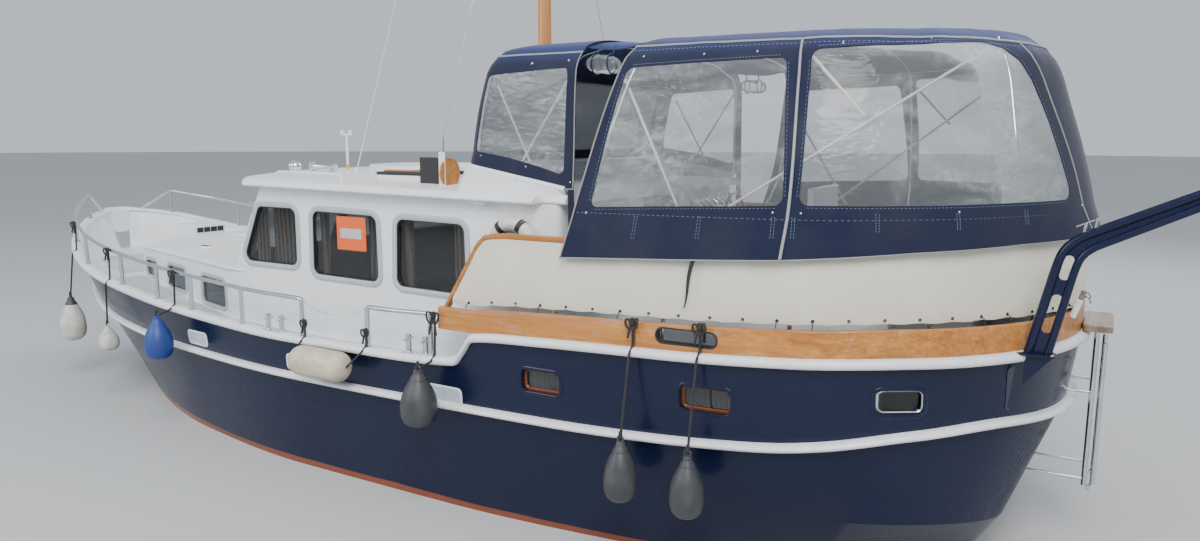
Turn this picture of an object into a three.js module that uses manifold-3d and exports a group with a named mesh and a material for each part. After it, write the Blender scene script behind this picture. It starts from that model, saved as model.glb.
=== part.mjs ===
// Steel motor cruiser of about eleven metres, with a raised aft deck under a canvas canopy.
// +X points to the bow, +Y to port and +Z up. The origin is amidships, on the centreline,
// at the waterline. Sizes are in millimetres.
import * as THREE from 'three';
import { mergeVertices } from 'three/addons/utils/BufferGeometryUtils.js';
import Module from 'manifold-3d';

const wasm = await Module();
wasm.setup();

// Driving dimensions
const GAP = 0.3;              // clearance between pieces that touch
const SEAT = 0.5;             // clearance of a piece that is trimmed to its carrier
const STERN_X = -5520;        // aft end of the hull at the sheer
const STEM_X = 5450;          // fore end of the hull at the sheer
const STEP_X = -1830;         // where the sheer steps up to the aft deck
const SIDE_DECK_DROP = 60;    // side deck below the sheer
const FORE_DECK_Z = 1270;     // foredeck
const BULWARK = 45;           // thickness of the bulwark
const KEEL_Z = -950;          // underside of the keel
const SALON_FRONT_X = 1070;   // foot of the windscreen
const SALON_TOP_FRONT_X = 660; // head of the windscreen
const SALON_AFT_X = -2400;    // aft bulkhead of the saloon
const SALON_SIDE_Y = 1560;    // cabin side
const SALON_WALL = 40;        // wall thickness
const SALON_FLOOR_Z = 320;    // top of the saloon sole
const ROOF_Z = 2250;          // underside of the roof plate at the aft end
const ROOF_RISE = 45;         // how much higher the roof is at its fore end
const ROOF_THICK = 50;
const TRUNK_TOP_Z = 1550;     // top of the fore cabin
const MAST_X = -1240;
const MAST_R = 62;
const MAST_TOP_Z = 6600;
const MAST_PIVOT_Z = 2560;

// Materials by finish, with the colours of the real boat
const finish = (color, roughness, metalness = 0) =>
  new THREE.MeshStandardMaterial({ color, roughness, metalness });
const NAVY = finish(0x0d1430, 0.25);
const WHITE = finish(0xe9ebec, 0.35);
const CREAM = finish(0xe4ddc6, 0.8);
const CANVAS = finish(0x131c3d, 0.85);
const VARNISH = finish(0xb5702a, 0.3);
const STAINLESS = finish(0xc9ccd0, 0.2, 1);
const BLACK = finish(0x1a1b1d, 0.6);
const BRONZE = finish(0x9a7b3d, 0.35, 1);
const CUSHION = finish(0x2c4a86, 0.8);
const RUBBER_WHITE = finish(0xe6e1d2, 0.5);
const RUBBER_BLUE = finish(0x2456a8, 0.5);
const RUBBER_GREY = finish(0x3d4248, 0.6);

const boat = new THREE.Group();

// Adds a mesh under its node's name
function add(name, geometry, material) {
  const mesh = new THREE.Mesh(geometry, material);
  mesh.name = name;
  boat.add(mesh);
  return mesh;
}

// Turns a closed geometry into a solid that can be joined and cut
function solid(geometry) {
  const bare = geometry.clone();
  bare.deleteAttribute('normal');
  bare.deleteAttribute('uv');
  const merged = mergeVertices(bare, 1e-3);
  return new wasm.Manifold(new wasm.Mesh({
    numProp: 3,
    vertProperties: new Float32Array(merged.attributes.position.array),
    triVerts: new Uint32Array(merged.index.array),
  }));
}

// Turns a solid back into a geometry
function shape(body) {
  const mesh = body.getMesh();
  const geometry = new THREE.BufferGeometry();
  geometry.setAttribute('position', new THREE.BufferAttribute(new Float32Array(mesh.vertProperties), 3));
  geometry.setIndex(new THREE.BufferAttribute(new Uint32Array(mesh.triVerts), 1));
  return geometry;
}

const join = (...pieces) => shape(pieces.map(solid).reduce((sum, next) => sum.add(next)));

function cut(whole, ...tools) {
  return shape(tools.map(solid).reduce((rest, tool) => rest.subtract(tool), solid(whole)));
}

// Trims a piece to lie against its carriers with the usual clearance, and keeps its main body
function seat(piece, ...carriers) {
  let rest = solid(piece);
  carriers.forEach((carrier) => {
    [
      [SEAT, 0, 0], [-SEAT, 0, 0], [0, SEAT, 0], [0, -SEAT, 0], [0, 0, SEAT], [0, 0, -SEAT],
    ].forEach((shift) => {
      rest = rest.subtract(solid(carrier.clone().translate(...shift)));
    });
  });
  const parts = rest.decompose().sort((a, b) => b.volume() - a.volume());
  return shape(parts[0]);
}

// Adds a port piece and its mirror image, each seated on its carriers
function addPair(name, port, material, ...carriers) {
  const flipped = port.clone().scale(1, -1, 1);
  flipped.setIndex([...flipped.index.array].reverse());
  add(`${name}_port`, seat(port, ...carriers), material);
  add(`${name}_starboard`, seat(flipped, ...carriers), material);
}

// A box from its lowest and highest corners
function block(x0, x1, y0, y1, z0, z1) {
  const geometry = new THREE.BoxGeometry(x1 - x0, y1 - y0, z1 - z0);
  return geometry.translate((x0 + x1) / 2, (y0 + y1) / 2, (z0 + z1) / 2);
}

// A side profile in X and Z, extruded from y0 to y1
function sideProfile(points, y0, y1) {
  const outline = new THREE.Shape(points.map(([x, z]) => new THREE.Vector2(x, z)));
  const geometry = new THREE.ExtrudeGeometry(outline, { depth: y1 - y0, bevelEnabled: false });
  return geometry.rotateX(Math.PI / 2).translate(0, y1, 0);
}

// A plan outline in X and Y, extruded from z0 to z1
function planProfile(points, z0, z1) {
  const outline = new THREE.Shape(points.map(([x, y]) => new THREE.Vector2(x, y)));
  return new THREE.ExtrudeGeometry(outline, { depth: z1 - z0, bevelEnabled: false }).translate(0, 0, z0);
}

// Corner points of a rounded rectangle, anticlockwise
function roundedPoints(x0, x1, z0, z1, radius, steps = 3) {
  const corners = [[x1 - radius, z0 + radius, -1], [x1 - radius, z1 - radius, 0],
    [x0 + radius, z1 - radius, 1], [x0 + radius, z0 + radius, 2]];
  return corners.flatMap(([x, z, quarter]) => Array.from({ length: steps + 1 }, (_, i) => {
    const angle = (Math.PI / 2) * (quarter + i / steps);
    return [x + radius * Math.cos(angle), z + radius * Math.sin(angle)];
  }));
}

// A rounded rectangle in X and Z, extruded from y0 to y1
const roundedSide = (x0, x1, z0, z1, radius, y0, y1) =>
  sideProfile(roundedPoints(x0, x1, z0, z1, radius), y0, y1);

// A straight round bar between two points
function bar(from, to, radius, sides = 8) {
  const start = new THREE.Vector3(...from);
  const end = new THREE.Vector3(...to);
  const axis = end.clone().sub(start);
  const geometry = new THREE.CylinderGeometry(radius, radius, axis.length(), sides);
  const upright = new THREE.Vector3(0, 1, 0);
  const turn = new THREE.Quaternion().setFromUnitVectors(upright, axis.clone().normalize());
  return geometry.applyQuaternion(turn).translate(...start.add(end).multiplyScalar(0.5).toArray());
}

// A closed solid through rings of points; every ring has the same number, listed the same way round
function loft(rings, closed = false) {
  const count = rings[0].length;
  const positions = rings.flat(2);
  const faces = [];
  const last = closed ? rings.length : rings.length - 1;
  for (let r = 0; r < last; r += 1) {
    const a = r * count;
    const b = ((r + 1) % rings.length) * count;
    for (let i = 0; i < count; i += 1) {
      const j = (i + 1) % count;
      faces.push(a + i, b + i, b + j, a + i, b + j, a + j);
    }
  }
  if (!closed) {
    [[0, false], [(rings.length - 1) * count, true]].forEach(([base, far]) => {
      for (let i = 0; i < count / 2 - 1; i += 1) {
        const quad = [base + i, base + i + 1, base + count - 2 - i, base + count - 1 - i];
        const [p, q, s, t] = far ? quad.reverse() : quad;
        faces.push(p, q, s, p, s, t);
      }
    });
  }
  const corner = (index) => new THREE.Vector3().fromArray(positions, 3 * index);
  let volume = 0;
  for (let i = 0; i < faces.length; i += 3) {
    volume += corner(faces[i]).dot(corner(faces[i + 1]).cross(corner(faces[i + 2])));
  }
  const geometry = new THREE.BufferGeometry();
  geometry.setAttribute('position', new THREE.BufferAttribute(new Float32Array(positions), 3));
  geometry.setIndex(volume < 0 ? faces.reverse() : faces);
  return geometry;
}

// A round pipe along a bent line, with mitred corners
function pipe(points, radius, sides = 8) {
  const path = points.map(([x, y, z]) => new THREE.Vector3(x, y, z));
  const ways = path.slice(1).map((end, i) => end.clone().sub(path[i]).normalize());
  const side = Math.abs(ways[0].y) > 0.9 ? new THREE.Vector3(0, 0, 1) : new THREE.Vector3(0, 1, 0);
  const u = side.cross(ways[0]).normalize();
  const v = ways[0].clone().cross(u);
  let ring = Array.from({ length: sides }, (_, i) => {
    const angle = (2 * Math.PI * i) / sides;
    return path[0].clone().addScaledVector(u, radius * Math.cos(angle))
      .addScaledVector(v, radius * Math.sin(angle));
  });
  const rings = [ring];
  ways.forEach((way, i) => {
    const plane = way.clone().add(ways[i + 1] ?? way).normalize();
    const end = path[i + 1];
    ring = ring.map((point) => point.clone().addScaledVector(way,
      end.clone().sub(point).dot(plane) / way.dot(plane)));
    rings.push(ring);
  });
  return loft(rings.map((points3) => points3.map((point) => point.toArray())));
}

// A value read from a table of [place, value] rows, straight between rows
function along(rows, place) {
  if (place <= rows[0][0]) return rows[0][1];
  for (let i = 1; i < rows.length; i += 1) {
    if (place <= rows[i][0]) {
      const [x0, v0] = rows[i - 1];
      const [x1, v1] = rows[i];
      return v0 + ((v1 - v0) * (place - x0)) / (x1 - x0);
    }
  }
  return rows[rows.length - 1][1];
}

// Hull levels from the sheer down: fore and aft ends, height (null is read from its own table),
// and how far the level rises at the stern
const LEVELS = [
  { name: 'sheer', aft: STERN_X, fore: STEM_X, z: null },
  { name: 'rub', aft: -5460, fore: 5270, z: null },
  { name: 'topside', aft: -5190, fore: 5120, z: 450 },
  { name: 'water', aft: -4950, fore: 4980, z: 0 },
  { name: 'bilge', aft: -4820, fore: 4500, z: -430, run: 330 },
  { name: 'garboard', aft: -4560, fore: 3900, z: -740, run: 430 },
];
// Half breadth of each level, from the aft end (t = 0) to the stem (t = 1)
const BREADTHS = [
  // t, sheer, rub, topside, water, bilge, garboard
  [0, 60, 40, 900, 640, 240, 45],
  [0.01, 640, 650, 1120, 800, 300, 60],
  [0.03, 1070, 1080, 1300, 960, 400, 80],
  [0.07, 1520, 1510, 1530, 1220, 620, 110],
  [0.13, 1815, 1795, 1720, 1480, 900, 160],
  [0.2, 1885, 1860, 1800, 1640, 1130, 250],
  [0.35, 1900, 1880, 1840, 1760, 1380, 420],
  [0.5, 1900, 1880, 1840, 1770, 1420, 460],
  [0.65, 1800, 1765, 1700, 1600, 1230, 380],
  [0.73, 1675, 1620, 1520, 1390, 1010, 290],
  [0.8, 1530, 1440, 1280, 1110, 750, 200],
  [0.86, 1330, 1210, 1000, 820, 500, 130],
  [0.91, 1070, 950, 730, 560, 310, 85],
  [0.95, 740, 670, 480, 350, 190, 60],
  [0.98, 400, 370, 260, 180, 100, 45],
  [0.995, 160, 150, 110, 80, 60, 35],
  [1, 60, 40, 30, 30, 30, 30],
];
const SHEER_Z = [
  // x, height
  [-5520, 1465], [-4850, 1470], [-3500, 1420], [-2400, 1380], [-1910, 1345], [-1830, 1245], [-1750, 1160],
  [-1000, 1125], [0, 1120], [1000, 1150], [2000, 1200], [2800, 1255], [3600, 1340], [4200, 1440],
  [4790, 1590],
  [5100, 1690], [5450, 1770],
];
const RUB_Z = [
  // x, height
  [-5460, 1010], [-5100, 1060], [-4750, 1030], [-4300, 960], [-3900, 910], [-2500, 830], [0, 800],
  [2000, 820], [2900, 850], [3600, 905], [4300, 990], [5270, 1090],
];
const FOREFOOT = 260;         // rise of the lower levels at the stem
const RUN_LENGTH = 0.3;       // share of the length over which the bottom rises aft
const STATIONS = BREADTHS.map(([t]) => t);
[-1910, -1830, -1750].forEach((x) => STATIONS.push((x - STERN_X) / (STEM_X - STERN_X)));
[0.28, 0.425, 0.575].forEach((t) => STATIONS.push(t));
STATIONS.sort((a, b) => a - b);

// Point of the hull on one level at t
function hullPoint(t, level) {
  const { aft, fore, z, name } = LEVELS[level];
  const x = aft + (fore - aft) * t;
  const y = along(BREADTHS.map((row) => [row[0], row[level + 1]]), t);
  const heights = { sheer: SHEER_Z, rub: RUB_Z };
  let height = z === null ? along(heights[name], x) : z;
  if (level > 2) height += FOREFOOT * Math.max(0, (t - 0.8) / 0.2) ** 2 * (level - 2);
  if (level > 3) height += LEVELS[level].run * Math.max(0, 1 - t / RUN_LENGTH) ** 1.4;
  return [x, y, height];
}

const mirror = ([x, y, z]) => [x, -y, z];

function hullRing(t) {
  const port = LEVELS.map((_, level) => hullPoint(t, level));
  return [...port, ...port.slice().reverse().map(mirror)];
}

// Half breadth of a level at x
function levelY(level, x) {
  const { aft, fore } = LEVELS[level];
  return along(BREADTHS.map((row) => [aft + (fore - aft) * row[0], row[level + 1]]), x);
}
const sheerY = (x) => levelY(0, x);
const sheerTable = STATIONS.map((t) => hullPoint(t, 0)).map(([x, , z]) => [x, z]);
const sheerZ = (x) => along(sheerTable, x);

// Half breadth of the hull at x and a height between the rubbing strake and the sheer
function topsideY(x, z) {
  const part = (z - along(RUB_Z, x)) / (sheerZ(x) - along(RUB_Z, x));
  return levelY(1, x) + (sheerY(x) - levelY(1, x)) * part;
}

// Height of the deck at x
function deckZ(x) {
  if (x < STEP_X) return sheerZ(x) - SIDE_DECK_DROP;
  return Math.min(sheerZ(x) - SIDE_DECK_DROP, FORE_DECK_Z);
}

// Hull: bottom, topsides, decks and bulwarks in one steel body
const deckStations = STATIONS.slice(1, -2).map((t) => STERN_X + (STEM_X - STERN_X) * t);
const deckWell = loft(deckStations.flatMap((x) => {
  const top = 2600;
  const edges = Math.abs(x - STEP_X) < 1 ? [x - 1, x + 1] : [x];
  return edges.map((at) => {
    const low = topsideY(at, deckZ(at)) - BULWARK;
    const high = sheerY(at) - BULWARK;
    return [[at, high, top], [at, high, sheerZ(at)], [at, low, deckZ(at)],
      [at, -low, deckZ(at)], [at, -high, sheerZ(at)], [at, -high, top]];
  });
}));
const salonWell = block(
  SALON_AFT_X + SALON_WALL, SALON_FRONT_X - SALON_WALL, -SALON_SIDE_Y + 200, SALON_SIDE_Y - 200,
  SALON_FLOOR_Z - 40, 2000,
);
const foreWell = planProfile([[1100, -1250], [3050, -760], [3050, 760], [1100, 1250]],
  SALON_FLOOR_Z - 40, 2000);
const ENGINE = { x0: -1700, x1: -500, y: 330, z0: -330, z1: 260 };
const engineWell = block(ENGINE.x0 - 250, ENGINE.x1 + 250, -560, 560, ENGINE.z0 - GAP, SALON_FLOOR_Z);
// The small windows of the aft cabin: fore end, aft end, lower and upper edge
const HULL_WINDOWS = [
  [-2300, -2610, 1020, 1180],
  [-3450, -3780, 1075, 1235],
  [-4545, -4790, 1150, 1305],
];
const windowPockets = HULL_WINDOWS.flatMap(([x1, x0, z0, z1]) => [-1, 1].map((side) => {
  const depth = sheerY(x0) - 75;
  return roundedSide(x0, x1, z0, z1, 50, side > 0 ? depth : -2100, side > 0 ? 2100 : -depth);
}));
const SHAFT = { z: -650, r: 20, bore: 20.9, aft: -3930 };
const HEEL = { aft: -4640, top: -905 };
const RUDDER = { x: -4560, z0: HEEL.top + GAP, z1: -420, r: 26, bore: 30 };
const keel = sideProfile([[HEEL.aft, HEEL.top], [HEEL.aft, KEEL_Z], [2600, KEEL_Z], [3700, -600], [3700, -300],
  [SHAFT.aft, -300], [SHAFT.aft, HEEL.top]], -55, 55);
const shaftBore = bar([SHAFT.aft - 10, 0, SHAFT.z], [SHAFT.aft + 320, 0, SHAFT.z], SHAFT.bore, 32);
const stockBore = bar([RUDDER.x, 0, -600], [RUDDER.x, 0, 110], RUDDER.bore, 24);
const hullForm = loft(STATIONS.map(hullRing));
const hullBody = [deckWell, salonWell, foreWell, engineWell, shaftBore, stockBore, ...windowPockets]
  .map(solid)
  .reduce((rest, tool) => rest.subtract(tool), solid(hullForm).add(solid(keel)));
const hull = shape(hullBody);
add('hull', hull, NAVY);

// Points of one hull level in plan, from the stern along the port side to the stem
function levelLine(level, fromX = -Infinity) {
  return STATIONS.map((t) => hullPoint(t, level)).filter(([x]) => x > fromX);
}

// Outward directions in plan along a line of points that runs forward on the port side
function outward(points, closed) {
  return points.map((_, i) => {
    const n = points.length;
    const before = closed ? points[(i + n - 1) % n] : points[Math.max(i - 1, 0)];
    const after = closed ? points[(i + 1) % n] : points[Math.min(i + 1, n - 1)];
    const [dx, dy] = [after[0] - before[0], after[1] - before[1]];
    const length = Math.hypot(dx, dy);
    return [-dy / length, dx / length];
  });
}

// A strip swept along a plan line: the section gives [outward, up] offsets at each point,
// and the height follows heightAt where one is given
function strip(points, section, closed, heightAt = null) {
  const normals = outward(points, closed);
  return loft(points.map(([x, y, z], i) => section(i).map(([out, up]) => {
    const at = x + normals[i][0] * out;
    return [at, y + normals[i][1] * out, (heightAt ? heightAt(at) : z) + up];
  })), closed);
}

const around = (portLine) => [...portLine, ...portLine.slice().reverse().map(mirror)];

// White sheer strake: a steel rail that caps the bulwark all the way round
const STRAKE = { out: 48, in: -BULWARK - 8, cap: 22, drop: 38 };
const strake = seat(strip(around(levelLine(0)), () => [
  [STRAKE.in, -4], [STRAKE.in, STRAKE.cap], [STRAKE.out - 12, STRAKE.cap], [STRAKE.out, 6],
  [STRAKE.out, 14 - STRAKE.drop], [STRAKE.out - 12, -STRAKE.drop], [6, -STRAKE.drop], [6, -4],
], true, sheerZ), hullForm);
add('sheer_strake', strake, WHITE);

// White rubbing strake at the deck line, half round
const RUB = { half: 28, out: 60 };
const rubLine = levelLine(1);
const rubSlope = (index, level) => {
  const t = STATIONS[index];
  const here = hullPoint(t, 1);
  const there = hullPoint(t, level);
  return Math.hypot(there[0] - here[0], there[1] - here[1]) / Math.abs(there[2] - here[2]);
};
add('rub_rail', seat(strip(around(rubLine), (i) => {
  const index = i < rubLine.length ? i : 2 * rubLine.length - 1 - i;
  const above = rubSlope(index, 0) * RUB.half;
  return [
    [above - 6, RUB.half], [above + RUB.out * 0.6, RUB.half * 0.8], [RUB.out + above * 0.5, 0],
    [RUB.out * 0.6, -RUB.half * 0.8], [-6, -RUB.half], [-6, 0],
  ];
}, true), hull), WHITE);

// Varnished plank that stands on the strake round the aft deck
const PLANK = { fore: -1600, thick: 42, height: 158 };
const aftLine = (fore, offset) => {
  const line = [[fore, sheerY(fore), 0], ...levelLine(0).filter(([x]) => x < fore).reverse()];
  const full = [...line, ...line.slice().reverse().map(mirror)];
  const normals = outward(full, false);
  return full.map(([x, y], i) => [x - normals[i][0] * offset, y - normals[i][1] * offset]);
};
// The rail, the dodger and the canopy reach further aft round the stern than the plank
const sternReach = (y) => 90 * Math.max(0, 1 - (y / 1000) ** 2);
const reachingLine = (fore, offset) => aftLine(fore, offset).map(([x, y]) => [x - sternReach(y), y]);
const plankFoot = (x) => sheerZ(Math.min(x, -1910)) + STRAKE.cap;
const plankLine = aftLine(PLANK.fore, 0);
add('wood_plank', seat(loft(plankLine.map(([x, y], i) => {
  const inner = aftLine(PLANK.fore, -PLANK.thick)[i];
  const foot = plankFoot(x);
  return [[x, y, foot], [x, y, foot + PLANK.height], [...inner, foot + PLANK.height], [...inner, foot]];
})), strake), VARNISH);

// Rudder: plate blade on a stock that turns in the hull and on the heel of the keel
add('rudder', join(
  sideProfile([[RUDDER.x - 330, RUDDER.z0], [RUDDER.x + 70, RUDDER.z0], [RUDDER.x + 70, RUDDER.z1],
    [RUDDER.x - 300, RUDDER.z1 + 90]], -20, 20),
  bar([RUDDER.x, 0, RUDDER.z0 + 50], [RUDDER.x, 0, 100], RUDDER.r, 16),
), BLACK);

// Four-bladed propeller on its shaft
const PROP = { x: -4170, hub: 48, blade: 195, count: 4, pitch: 0.6 };
const blades = Array.from({ length: PROP.count }, (_, i) => {
  const blade = new THREE.CylinderGeometry(1, 1, 16, 12).scale(62, 1, 80);
  blade.rotateZ(Math.PI / 2).rotateZ(PROP.pitch).translate(0, 0, PROP.blade - 80);
  return blade.rotateX((2 * Math.PI * i) / PROP.count).translate(PROP.x, 0, SHAFT.z);
});
add('propeller', join(
  bar([PROP.x - 75, 0, SHAFT.z], [PROP.x + 70, 0, SHAFT.z], PROP.hub, 16),
  bar([PROP.x, 0, SHAFT.z], [SHAFT.aft + 300, 0, SHAFT.z], SHAFT.r, 16), ...blades,
), BRONZE);

add('engine', block(ENGINE.x0, ENGINE.x1, -ENGINE.y, ENGINE.y, ENGINE.z0, ENGINE.z1), RUBBER_GREY);

// Saloon sole over the engine well
add('saloon_sole', block(SALON_AFT_X + SALON_WALL + 5, SALON_FRONT_X - SALON_WALL - 5, -SALON_SIDE_Y + 205,
  SALON_SIDE_Y - 205, SALON_FLOOR_Z - 40 + GAP, SALON_FLOOR_Z), VARNISH);

// Fore cabin: a low trunk with small windows along each side
const TRUNK = { aft: SALON_FRONT_X + 20, fore: 3250, aftY: 1560, foreY: 1030, wall: 40 };
const trunkY = (x) => TRUNK.aftY + ((TRUNK.foreY - TRUNK.aftY) * (x - TRUNK.aft)) / (TRUNK.fore - TRUNK.aft);
const trunkRing = (x, inset, z0, z1, crown) => {
  const y = trunkY(x) - inset;
  return [[x, y, z0], [x, y, z1], [x, y * 0.5, z1 + crown * 0.75], [x, -y * 0.5, z1 + crown * 0.75],
    [x, -y, z1], [x, -y, z0]];
};
const trunkFoot = (x) => deckZ(x) - 20;
const TRUNK_CROWN = 60;
const trunkXs = [TRUNK.aft, 1700, 2300, 2900, TRUNK.fore];
const trunkOuter = loft(trunkXs.map((x) => trunkRing(x, 0, trunkFoot(x), TRUNK_TOP_Z, TRUNK_CROWN)));
const trunkInner = loft([TRUNK.aft - 100, 1700, 2300, 2900, TRUNK.fore - TRUNK.wall].map((x) =>
  trunkRing(x, TRUNK.wall, trunkFoot(x) - 100, TRUNK_TOP_Z - TRUNK.wall, TRUNK_CROWN)));
// Small windows of the fore cabin: aft end, fore end, lower and upper edge
const TRUNK_WINDOWS = [
  [1240, 1745, 1150, 1405],
  [2140, 2580, 1190, 1415],
  [2880, 3180, 1245, 1410],
];
const trunkCuts = TRUNK_WINDOWS.map(([x0, x1, z0, z1]) => roundedSide(x0, x1, z0, z1, 50, -2000, 2000));
// Fore hatch over an opening in the trunk top, hinged along its fore edge
const HATCH = { x0: 2250, x1: 2800, y: 290, lip: 55, thick: 38, z: TRUNK_TOP_Z + TRUNK_CROWN * 0.75 + GAP };
const hatchway = block(HATCH.x0 + HATCH.lip, HATCH.x1 - HATCH.lip, -HATCH.y + HATCH.lip, HATCH.y - HATCH.lip,
  HATCH.z - 200, HATCH.z + 200);
add('fore_cabin', seat(cut(trunkOuter, trunkInner, hatchway, ...trunkCuts), hull), WHITE);
add('fore_hatch', block(HATCH.x0, HATCH.x1, -HATCH.y, HATCH.y, HATCH.z, HATCH.z + HATCH.thick), WHITE);

// Outline with each corner rounded by a short curve
function softCorners(points, radius, steps = 3) {
  return points.flatMap((point, i) => {
    const here = new THREE.Vector2(...point);
    const before = new THREE.Vector2(...points[(i + points.length - 1) % points.length]);
    const after = new THREE.Vector2(...points[(i + 1) % points.length]);
    const start = here.clone().add(before.sub(here).setLength(radius));
    const end = here.clone().add(after.sub(here).setLength(radius));
    const curve = new THREE.QuadraticBezierCurve(start, here, end);
    return curve.getPoints(steps).map(({ x, y }) => [x, y]);
  });
}

// Saloon: raked front, side walls and aft bulkhead in one shell with its windows cut
const roofZ = (x) => ROOF_Z + (ROOF_RISE * (x - SALON_AFT_X)) / (SALON_FRONT_X - SALON_AFT_X);
const SALON_Z0 = 1040;
const salonOuter = sideProfile([
  [SALON_AFT_X, SALON_Z0], [SALON_FRONT_X, SALON_Z0], [SALON_FRONT_X, TRUNK_TOP_Z],
  [SALON_TOP_FRONT_X, roofZ(SALON_TOP_FRONT_X)], [SALON_AFT_X, roofZ(SALON_AFT_X)],
], -SALON_SIDE_Y, SALON_SIDE_Y);
const salonInner = sideProfile([
  [SALON_AFT_X + SALON_WALL, SALON_Z0 - 50], [SALON_FRONT_X - SALON_WALL, SALON_Z0 - 50],
  [SALON_FRONT_X - SALON_WALL, TRUNK_TOP_Z - 8], [SALON_TOP_FRONT_X - SALON_WALL - 100, 2450],
  [SALON_AFT_X + SALON_WALL, 2450],
], -SALON_SIDE_Y + SALON_WALL, SALON_SIDE_Y - SALON_WALL);
// Side windows: lower aft, lower fore, upper fore and upper aft corner
const SIDE_WINDOWS = {
  fore: [[210, 1625], [905, 1625], [675, 2115], [210, 2115]],
  mid: [[-715, 1565], [25, 1575], [10, 2105], [-705, 2095]],
  aft: [[-1590, 1545], [-895, 1555], [-915, 2085], [-1580, 2075]],
};
// Windscreens: starboard edge and port edge
const SCREENS = { port: [500, 1400], centre: [-410, 410], starboard: [-1400, -500] };
const SCREEN = {
  low: 1690, high: 2140, rake: (SALON_FRONT_X - SALON_TOP_FRONT_X) / (roofZ(660) - TRUNK_TOP_Z),
};
const WINDOW_RADIUS = 75;
const shrink = (points, by) => {
  const cx = points.reduce((sum, [x]) => sum + x, 0) / points.length;
  const cz = points.reduce((sum, [, z]) => sum + z, 0) / points.length;
  return points.map(([x, z]) => [x + Math.sign(cx - x) * by, z + Math.sign(cz - z) * by]);
};
const sideCuts = Object.values(SIDE_WINDOWS).map((points) =>
  sideProfile(softCorners(points, WINDOW_RADIUS), -2000, 2000));
// A windscreen's outline, pushed through the raked front
function screenPlate([y0, y1], inset, x0, x1) {
  const outline = roundedPoints(y0 + inset, y1 - inset, SCREEN.low + inset, SCREEN.high - inset, 70);
  const ring = (shift) => outline.map(([y, z]) => [
    SALON_FRONT_X - (z - TRUNK_TOP_Z) * SCREEN.rake + shift, y, z]);
  return loft([ring(x0), ring(x1)]);
}
const COMPANION = { y: 330, low: 1345, high: 2225 };
const doorway = block(SALON_AFT_X - 100, SALON_AFT_X + 100, -COMPANION.y, COMPANION.y,
  COMPANION.low, COMPANION.high);
const saloon = cut(salonOuter, salonInner, doorway, ...sideCuts,
  ...Object.values(SCREENS).map((span) => screenPlate(span, 0, -200, 200)));
add('saloon', seat(saloon, hull), WHITE);

// Window panes, set in the middle of the wall
const PANE = { gap: 0.6, thick: 8, depth: 16 };
const GLASS = finish(0x1b2024, 0.05);
Object.entries(SIDE_WINDOWS).forEach(([place, points]) => {
  [['port', 1], ['starboard', -1]].forEach(([side, sign]) => {
    const face = sign * (SALON_SIDE_Y - PANE.depth);
    const y = Math.min(face, face - sign * PANE.thick);
    add(`pane_${side}_${place}`, sideProfile(
      softCorners(shrink(points, PANE.gap), WINDOW_RADIUS), y, y + PANE.thick), GLASS);
  });
});
Object.entries(SCREENS).forEach(([place, span]) => {
  add(`screen_${place}`, screenPlate(span, PANE.gap, -PANE.depth - PANE.thick, -PANE.depth), GLASS);
});

// Companion door in the aft bulkhead; its hinge barrels lie against the bulkhead's aft face
const DOOR = { gap: 6, x0: SALON_AFT_X + 4, x1: SALON_AFT_X + 36, barrel: 8, barrelLong: 80 };
const DOOR_HINGE = { x: SALON_AFT_X - DOOR.barrel - GAP, y: COMPANION.y };
add('companion_door', join(
  block(DOOR.x0, DOOR.x1, -COMPANION.y + DOOR.gap, COMPANION.y - DOOR.gap, COMPANION.low + DOOR.gap,
    COMPANION.high - DOOR.gap),
  ...[1500, 2050].flatMap((z) => [
    bar([DOOR_HINGE.x, DOOR_HINGE.y, z], [DOOR_HINGE.x, DOOR_HINGE.y, z + DOOR.barrelLong], DOOR.barrel, 12),
    block(DOOR_HINGE.x - 4, DOOR.x0 + 4, DOOR_HINGE.y - 40, DOOR_HINGE.y - 2, z + 5, z + DOOR.barrelLong - 5),
  ]),
), VARNISH);

// Cabin roof: a cambered plate that overhangs the raked screen
const ROOF = { aft: -2450, halfWidth: 1640, camber: 55 };
// x, half width
const ROOF_EDGE = [
  [ROOF.aft, 1565], [-2262, 1565], [-2238, ROOF.halfWidth], [780, ROOF.halfWidth], [850, ROOF.halfWidth - 60],
  [900, 1250], [930, 700],
];
const roof = loft(ROOF_EDGE.map(([x, y]) => {
  const z = roofZ(x) + GAP;
  const top = z + ROOF_THICK;
  const crown = top + ROOF.camber;
  return [[x, y, z], [x, y, top - 12], [x, y - 14, top], [x, y * 0.5, crown], [x, -y * 0.5, crown],
    [x, 14 - y, top], [x, -y, top - 12], [x, -y, z]];
}));
const PIVOT = { pin: 14, bore: 14.9, cheekY: 82, cheek: 12, stayY: 1380 };
const cheeks = [1, -1].flatMap((sign) => [
  block(MAST_X - 75, MAST_X + 75, sign * PIVOT.cheekY - PIVOT.cheek / 2,
    sign * PIVOT.cheekY + PIVOT.cheek / 2, roofZ(MAST_X) + 30, MAST_PIVOT_Z + 45),
  block(MAST_X - 30, MAST_X + 30, sign * (PIVOT.stayY + 18) - 4, sign * (PIVOT.stayY + 18) + 4,
    roofZ(MAST_X) + 20, MAST_PIVOT_Z + 30),
]);
const pinBore = bar([MAST_X, -120, MAST_PIVOT_Z], [MAST_X, 120, MAST_PIVOT_Z], PIVOT.bore, 24);
const roofTop = (x, y) => roofZ(x) + GAP + ROOF_THICK
  + ROOF.camber * Math.min(1, (ROOF.halfWidth - 14 - Math.abs(y)) / (ROOF.halfWidth / 2 - 14));
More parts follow.
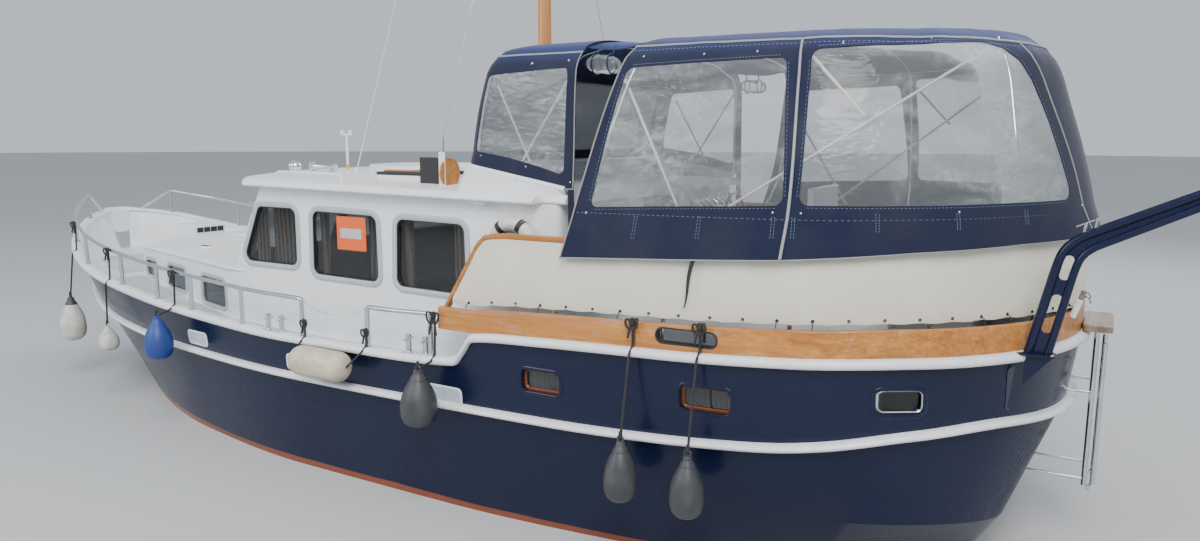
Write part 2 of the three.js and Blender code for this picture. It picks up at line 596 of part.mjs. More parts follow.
// Skylight hatch on a level frame, hinged along its inboard edge
const SKYLIGHT = { x0: -960, x1: -400, y0: 690, y1: 1240, lip: 45, thick: 34 };
SKYLIGHT.z = roofTop(SKYLIGHT.x1, SKYLIGHT.y0) + 12;
const skyFrame = block(SKYLIGHT.x0 + 4, SKYLIGHT.x1 - 4, SKYLIGHT.y0 + 4, SKYLIGHT.y1 - 4,
  roofZ(0) + 20, SKYLIGHT.z);
const skyway = block(SKYLIGHT.x0 + SKYLIGHT.lip, SKYLIGHT.x1 - SKYLIGHT.lip, SKYLIGHT.y0 + SKYLIGHT.lip,
  SKYLIGHT.y1 - SKYLIGHT.lip, 2200, 2600);
add('roof', cut(join(roof, skyFrame, ...cheeks), pinBore, skyway), WHITE);
add('roof_hatch', block(SKYLIGHT.x0, SKYLIGHT.x1, SKYLIGHT.y0, SKYLIGHT.y1, SKYLIGHT.z + GAP,
  SKYLIGHT.z + SKYLIGHT.thick), BLACK);

// Things that stand on the roof
const onRoof = (geometry) => seat(geometry, roof);
const oval = (cx, rx, ry, z0, z1) => new THREE.CylinderGeometry(1, 1, z1 - z0, 28)
  .rotateX(Math.PI / 2).scale(rx, ry, 1).translate(cx, 0, (z0 + z1) / 2);
add('roof_coaming', onRoof(cut(oval(30, 640, 620, 2300, 2440), oval(30, 600, 580, 2290, 2450))), WHITE);
add('searchlight', onRoof(join(
  bar([700, 1120, 2330], [700, 1120, 2400], 18),
  new THREE.SphereGeometry(52, 12, 8).translate(700, 1120, 2435))), STAINLESS);
[['port', 1], ['starboard', -1]].forEach(([side, sign]) => {
  add(`nav_board_${side}`, onRoof(block(-1290, -960, sign * 1330 - 12, sign * 1330 + 12, 2300, 2545)), BLACK);
});

// Flybridge coaming: a raised white rim round the steering position, on the roof
const COAMING = { fore: -1430, foreTop: -1550, aft: -2440, y: 1550, wall: 35, top: 2500, topAft: 2350 };
const coamingSide = (inset, z0, lift) => [
  [COAMING.aft - (inset ? 200 : 0), z0], [COAMING.fore - inset, z0],
  [COAMING.foreTop - inset, COAMING.top + lift], [COAMING.aft - (inset ? 200 : 0), COAMING.topAft + lift],
];
const coamingOuter = sideProfile(coamingSide(0, 2250, 0), -COAMING.y, COAMING.y);
const coamingInner = sideProfile(coamingSide(COAMING.wall, 2200, 200), -COAMING.y + COAMING.wall,
  COAMING.y - COAMING.wall);
const coaming = onRoof(cut(coamingOuter, coamingInner));
add('flybridge_coaming', coaming, WHITE);

// Steering console against the aft bulkhead and its wheel
const CONSOLE = { x0: -2640, x1: SALON_AFT_X - 60, y0: -1150, y1: -420, top: 2180 };
const consoleFoot = deckZ(-2500) + GAP;
const consoleSide = [
  [CONSOLE.x0 + 60, consoleFoot - 20], [CONSOLE.x1, consoleFoot - 20], [CONSOLE.x1, CONSOLE.top],
  [CONSOLE.x0, CONSOLE.top - 120], [CONSOLE.x0, 1900],
];
add('helm_console', seat(sideProfile(consoleSide, CONSOLE.y0, CONSOLE.y1), hull), VARNISH);
const WHEEL = { x: -2735, y: -785, z: 1990, r: 230 };
const wheelRim = new THREE.TorusGeometry(WHEEL.r, 14, 6, 20).rotateY(Math.PI / 2);
const spokes = Array.from({ length: 3 }, (_, i) => {
  const angle = (i * Math.PI) / 3;
  const reach = WHEEL.r + 45;
  return bar([0, -reach * Math.cos(angle), -reach * Math.sin(angle)],
    [0, reach * Math.cos(angle), reach * Math.sin(angle)], 10, 6);
});
add('steering_wheel', join(wheelRim, ...spokes, bar([-25, 0, 0], [94.5, 0, 0], 34, 12))
  .translate(WHEEL.x, WHEEL.y, WHEEL.z), VARNISH);

// Benches on the aft deck with loose cushions
const BENCHES = {
  // x0, x1, y0, y1, seat height above the deck
  helm: [-3500, -3080, -1150, -420, 520],
  aft: [-4950, -4450, -900, 900, 430],
};
Object.entries(BENCHES).forEach(([name, [x0, x1, y0, y1, height]]) => {
  const top = deckZ(x0) + height;
  const base = block(x0, x1, y0, y1, 1280, top);
  const back = block(x0 - 60, x0, y0, y1, top - 40, top + 420);
  add(`${name}_bench`, seat(join(base, back), hull), WHITE);
  add(`${name}_cushion`, block(x0 + 8, x1 - 8, y0 + 8, y1 - 8, top + GAP, top + 100), CUSHION);
});

// Heights of the dodger's rail, from the stern forward
const RAIL_TOP = [
  // x, height
  [-5600, 2195], [-4700, 2150], [-4000, 2095], [-2600, 2062], [-2060, 2060], [-1940, 2040], [-1870, 1975],
  [-1706, 1715], [-1530, 1440],
];
const railTop = (x) => along(RAIL_TOP, x);
const DODGER = { fore: -1660, offset: -95, thick: 10, rail: 38, railWide: 56, railFore: -1530 };

// Wooden rail round the aft deck on steel posts
const postLine = aftLine(DODGER.railFore, DODGER.offset - 22);
const railLine = reachingLine(DODGER.railFore, DODGER.offset - DODGER.railWide / 2 + 8);
const railBody = loft(railLine.map(([x], i) => {
  const outer = reachingLine(DODGER.railFore, DODGER.offset + 8)[i];
  const inner = reachingLine(DODGER.railFore, DODGER.offset + 8 - DODGER.railWide)[i];
  const top = railTop(x);
  return [[...outer, top - DODGER.rail], [...outer, top], [...inner, top], [...inner, top - DODGER.rail]];
}));
const postPlaces = postLine.filter((_, i) => i % 3 === 2 || i === 0);
const aftRail = seat(join(railBody, ...postPlaces.map(([x, y]) =>
  bar([x, y, deckZ(x) - 20], [x - sternReach(y), y, railTop(x) - 10], 14, 6))), hull);
add('aft_rail', aftRail, VARNISH);

// Cream dodger laced between the plank and the rail
add('dodger', seat(loft(reachingLine(DODGER.fore, DODGER.offset).map(([x, y], i) => {
  const inner = reachingLine(DODGER.fore, DODGER.offset - DODGER.thick + 4)[i];
  const foot = plankFoot(x) + PLANK.height + 14;
  const top = railTop(x) - DODGER.rail - 1;
  return [[x, y, foot], [x, y, top], [...inner, top], [...inner, foot]];
})), aftRail), CREAM);

// Canopy over the aft deck: side curtains and roof in one sheet, open in front
const CANOPY = { fore: -2580, thick: 12, offset: -50 };
const HEM_Z = [
  // x, height
  [-5600, 2120], [-4700, 2070], [-4000, 2010], [-2580, 1930],
];
const canopyPlan = aftLine(CANOPY.fore, CANOPY.offset);
const planAft = Math.min(...canopyPlan.map(([x]) => x));
const planWide = Math.max(...canopyPlan.map(([, y]) => y));
// height, front edge, aft edge, half width
const CANOPY_LEVELS = [
  [null, CANOPY.fore, planAft, planWide],
  [2300, -2700, planAft + 15, planWide - 15],
  [3050, -2870, -5300, 1640],
  [3200, -2910, -5235, 1570],
  [3290, -2940, -5150, 1430],
  [3380, -2950, -5000, 900],
];
const CANOPY_REACH = [1.22, 0.72];
function canopyRing([z, fore, aft, wide], level, inset, extraFront, hemDrop) {
  return canopyPlan.map(([x, y], i) => {
    const share = (x - CANOPY.fore) / (planAft - CANOPY.fore);
    const atFront = i === 0 || i === canopyPlan.length - 1;
    const at = fore + (aft + inset - fore) * share + (atFront ? extraFront : 0);
    const height = z === null ? along(HEM_Z, x) - hemDrop : z - (level > 2 ? inset : 0);
    const reach = sternReach(y) * (CANOPY_REACH[level] ?? 0);
    return [at - reach, (y / planWide) * (wide - inset), height];
  });
}
const canopySolid = (...lengths) => loft(
  CANOPY_LEVELS.map((row, level) => canopyRing(row, level, ...lengths)));
const canopyMain = cut(canopySolid(0, 0, 0), canopySolid(CANOPY.thick, 300, 200));
add('canopy_main', canopyMain, CANVAS);

// Small canopy over the front of the steering position, open aft
const HOOD = { fore: -1545, aft: -2500, wall: 12, tail: 46, tailFoot: 2075 };
const hoodSide = (inset, aft, drop) => [
  ...(inset ? [[aft, 1900], [-2440, 1900]]
    : [[aft, HOOD.tailFoot], [aft + HOOD.tail, HOOD.tailFoot], [aft + HOOD.tail, 2340]]),
  [-2440, 2352 - drop], [HOOD.fore - inset, 2501.3 - drop], [-1710 - inset, 3240], [-1790, 3330 - inset],
  [-2100, 3395 - inset], [aft, 3400 - inset],
];
const HOOD_HALF = [
  // height, half width
  [2000, 1540], [2300, 1540], [3150, 1500], [3300, 1400], [3392, 1000],
];
const hoodPlan = (inset) => HOOD_HALF.map(([z, y]) => [z, y - inset]);
const hoodTube = (inset) => loft([HOOD.fore + 200, HOOD.aft - 200].map((x) => {
  const port = hoodPlan(inset).map(([z, y], i) => [x, y, z - (i > 2 ? inset : 0)]);
  return [...port, ...port.slice().reverse().map(mirror)];
}));
const hoodOuter = solid(sideProfile(hoodSide(0, HOOD.aft, 0), -1600, 1600)).intersect(solid(hoodTube(0)));
const hoodInner = solid(sideProfile(hoodSide(HOOD.wall, HOOD.aft - 200, 200), -1600, 1600))
  .intersect(solid(hoodTube(HOOD.wall)));
const hood = seat(shape(hoodOuter.subtract(hoodInner)), coaming);
add('canopy_front', hood, CANVAS);

// Steel bows under the canopy, from rail to rail, with a bar along each shoulder
const BOW = { r: 12, back: 0.8 };
const railPort = railLine.filter(([, y]) => y > 0).sort((p, q) => p[0] - q[0]);
const bowPoints = (places) => {
  const port = CANOPY_LEVELS.map((row, level) => {
    const x = places[level];
    const ring = canopyRing(row, level, CANOPY.thick, 0, 0).filter(([, y]) => y > 0)
      .map(([px, py]) => [px, py]);
    const y = along(ring.slice().sort((p, q) => p[0] - q[0]), x);
    const lower = level > 2 ? BOW.back * BOW.r : 0;
    return [x, y - BOW.r, level > 0 ? row[0] - lower - (level > 2 ? CANOPY.thick : 0) : railTop(x) - 5];
  });
  port[0][1] = along(railPort, places[0]);
  return [...port, ...port.slice().reverse().map(mirror)];
};
// x of each bow at each level of the canopy
const BOW_X = [
  [-2700, -2790, -2960, -3000, -3030, -3040],
  [-4050, -4050, -4050, -4050, -4050, -4050],
  [-5250, -5180, -5050, -5000, -4950, -4930],
];
const bowLines = BOW_X.map(bowPoints);
const shoulder = [3, -4].flatMap((at) => bowLines.slice(1).map((line, i) =>
  bar(bowLines[i].at(at), line.at(at), 9, 6)));
const bowPipes = bowLines.map((line) => pipe(line, BOW.r, 6));
add('canopy_bows', seat(join(...bowPipes, ...shoulder), canopyMain, aftRail),
  STAINLESS);

// Guard rails of the fore and side decks, with a chain at the boarding gate
const RAIL = { r: 13, above: 300, inset: 14 };
const railY = (x) => sheerY(x) - RAIL.inset;
const railPoint = (x, above) => [x, railY(x), sheerZ(x) + STRAKE.cap + above];
const STANCHIONS = [5100, 4450, 3630, 2650, 1900, 1320, 560, -190];
const portRail = [
  pipe([[5330, 250, sheerZ(5330) + 10], [5100, railY(5100), 1990], railPoint(4450, RAIL.above),
    railPoint(3630, RAIL.above), railPoint(2650, RAIL.above), railPoint(1900, RAIL.above),
    railPoint(1320, RAIL.above), railPoint(560, RAIL.above), railPoint(-190, RAIL.above),
    railPoint(-370, RAIL.above - 60), railPoint(-545, RAIL.above - 80), railPoint(-720, RAIL.above - 60),
    railPoint(-900, RAIL.above), railPoint(-1530, RAIL.above)], RAIL.r, 6),
  ...[...STANCHIONS, -900, -1515].map((x) => bar(railPoint(x, -30), railPoint(x, RAIL.above - 4), RAIL.r, 6)),
];
addPair('guard_rail', join(...portRail), STAINLESS, strake, hull);

// Mast with its two shrouds, which end on the axis that it folds about
const SHROUD = { r: 5, top: 6250 };
add('mast', join(
  new THREE.CylinderGeometry(MAST_R * 0.7, MAST_R, MAST_TOP_Z - 2445, 16).rotateX(Math.PI / 2)
    .translate(MAST_X, 0, (MAST_TOP_Z + 2445) / 2),
  bar([MAST_X, -110, MAST_PIVOT_Z], [MAST_X, 110, MAST_PIVOT_Z], PIVOT.pin, 16),
  ...[1, -1].flatMap((sign) => [
    bar([MAST_X, sign * (PIVOT.stayY + 2), MAST_PIVOT_Z + 4], [MAST_X, 0, SHROUD.top], SHROUD.r, 6),
    bar([MAST_X, sign * (PIVOT.stayY - 8), MAST_PIVOT_Z],
      [MAST_X, sign * (PIVOT.stayY + 13), MAST_PIVOT_Z], 16, 12),
  ]),
), VARNISH);

// Davit on the port stern quarter: two tubes with a web between them
const DAVIT = { y: 1030, upper: 25, lower: 22, web: 6 };
const UPPER_TUBE = [[-5265, 1485], [-5370, 1990], [-5400, 2090], [-5470, 2160], [-5560, 2205], [-6550, 2690]];
const LOWER_TUBE = [[-5365, 1485], [-5465, 1990], [-5490, 2060], [-5540, 2108], [-5610, 2145], [-6550, 2635]];
add('davit_port', seat(join(
  pipe(UPPER_TUBE.map(([x, z]) => [x, DAVIT.y, z]), DAVIT.upper),
  pipe(LOWER_TUBE.map(([x, z]) => [x, DAVIT.y, z]), DAVIT.lower),
  sideProfile([...UPPER_TUBE, ...LOWER_TUBE.slice().reverse()], DAVIT.y - DAVIT.web, DAVIT.y + DAVIT.web),
  block(-5405, -5245, DAVIT.y - 30, DAVIT.y + 60, 1478, 1488),
  sideProfile([[-5400, 1480], [-5250, 1480], [-5250, 1300]], DAVIT.y + 20, DAVIT.y + 28),
), strake, hull), NAVY);

// Wooden step on the stern and the ladder below it
const STEP = { x0: -5690, x1: STERN_X - 2, y: 270, z0: 1488, z1: 1533 };
add('stern_step', seat(block(STEP.x0, STEP.x1, -STEP.y, STEP.y, STEP.z0, STEP.z1), strake, hull), VARNISH);
const LADDER = {
  x: -5605, y: 180, r: 14, foot: 450, apart: 50, hingeZ: 430, disc: 14, strutZ: 490, strutTop: 1080,
};
const LADDER_RUNGS = [560, 790, 1020, 1250];
const hingeX = LADDER.x - LADDER.apart / 2;
add('stern_ladder', seat(join(
  ...[1, -1].flatMap((sign) => [
    bar([LADDER.x, sign * LADDER.y, LADDER.foot], [LADDER.x, sign * LADDER.y, STEP.z0 - GAP], LADDER.r),
    bar([LADDER.x, sign * LADDER.y, LADDER.strutZ], [-5150, sign * LADDER.y, LADDER.strutZ], 9, 6),
    bar([LADDER.x, sign * LADDER.y, LADDER.strutTop], [-5400, sign * LADDER.y, LADDER.strutTop], 9, 6),
    bar([LADDER.x, sign * LADDER.y, LADDER.foot + 20], [hingeX, sign * LADDER.y, LADDER.hingeZ], 5.5, 6),
    bar([hingeX, sign * LADDER.y - 6, LADDER.hingeZ],
      [hingeX, sign * LADDER.y + 6, LADDER.hingeZ], LADDER.disc, 12),
  ]),
  ...LADDER_RUNGS.map((z) => bar([LADDER.x, -LADDER.y, z], [LADDER.x, LADDER.y, z], 12, 8)),
), strake, hull), STAINLESS);

// Ladder extension, folded up behind the ladder; it swings aft and down about its lower end
const extensionX = LADDER.x - LADDER.apart;
const EXTENSION = { y: LADDER.y - 26, foot: LADDER.hingeZ + 24, top: 1400 };
add('ladder_extension', join(
  ...[1, -1].flatMap((sign) => [
    bar([extensionX, sign * EXTENSION.y, EXTENSION.foot],
      [extensionX, sign * EXTENSION.y, EXTENSION.top], LADDER.r),
    bar([extensionX, sign * EXTENSION.y, EXTENSION.foot + 6],
      [hingeX, sign * EXTENSION.y, LADDER.hingeZ], 8, 6),
    bar([hingeX, sign * (EXTENSION.y - 8), LADDER.hingeZ],
      [hingeX, sign * (LADDER.y - 6 - GAP), LADDER.hingeZ],
      LADDER.disc, 12),
  ]),
  ...LADDER_RUNGS.map((z) => bar([extensionX, -EXTENSION.y, z + 60],
    [extensionX, EXTENSION.y, z + 60], 12, 8)),
), STAINLESS);

// Horseshoe life ring on the port side of the coaming
const BUOY = { x: -2040, z: 1950, r: 158, tube: 50 };
const buoyPath = Array.from({ length: 13 }, (_, i) => {
  const angle = Math.PI * (-0.3 + (1.6 * i) / 12);
  return [BUOY.x + BUOY.r * Math.cos(angle), 0, BUOY.z + BUOY.r * Math.sin(angle)];
});
const buoyY = SALON_SIDE_Y + BUOY.tube * 0.951 + GAP;
add('life_ring', pipe(buoyPath, BUOY.tube, 10).translate(0, buoyY, 0), RUBBER_WHITE);

// Twin mooring posts on the strake
const BOLLARDS = [
  // name, centre x
  ['fore', 155],
  ['mid', -1370],
];
BOLLARDS.forEach(([place, x]) => {
  const foot = sheerZ(x) + STRAKE.cap;
  const y = sheerY(x) - 30;
  addPair(`bollard_${place}`, join(
    block(x - 110, x + 110, y - 45, y + 45, foot - 10, foot + 8),
    ...[-80, 80].flatMap((shift) => [
      bar([x + shift, y, foot], [x + shift, y, foot + 125], 24, 12),
      bar([x + shift, y - 46, foot + 112], [x + shift, y + 46, foot + 112], 12, 8),
    ]),
  ), STAINLESS, strake, hull);
});

// Fenders on their lanyards, which end at the guard rail or at the foot of the plank
const FENDERS = [
  // name, x, distance out, height, half length, radius, material
  ['fender_bow', 4150, 130, 700, 240, 130, RUBBER_WHITE],
  ['fender_white', 2900, 85, 700, 120, 95, RUBBER_WHITE],
  ['fender_blue', 1560, 200, 930, 190, 120, RUBBER_BLUE],
  ['fender_grey', -1570, 200, 900, 200, 130, RUBBER_GREY],
  ['fender_aft', -3150, 170, 680, 190, 105, RUBBER_GREY],
  ['fender_stern', -3590, 170, 670, 190, 105, RUBBER_GREY],
];
const LANYARD = 6;
FENDERS.forEach(([name, x, out, z, half, radius, material]) => {
  const y = Math.max(sheerY(x), levelY(1, x)) + STRAKE.out + out - 60;
  const top = sheerZ(x) + STRAKE.cap + (x < STEP_X ? 8 : 240);
  const profile = [
    [0, -half], [radius * 0.55, -half * 0.93], [radius * 0.92, -half * 0.62], [radius, -half * 0.25],
    [radius * 0.9, half * 0.2], [radius * 0.5, half * 0.68], [radius * 0.2, half * 0.9], [radius * 0.2, half],
    [0, half]].map(([r, h]) => new THREE.Vector2(r, h));
  const body = new THREE.LatheGeometry(profile, 14).rotateX(Math.PI / 2).translate(x, y, z);
  const lanyard = pipe([[x, y, z + half - 20], [x, sheerY(x) + STRAKE.out + 9, sheerZ(x)],
    [x, sheerY(x) + 10, sheerZ(x) + STRAKE.cap + 9], [x, railY(x) + 4, top]], LANYARD, 6);
  add(name, seat(join(body, lanyard), strake, hull), material);
});

// Long fender that hangs level from two lanyards
const LEVEL_FENDER = { x: -570, half: 280, radius: 115, z: 1010 };
const levelY0 = sheerY(LEVEL_FENDER.x) + STRAKE.out + LEVEL_FENDER.radius + 4;
const levelShape = [
  [0, -1], [0.45, -0.97], [0.85, -0.86], [1, -0.72], [1, 0.72], [0.85, 0.86], [0.45, 0.97], [0, 1],
].map(([r, h]) => new THREE.Vector2(r * LEVEL_FENDER.radius, h * LEVEL_FENDER.half));
const levelBody = new THREE.LatheGeometry(levelShape, 16).rotateZ(Math.PI / 2)
  .translate(LEVEL_FENDER.x, levelY0, LEVEL_FENDER.z);
const levelLanyards = [1, -1].map((end) => {
  const x = LEVEL_FENDER.x + end * (LEVEL_FENDER.half - 8);
  const at = LEVEL_FENDER.x + end * (LEVEL_FENDER.half + 40);
  return pipe([[x, levelY0, LEVEL_FENDER.z], [at, sheerY(at) + STRAKE.out + 9, sheerZ(at)],
    [at, sheerY(at) + 10, sheerZ(at) + STRAKE.cap + 9],
    [at, railY(at) + 4, sheerZ(at) + STRAKE.cap + 120]], LANYARD, 6);
});
add('fender_cream', seat(join(levelBody, ...levelLanyards), strake, hull), RUBBER_WHITE);

// Flap of canvas that closes the gap between the two canopies
const FLAP = { thick: 8, aft: -2946, fore: HOOD.aft };
const flapRing = (port) => {
  const upper = [...port, ...port.slice().reverse().map(mirror)];
  return [...upper, ...upper.slice().reverse().map(([x, y, z]) => [x, y, z - FLAP.thick])];
};
const flapAft = [[1390, 3296], [900, 3379]].map(([y, z]) => [FLAP.aft, y, z]);
const flapFore = [[1345, 3308], [1000, 3390]].map(([y, z]) => [FLAP.fore - GAP, y, z]);
add('canopy_flap', seat(loft([flapRing(flapAft), flapRing(flapFore)]), canopyMain), CANVAS);

export default boat;
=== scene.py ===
import math

import bmesh
import bpy
import numpy as np
from mathutils import Matrix, Vector, noise


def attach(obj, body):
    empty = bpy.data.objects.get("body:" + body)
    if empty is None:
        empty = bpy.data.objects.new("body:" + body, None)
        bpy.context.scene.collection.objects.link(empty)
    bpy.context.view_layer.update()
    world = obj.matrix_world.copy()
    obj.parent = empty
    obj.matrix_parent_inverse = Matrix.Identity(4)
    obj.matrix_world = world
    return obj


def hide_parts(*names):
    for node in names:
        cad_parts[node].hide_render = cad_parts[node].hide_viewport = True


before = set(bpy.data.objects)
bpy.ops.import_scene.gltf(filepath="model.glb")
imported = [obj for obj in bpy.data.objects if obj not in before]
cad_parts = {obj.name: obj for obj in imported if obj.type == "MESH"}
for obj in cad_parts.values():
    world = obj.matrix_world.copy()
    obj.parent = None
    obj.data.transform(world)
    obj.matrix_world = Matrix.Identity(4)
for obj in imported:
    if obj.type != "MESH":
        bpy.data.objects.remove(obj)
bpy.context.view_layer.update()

# Camera: it stands off the port quarter, a little above the deck, and looks forward across the boat
# through a plain moderate wide-angle lens.
EYE = Vector((-5.563, 6.427, 2.70))
YAW, TILT, ROLL = (math.radians(angle) for angle in (59.70, 8.81, 0.18))
LENS_MM = 25.74
ahead = Vector((math.cos(TILT) * math.cos(YAW), -math.cos(TILT) * math.sin(YAW), -math.sin(TILT)))
level_right = Vector((-math.sin(YAW), -math.cos(YAW), 0))
level_up = level_right.cross(ahead)
right = math.cos(ROLL) * level_right + math.sin(ROLL) * level_up
up = math.cos(ROLL) * level_up - math.sin(ROLL) * level_right
lens = bpy.data.cameras.new("camera")
lens.lens = LENS_MM
lens.clip_end = 400
camera = bpy.data.objects.new("camera", lens)
camera.matrix_world = Matrix.Translation(EYE) @ Matrix((right, up, -ahead)).transposed().to_4x4()
bpy.context.scene.collection.objects.link(camera)
bpy.context.scene.camera = camera


# Floor and light: a pale matt floor at the waterline, a soft overcast sky, a broad lamp high up to
# port of the stern, a weaker one to port of the bow and one to starboard.
def node(tree, kind, inputs=None, **settings):
    """Adds a shader node; an input that is a socket is linked, and any other is set."""
    made = tree.nodes.new(kind)
    for key, value in settings.items():
        setattr(made, key, value)
    for key, value in (inputs or {}).items():
        if isinstance(value, bpy.types.NodeSocket):
            tree.links.new(value, made.inputs[key])
        else:
            made.inputs[key].default_value = value
    return made


def blended(tree, factor, first, second, mode="MIX"):
    """The colour between two colours, as a socket."""
    mixed = node(tree, "ShaderNodeMix", {0: factor, 6: first, 7: second}, data_type="RGBA", blend_type=mode)
    return mixed.outputs[2]


def ramped(tree, value, low, high):
    """The value spread from 0 at low to 1 at high, as a socket."""
    return node(tree, "ShaderNodeMapRange", {0: value, 1: low, 2: high}).outputs[0]


def place_of(tree):
    return node(tree, "ShaderNodeTexCoord").outputs["Object"]


def height_of(tree):
    return node(tree, "ShaderNodeSeparateXYZ", {0: place_of(tree)}).outputs[2]


def clouds(tree, place, scale, detail, **inputs):
    """Soft noise about a place, as a socket."""
    return node(tree, "ShaderNodeTexNoise",
                {"Vector": place, "Scale": scale, "Detail": detail, **inputs}).outputs[0]


def stretched(tree, place, scale, **inputs):
    return node(tree, "ShaderNodeMapping", {"Vector": place, "Scale": scale, **inputs}).outputs[0]


def product(tree, first, second, **settings):
    return node(tree, "ShaderNodeMath", {0: first, 1: second}, operation="MULTIPLY", **settings).outputs[0]


def total(tree, first, second, **settings):
    return node(tree, "ShaderNodeMath", {0: first, 1: second}, **settings).outputs[0]


def material(name, **settings):
    """A new material, with its node tree and its Principled shader."""
    made = bpy.data.materials.new(name)
    made.use_nodes = True
    shader = made.node_tree.nodes["Principled BSDF"]
    for key, value in settings.items():
        shader.inputs[key.replace("_", " ")].default_value = value
    return made, made.node_tree, shader


floor_mesh = bpy.data.meshes.new("floor")
FLOOR_REACH = 160
floor_mesh.from_pydata(
    [(FLOOR_REACH * math.cos(math.tau * i / 48), FLOOR_REACH * math.sin(math.tau * i / 48), 0)
     for i in range(48)],
    [], [tuple(range(48))])
floor = bpy.data.objects.new("floor", floor_mesh)
bpy.context.scene.collection.objects.link(floor)
matt, tree, shader = material("floor matt", Roughness=0.9, Specular_IOR_Level=0.1)
mottle = node(tree, "ShaderNodeTexNoise", {"Scale": 0.8, "Detail": 4.0})
tree.links.new(blended(tree, mottle.outputs[0], (0.50, 0.51, 0.52, 1), (0.56, 0.57, 0.58, 1)),
               shader.inputs["Base Color"])
floor_mesh.materials.append(matt)

sky = bpy.data.worlds.new("sky")
sky.use_nodes = True
sky.node_tree.nodes["Background"].inputs[0].default_value = (0.80, 0.86, 0.94, 1)
sky.node_tree.nodes["Background"].inputs[1].default_value = 0.80
bpy.context.scene.world = sky
LAMPS = [
    # name, place, aim, size, watts, colour
    ("key", (-9, 12, 14), (-1, 0, 1), 9, 3200, (1, 0.98, 0.95)),
    ("fill", (8, 14, 9), (2, 0, 1), 8, 1200, (0.92, 0.96, 1)),
    ("rim", (-6, -14, 12), (-1, 0, 1), 8, 1100, (0.95, 0.97, 1)),
]
for name, place, aim, size, watts, colour in LAMPS:
    lamp = bpy.data.lights.new(name, "AREA")
    lamp.size = size
    lamp.energy = watts
    lamp.color = colour
    holder = bpy.data.objects.new(name, lamp)
    holder.location = place
    holder.rotation_mode = "QUATERNION"
    holder.rotation_quaternion = (Vector(aim) - Vector(place)).to_track_quat("-Z", "Y")
    bpy.context.scene.collection.objects.link(holder)


# Hull: welded steel plates with a knuckle at the rubbing strake and chines below it, painted navy
# above the water and dull red below it. Decks and the inside of the bulwark are white.
SHEER, RUB = 0, 1
LEVELS = [
    # rows: sheer, rubbing strake, topside, waterline, bilge, garboard
    # aft end, fore end, height or None for its own table, rise of the run aft
    (-5.52, 5.45, None, 0),
    (-5.46, 5.27, None, 0),
    (-5.19, 5.12, 0.45, 0),
    (-4.95, 4.98, 0, 0),
    (-4.82, 4.50, -0.43, 0.33),
    (-4.56, 3.90, -0.74, 0.43),
]
HALF_BREADTHS = [
    # share of the length from the stern, then sheer, rub, topside, water, bilge, garboard
    (0, 0.06, 0.04, 0.9, 0.64, 0.24, 0.045),
    (0.01, 0.64, 0.65, 1.12, 0.8, 0.3, 0.06),
    (0.03, 1.07, 1.08, 1.3, 0.96, 0.4, 0.08),
    (0.07, 1.52, 1.51, 1.53, 1.22, 0.62, 0.11),
    (0.13, 1.815, 1.795, 1.72, 1.48, 0.9, 0.16),
    (0.2, 1.885, 1.86, 1.8, 1.64, 1.13, 0.25),
    (0.35, 1.9, 1.88, 1.84, 1.76, 1.38, 0.42),
    (0.5, 1.9, 1.88, 1.84, 1.77, 1.42, 0.46),
    (0.65, 1.8, 1.765, 1.7, 1.6, 1.23, 0.38),
    (0.73, 1.675, 1.62, 1.52, 1.39, 1.01, 0.29),
    (0.8, 1.53, 1.44, 1.28, 1.11, 0.75, 0.2),
    (0.86, 1.33, 1.21, 1, 0.82, 0.5, 0.13),
    (0.91, 1.07, 0.95, 0.73, 0.56, 0.31, 0.085),
    (0.95, 0.74, 0.67, 0.48, 0.35, 0.19, 0.06),
    (0.98, 0.4, 0.37, 0.26, 0.18, 0.1, 0.045),
    (0.995, 0.16, 0.15, 0.11, 0.08, 0.06, 0.035),
    (1, 0.06, 0.04, 0.03, 0.03, 0.03, 0.03),
]
SHEER_HEIGHTS = [
    # x, height
    (-5.52, 1.465), (-4.85, 1.47), (-3.5, 1.42), (-2.4, 1.38), (-1.91, 1.345), (-1.83, 1.245), (-1.75, 1.16),
    (-1, 1.125), (0, 1.12), (1, 1.15), (2, 1.2), (2.8, 1.255), (3.6, 1.34), (4.2, 1.44), (4.79, 1.59),
    (5.1, 1.69), (5.45, 1.77),
]
RUB_HEIGHTS = [
    # x, height
    (-5.46, 1.01), (-5.1, 1.06), (-4.75, 1.03), (-4.3, 0.96), (-3.9, 0.91), (-2.5, 0.83), (0, 0.8), (2, 0.82),
    (2.9, 0.85), (3.6, 0.905), (4.3, 0.99), (5.27, 1.09),
]
FOREFOOT = 0.26
RUN_SHARE = 0.3
STEP_X = -1.83
DECK_DROP = 0.06
FORE_DECK_Z = 1.27
BULWARK = 0.045


def smooth_between(rows, places):
    """Values at places on a monotone cubic curve through (place, value) rows."""
    x, y = np.array(rows, float).T
    steps = np.diff(x)
    slopes = np.diff(y) / steps
    tangents = np.zeros(len(x))
    tangents[0], tangents[-1] = slopes[0], slopes[-1]
    for i in range(1, len(x) - 1):
        if slopes[i - 1] * slopes[i] > 0:
            before, after = 2 * steps[i] + steps[i - 1], steps[i] + 2 * steps[i - 1]
            tangents[i] = (before + after) / (before / slopes[i - 1] + after / slopes[i])
    p = np.clip(np.asarray(places, float), x[0], x[-1])
    i = np.clip(np.searchsorted(x, p) - 1, 0, len(steps) - 1)
    s = (p - x[i]) / steps[i]
    return ((2 * s**3 - 3 * s**2 + 1) * y[i] + (s**3 - 2 * s**2 + s) * steps[i] * tangents[i]
            + (3 * s**2 - 2 * s**3) * y[i + 1] + (s**3 - s**2) * steps[i] * tangents[i + 1])


def sheer_z(x):
    return smooth_between(SHEER_HEIGHTS, x)


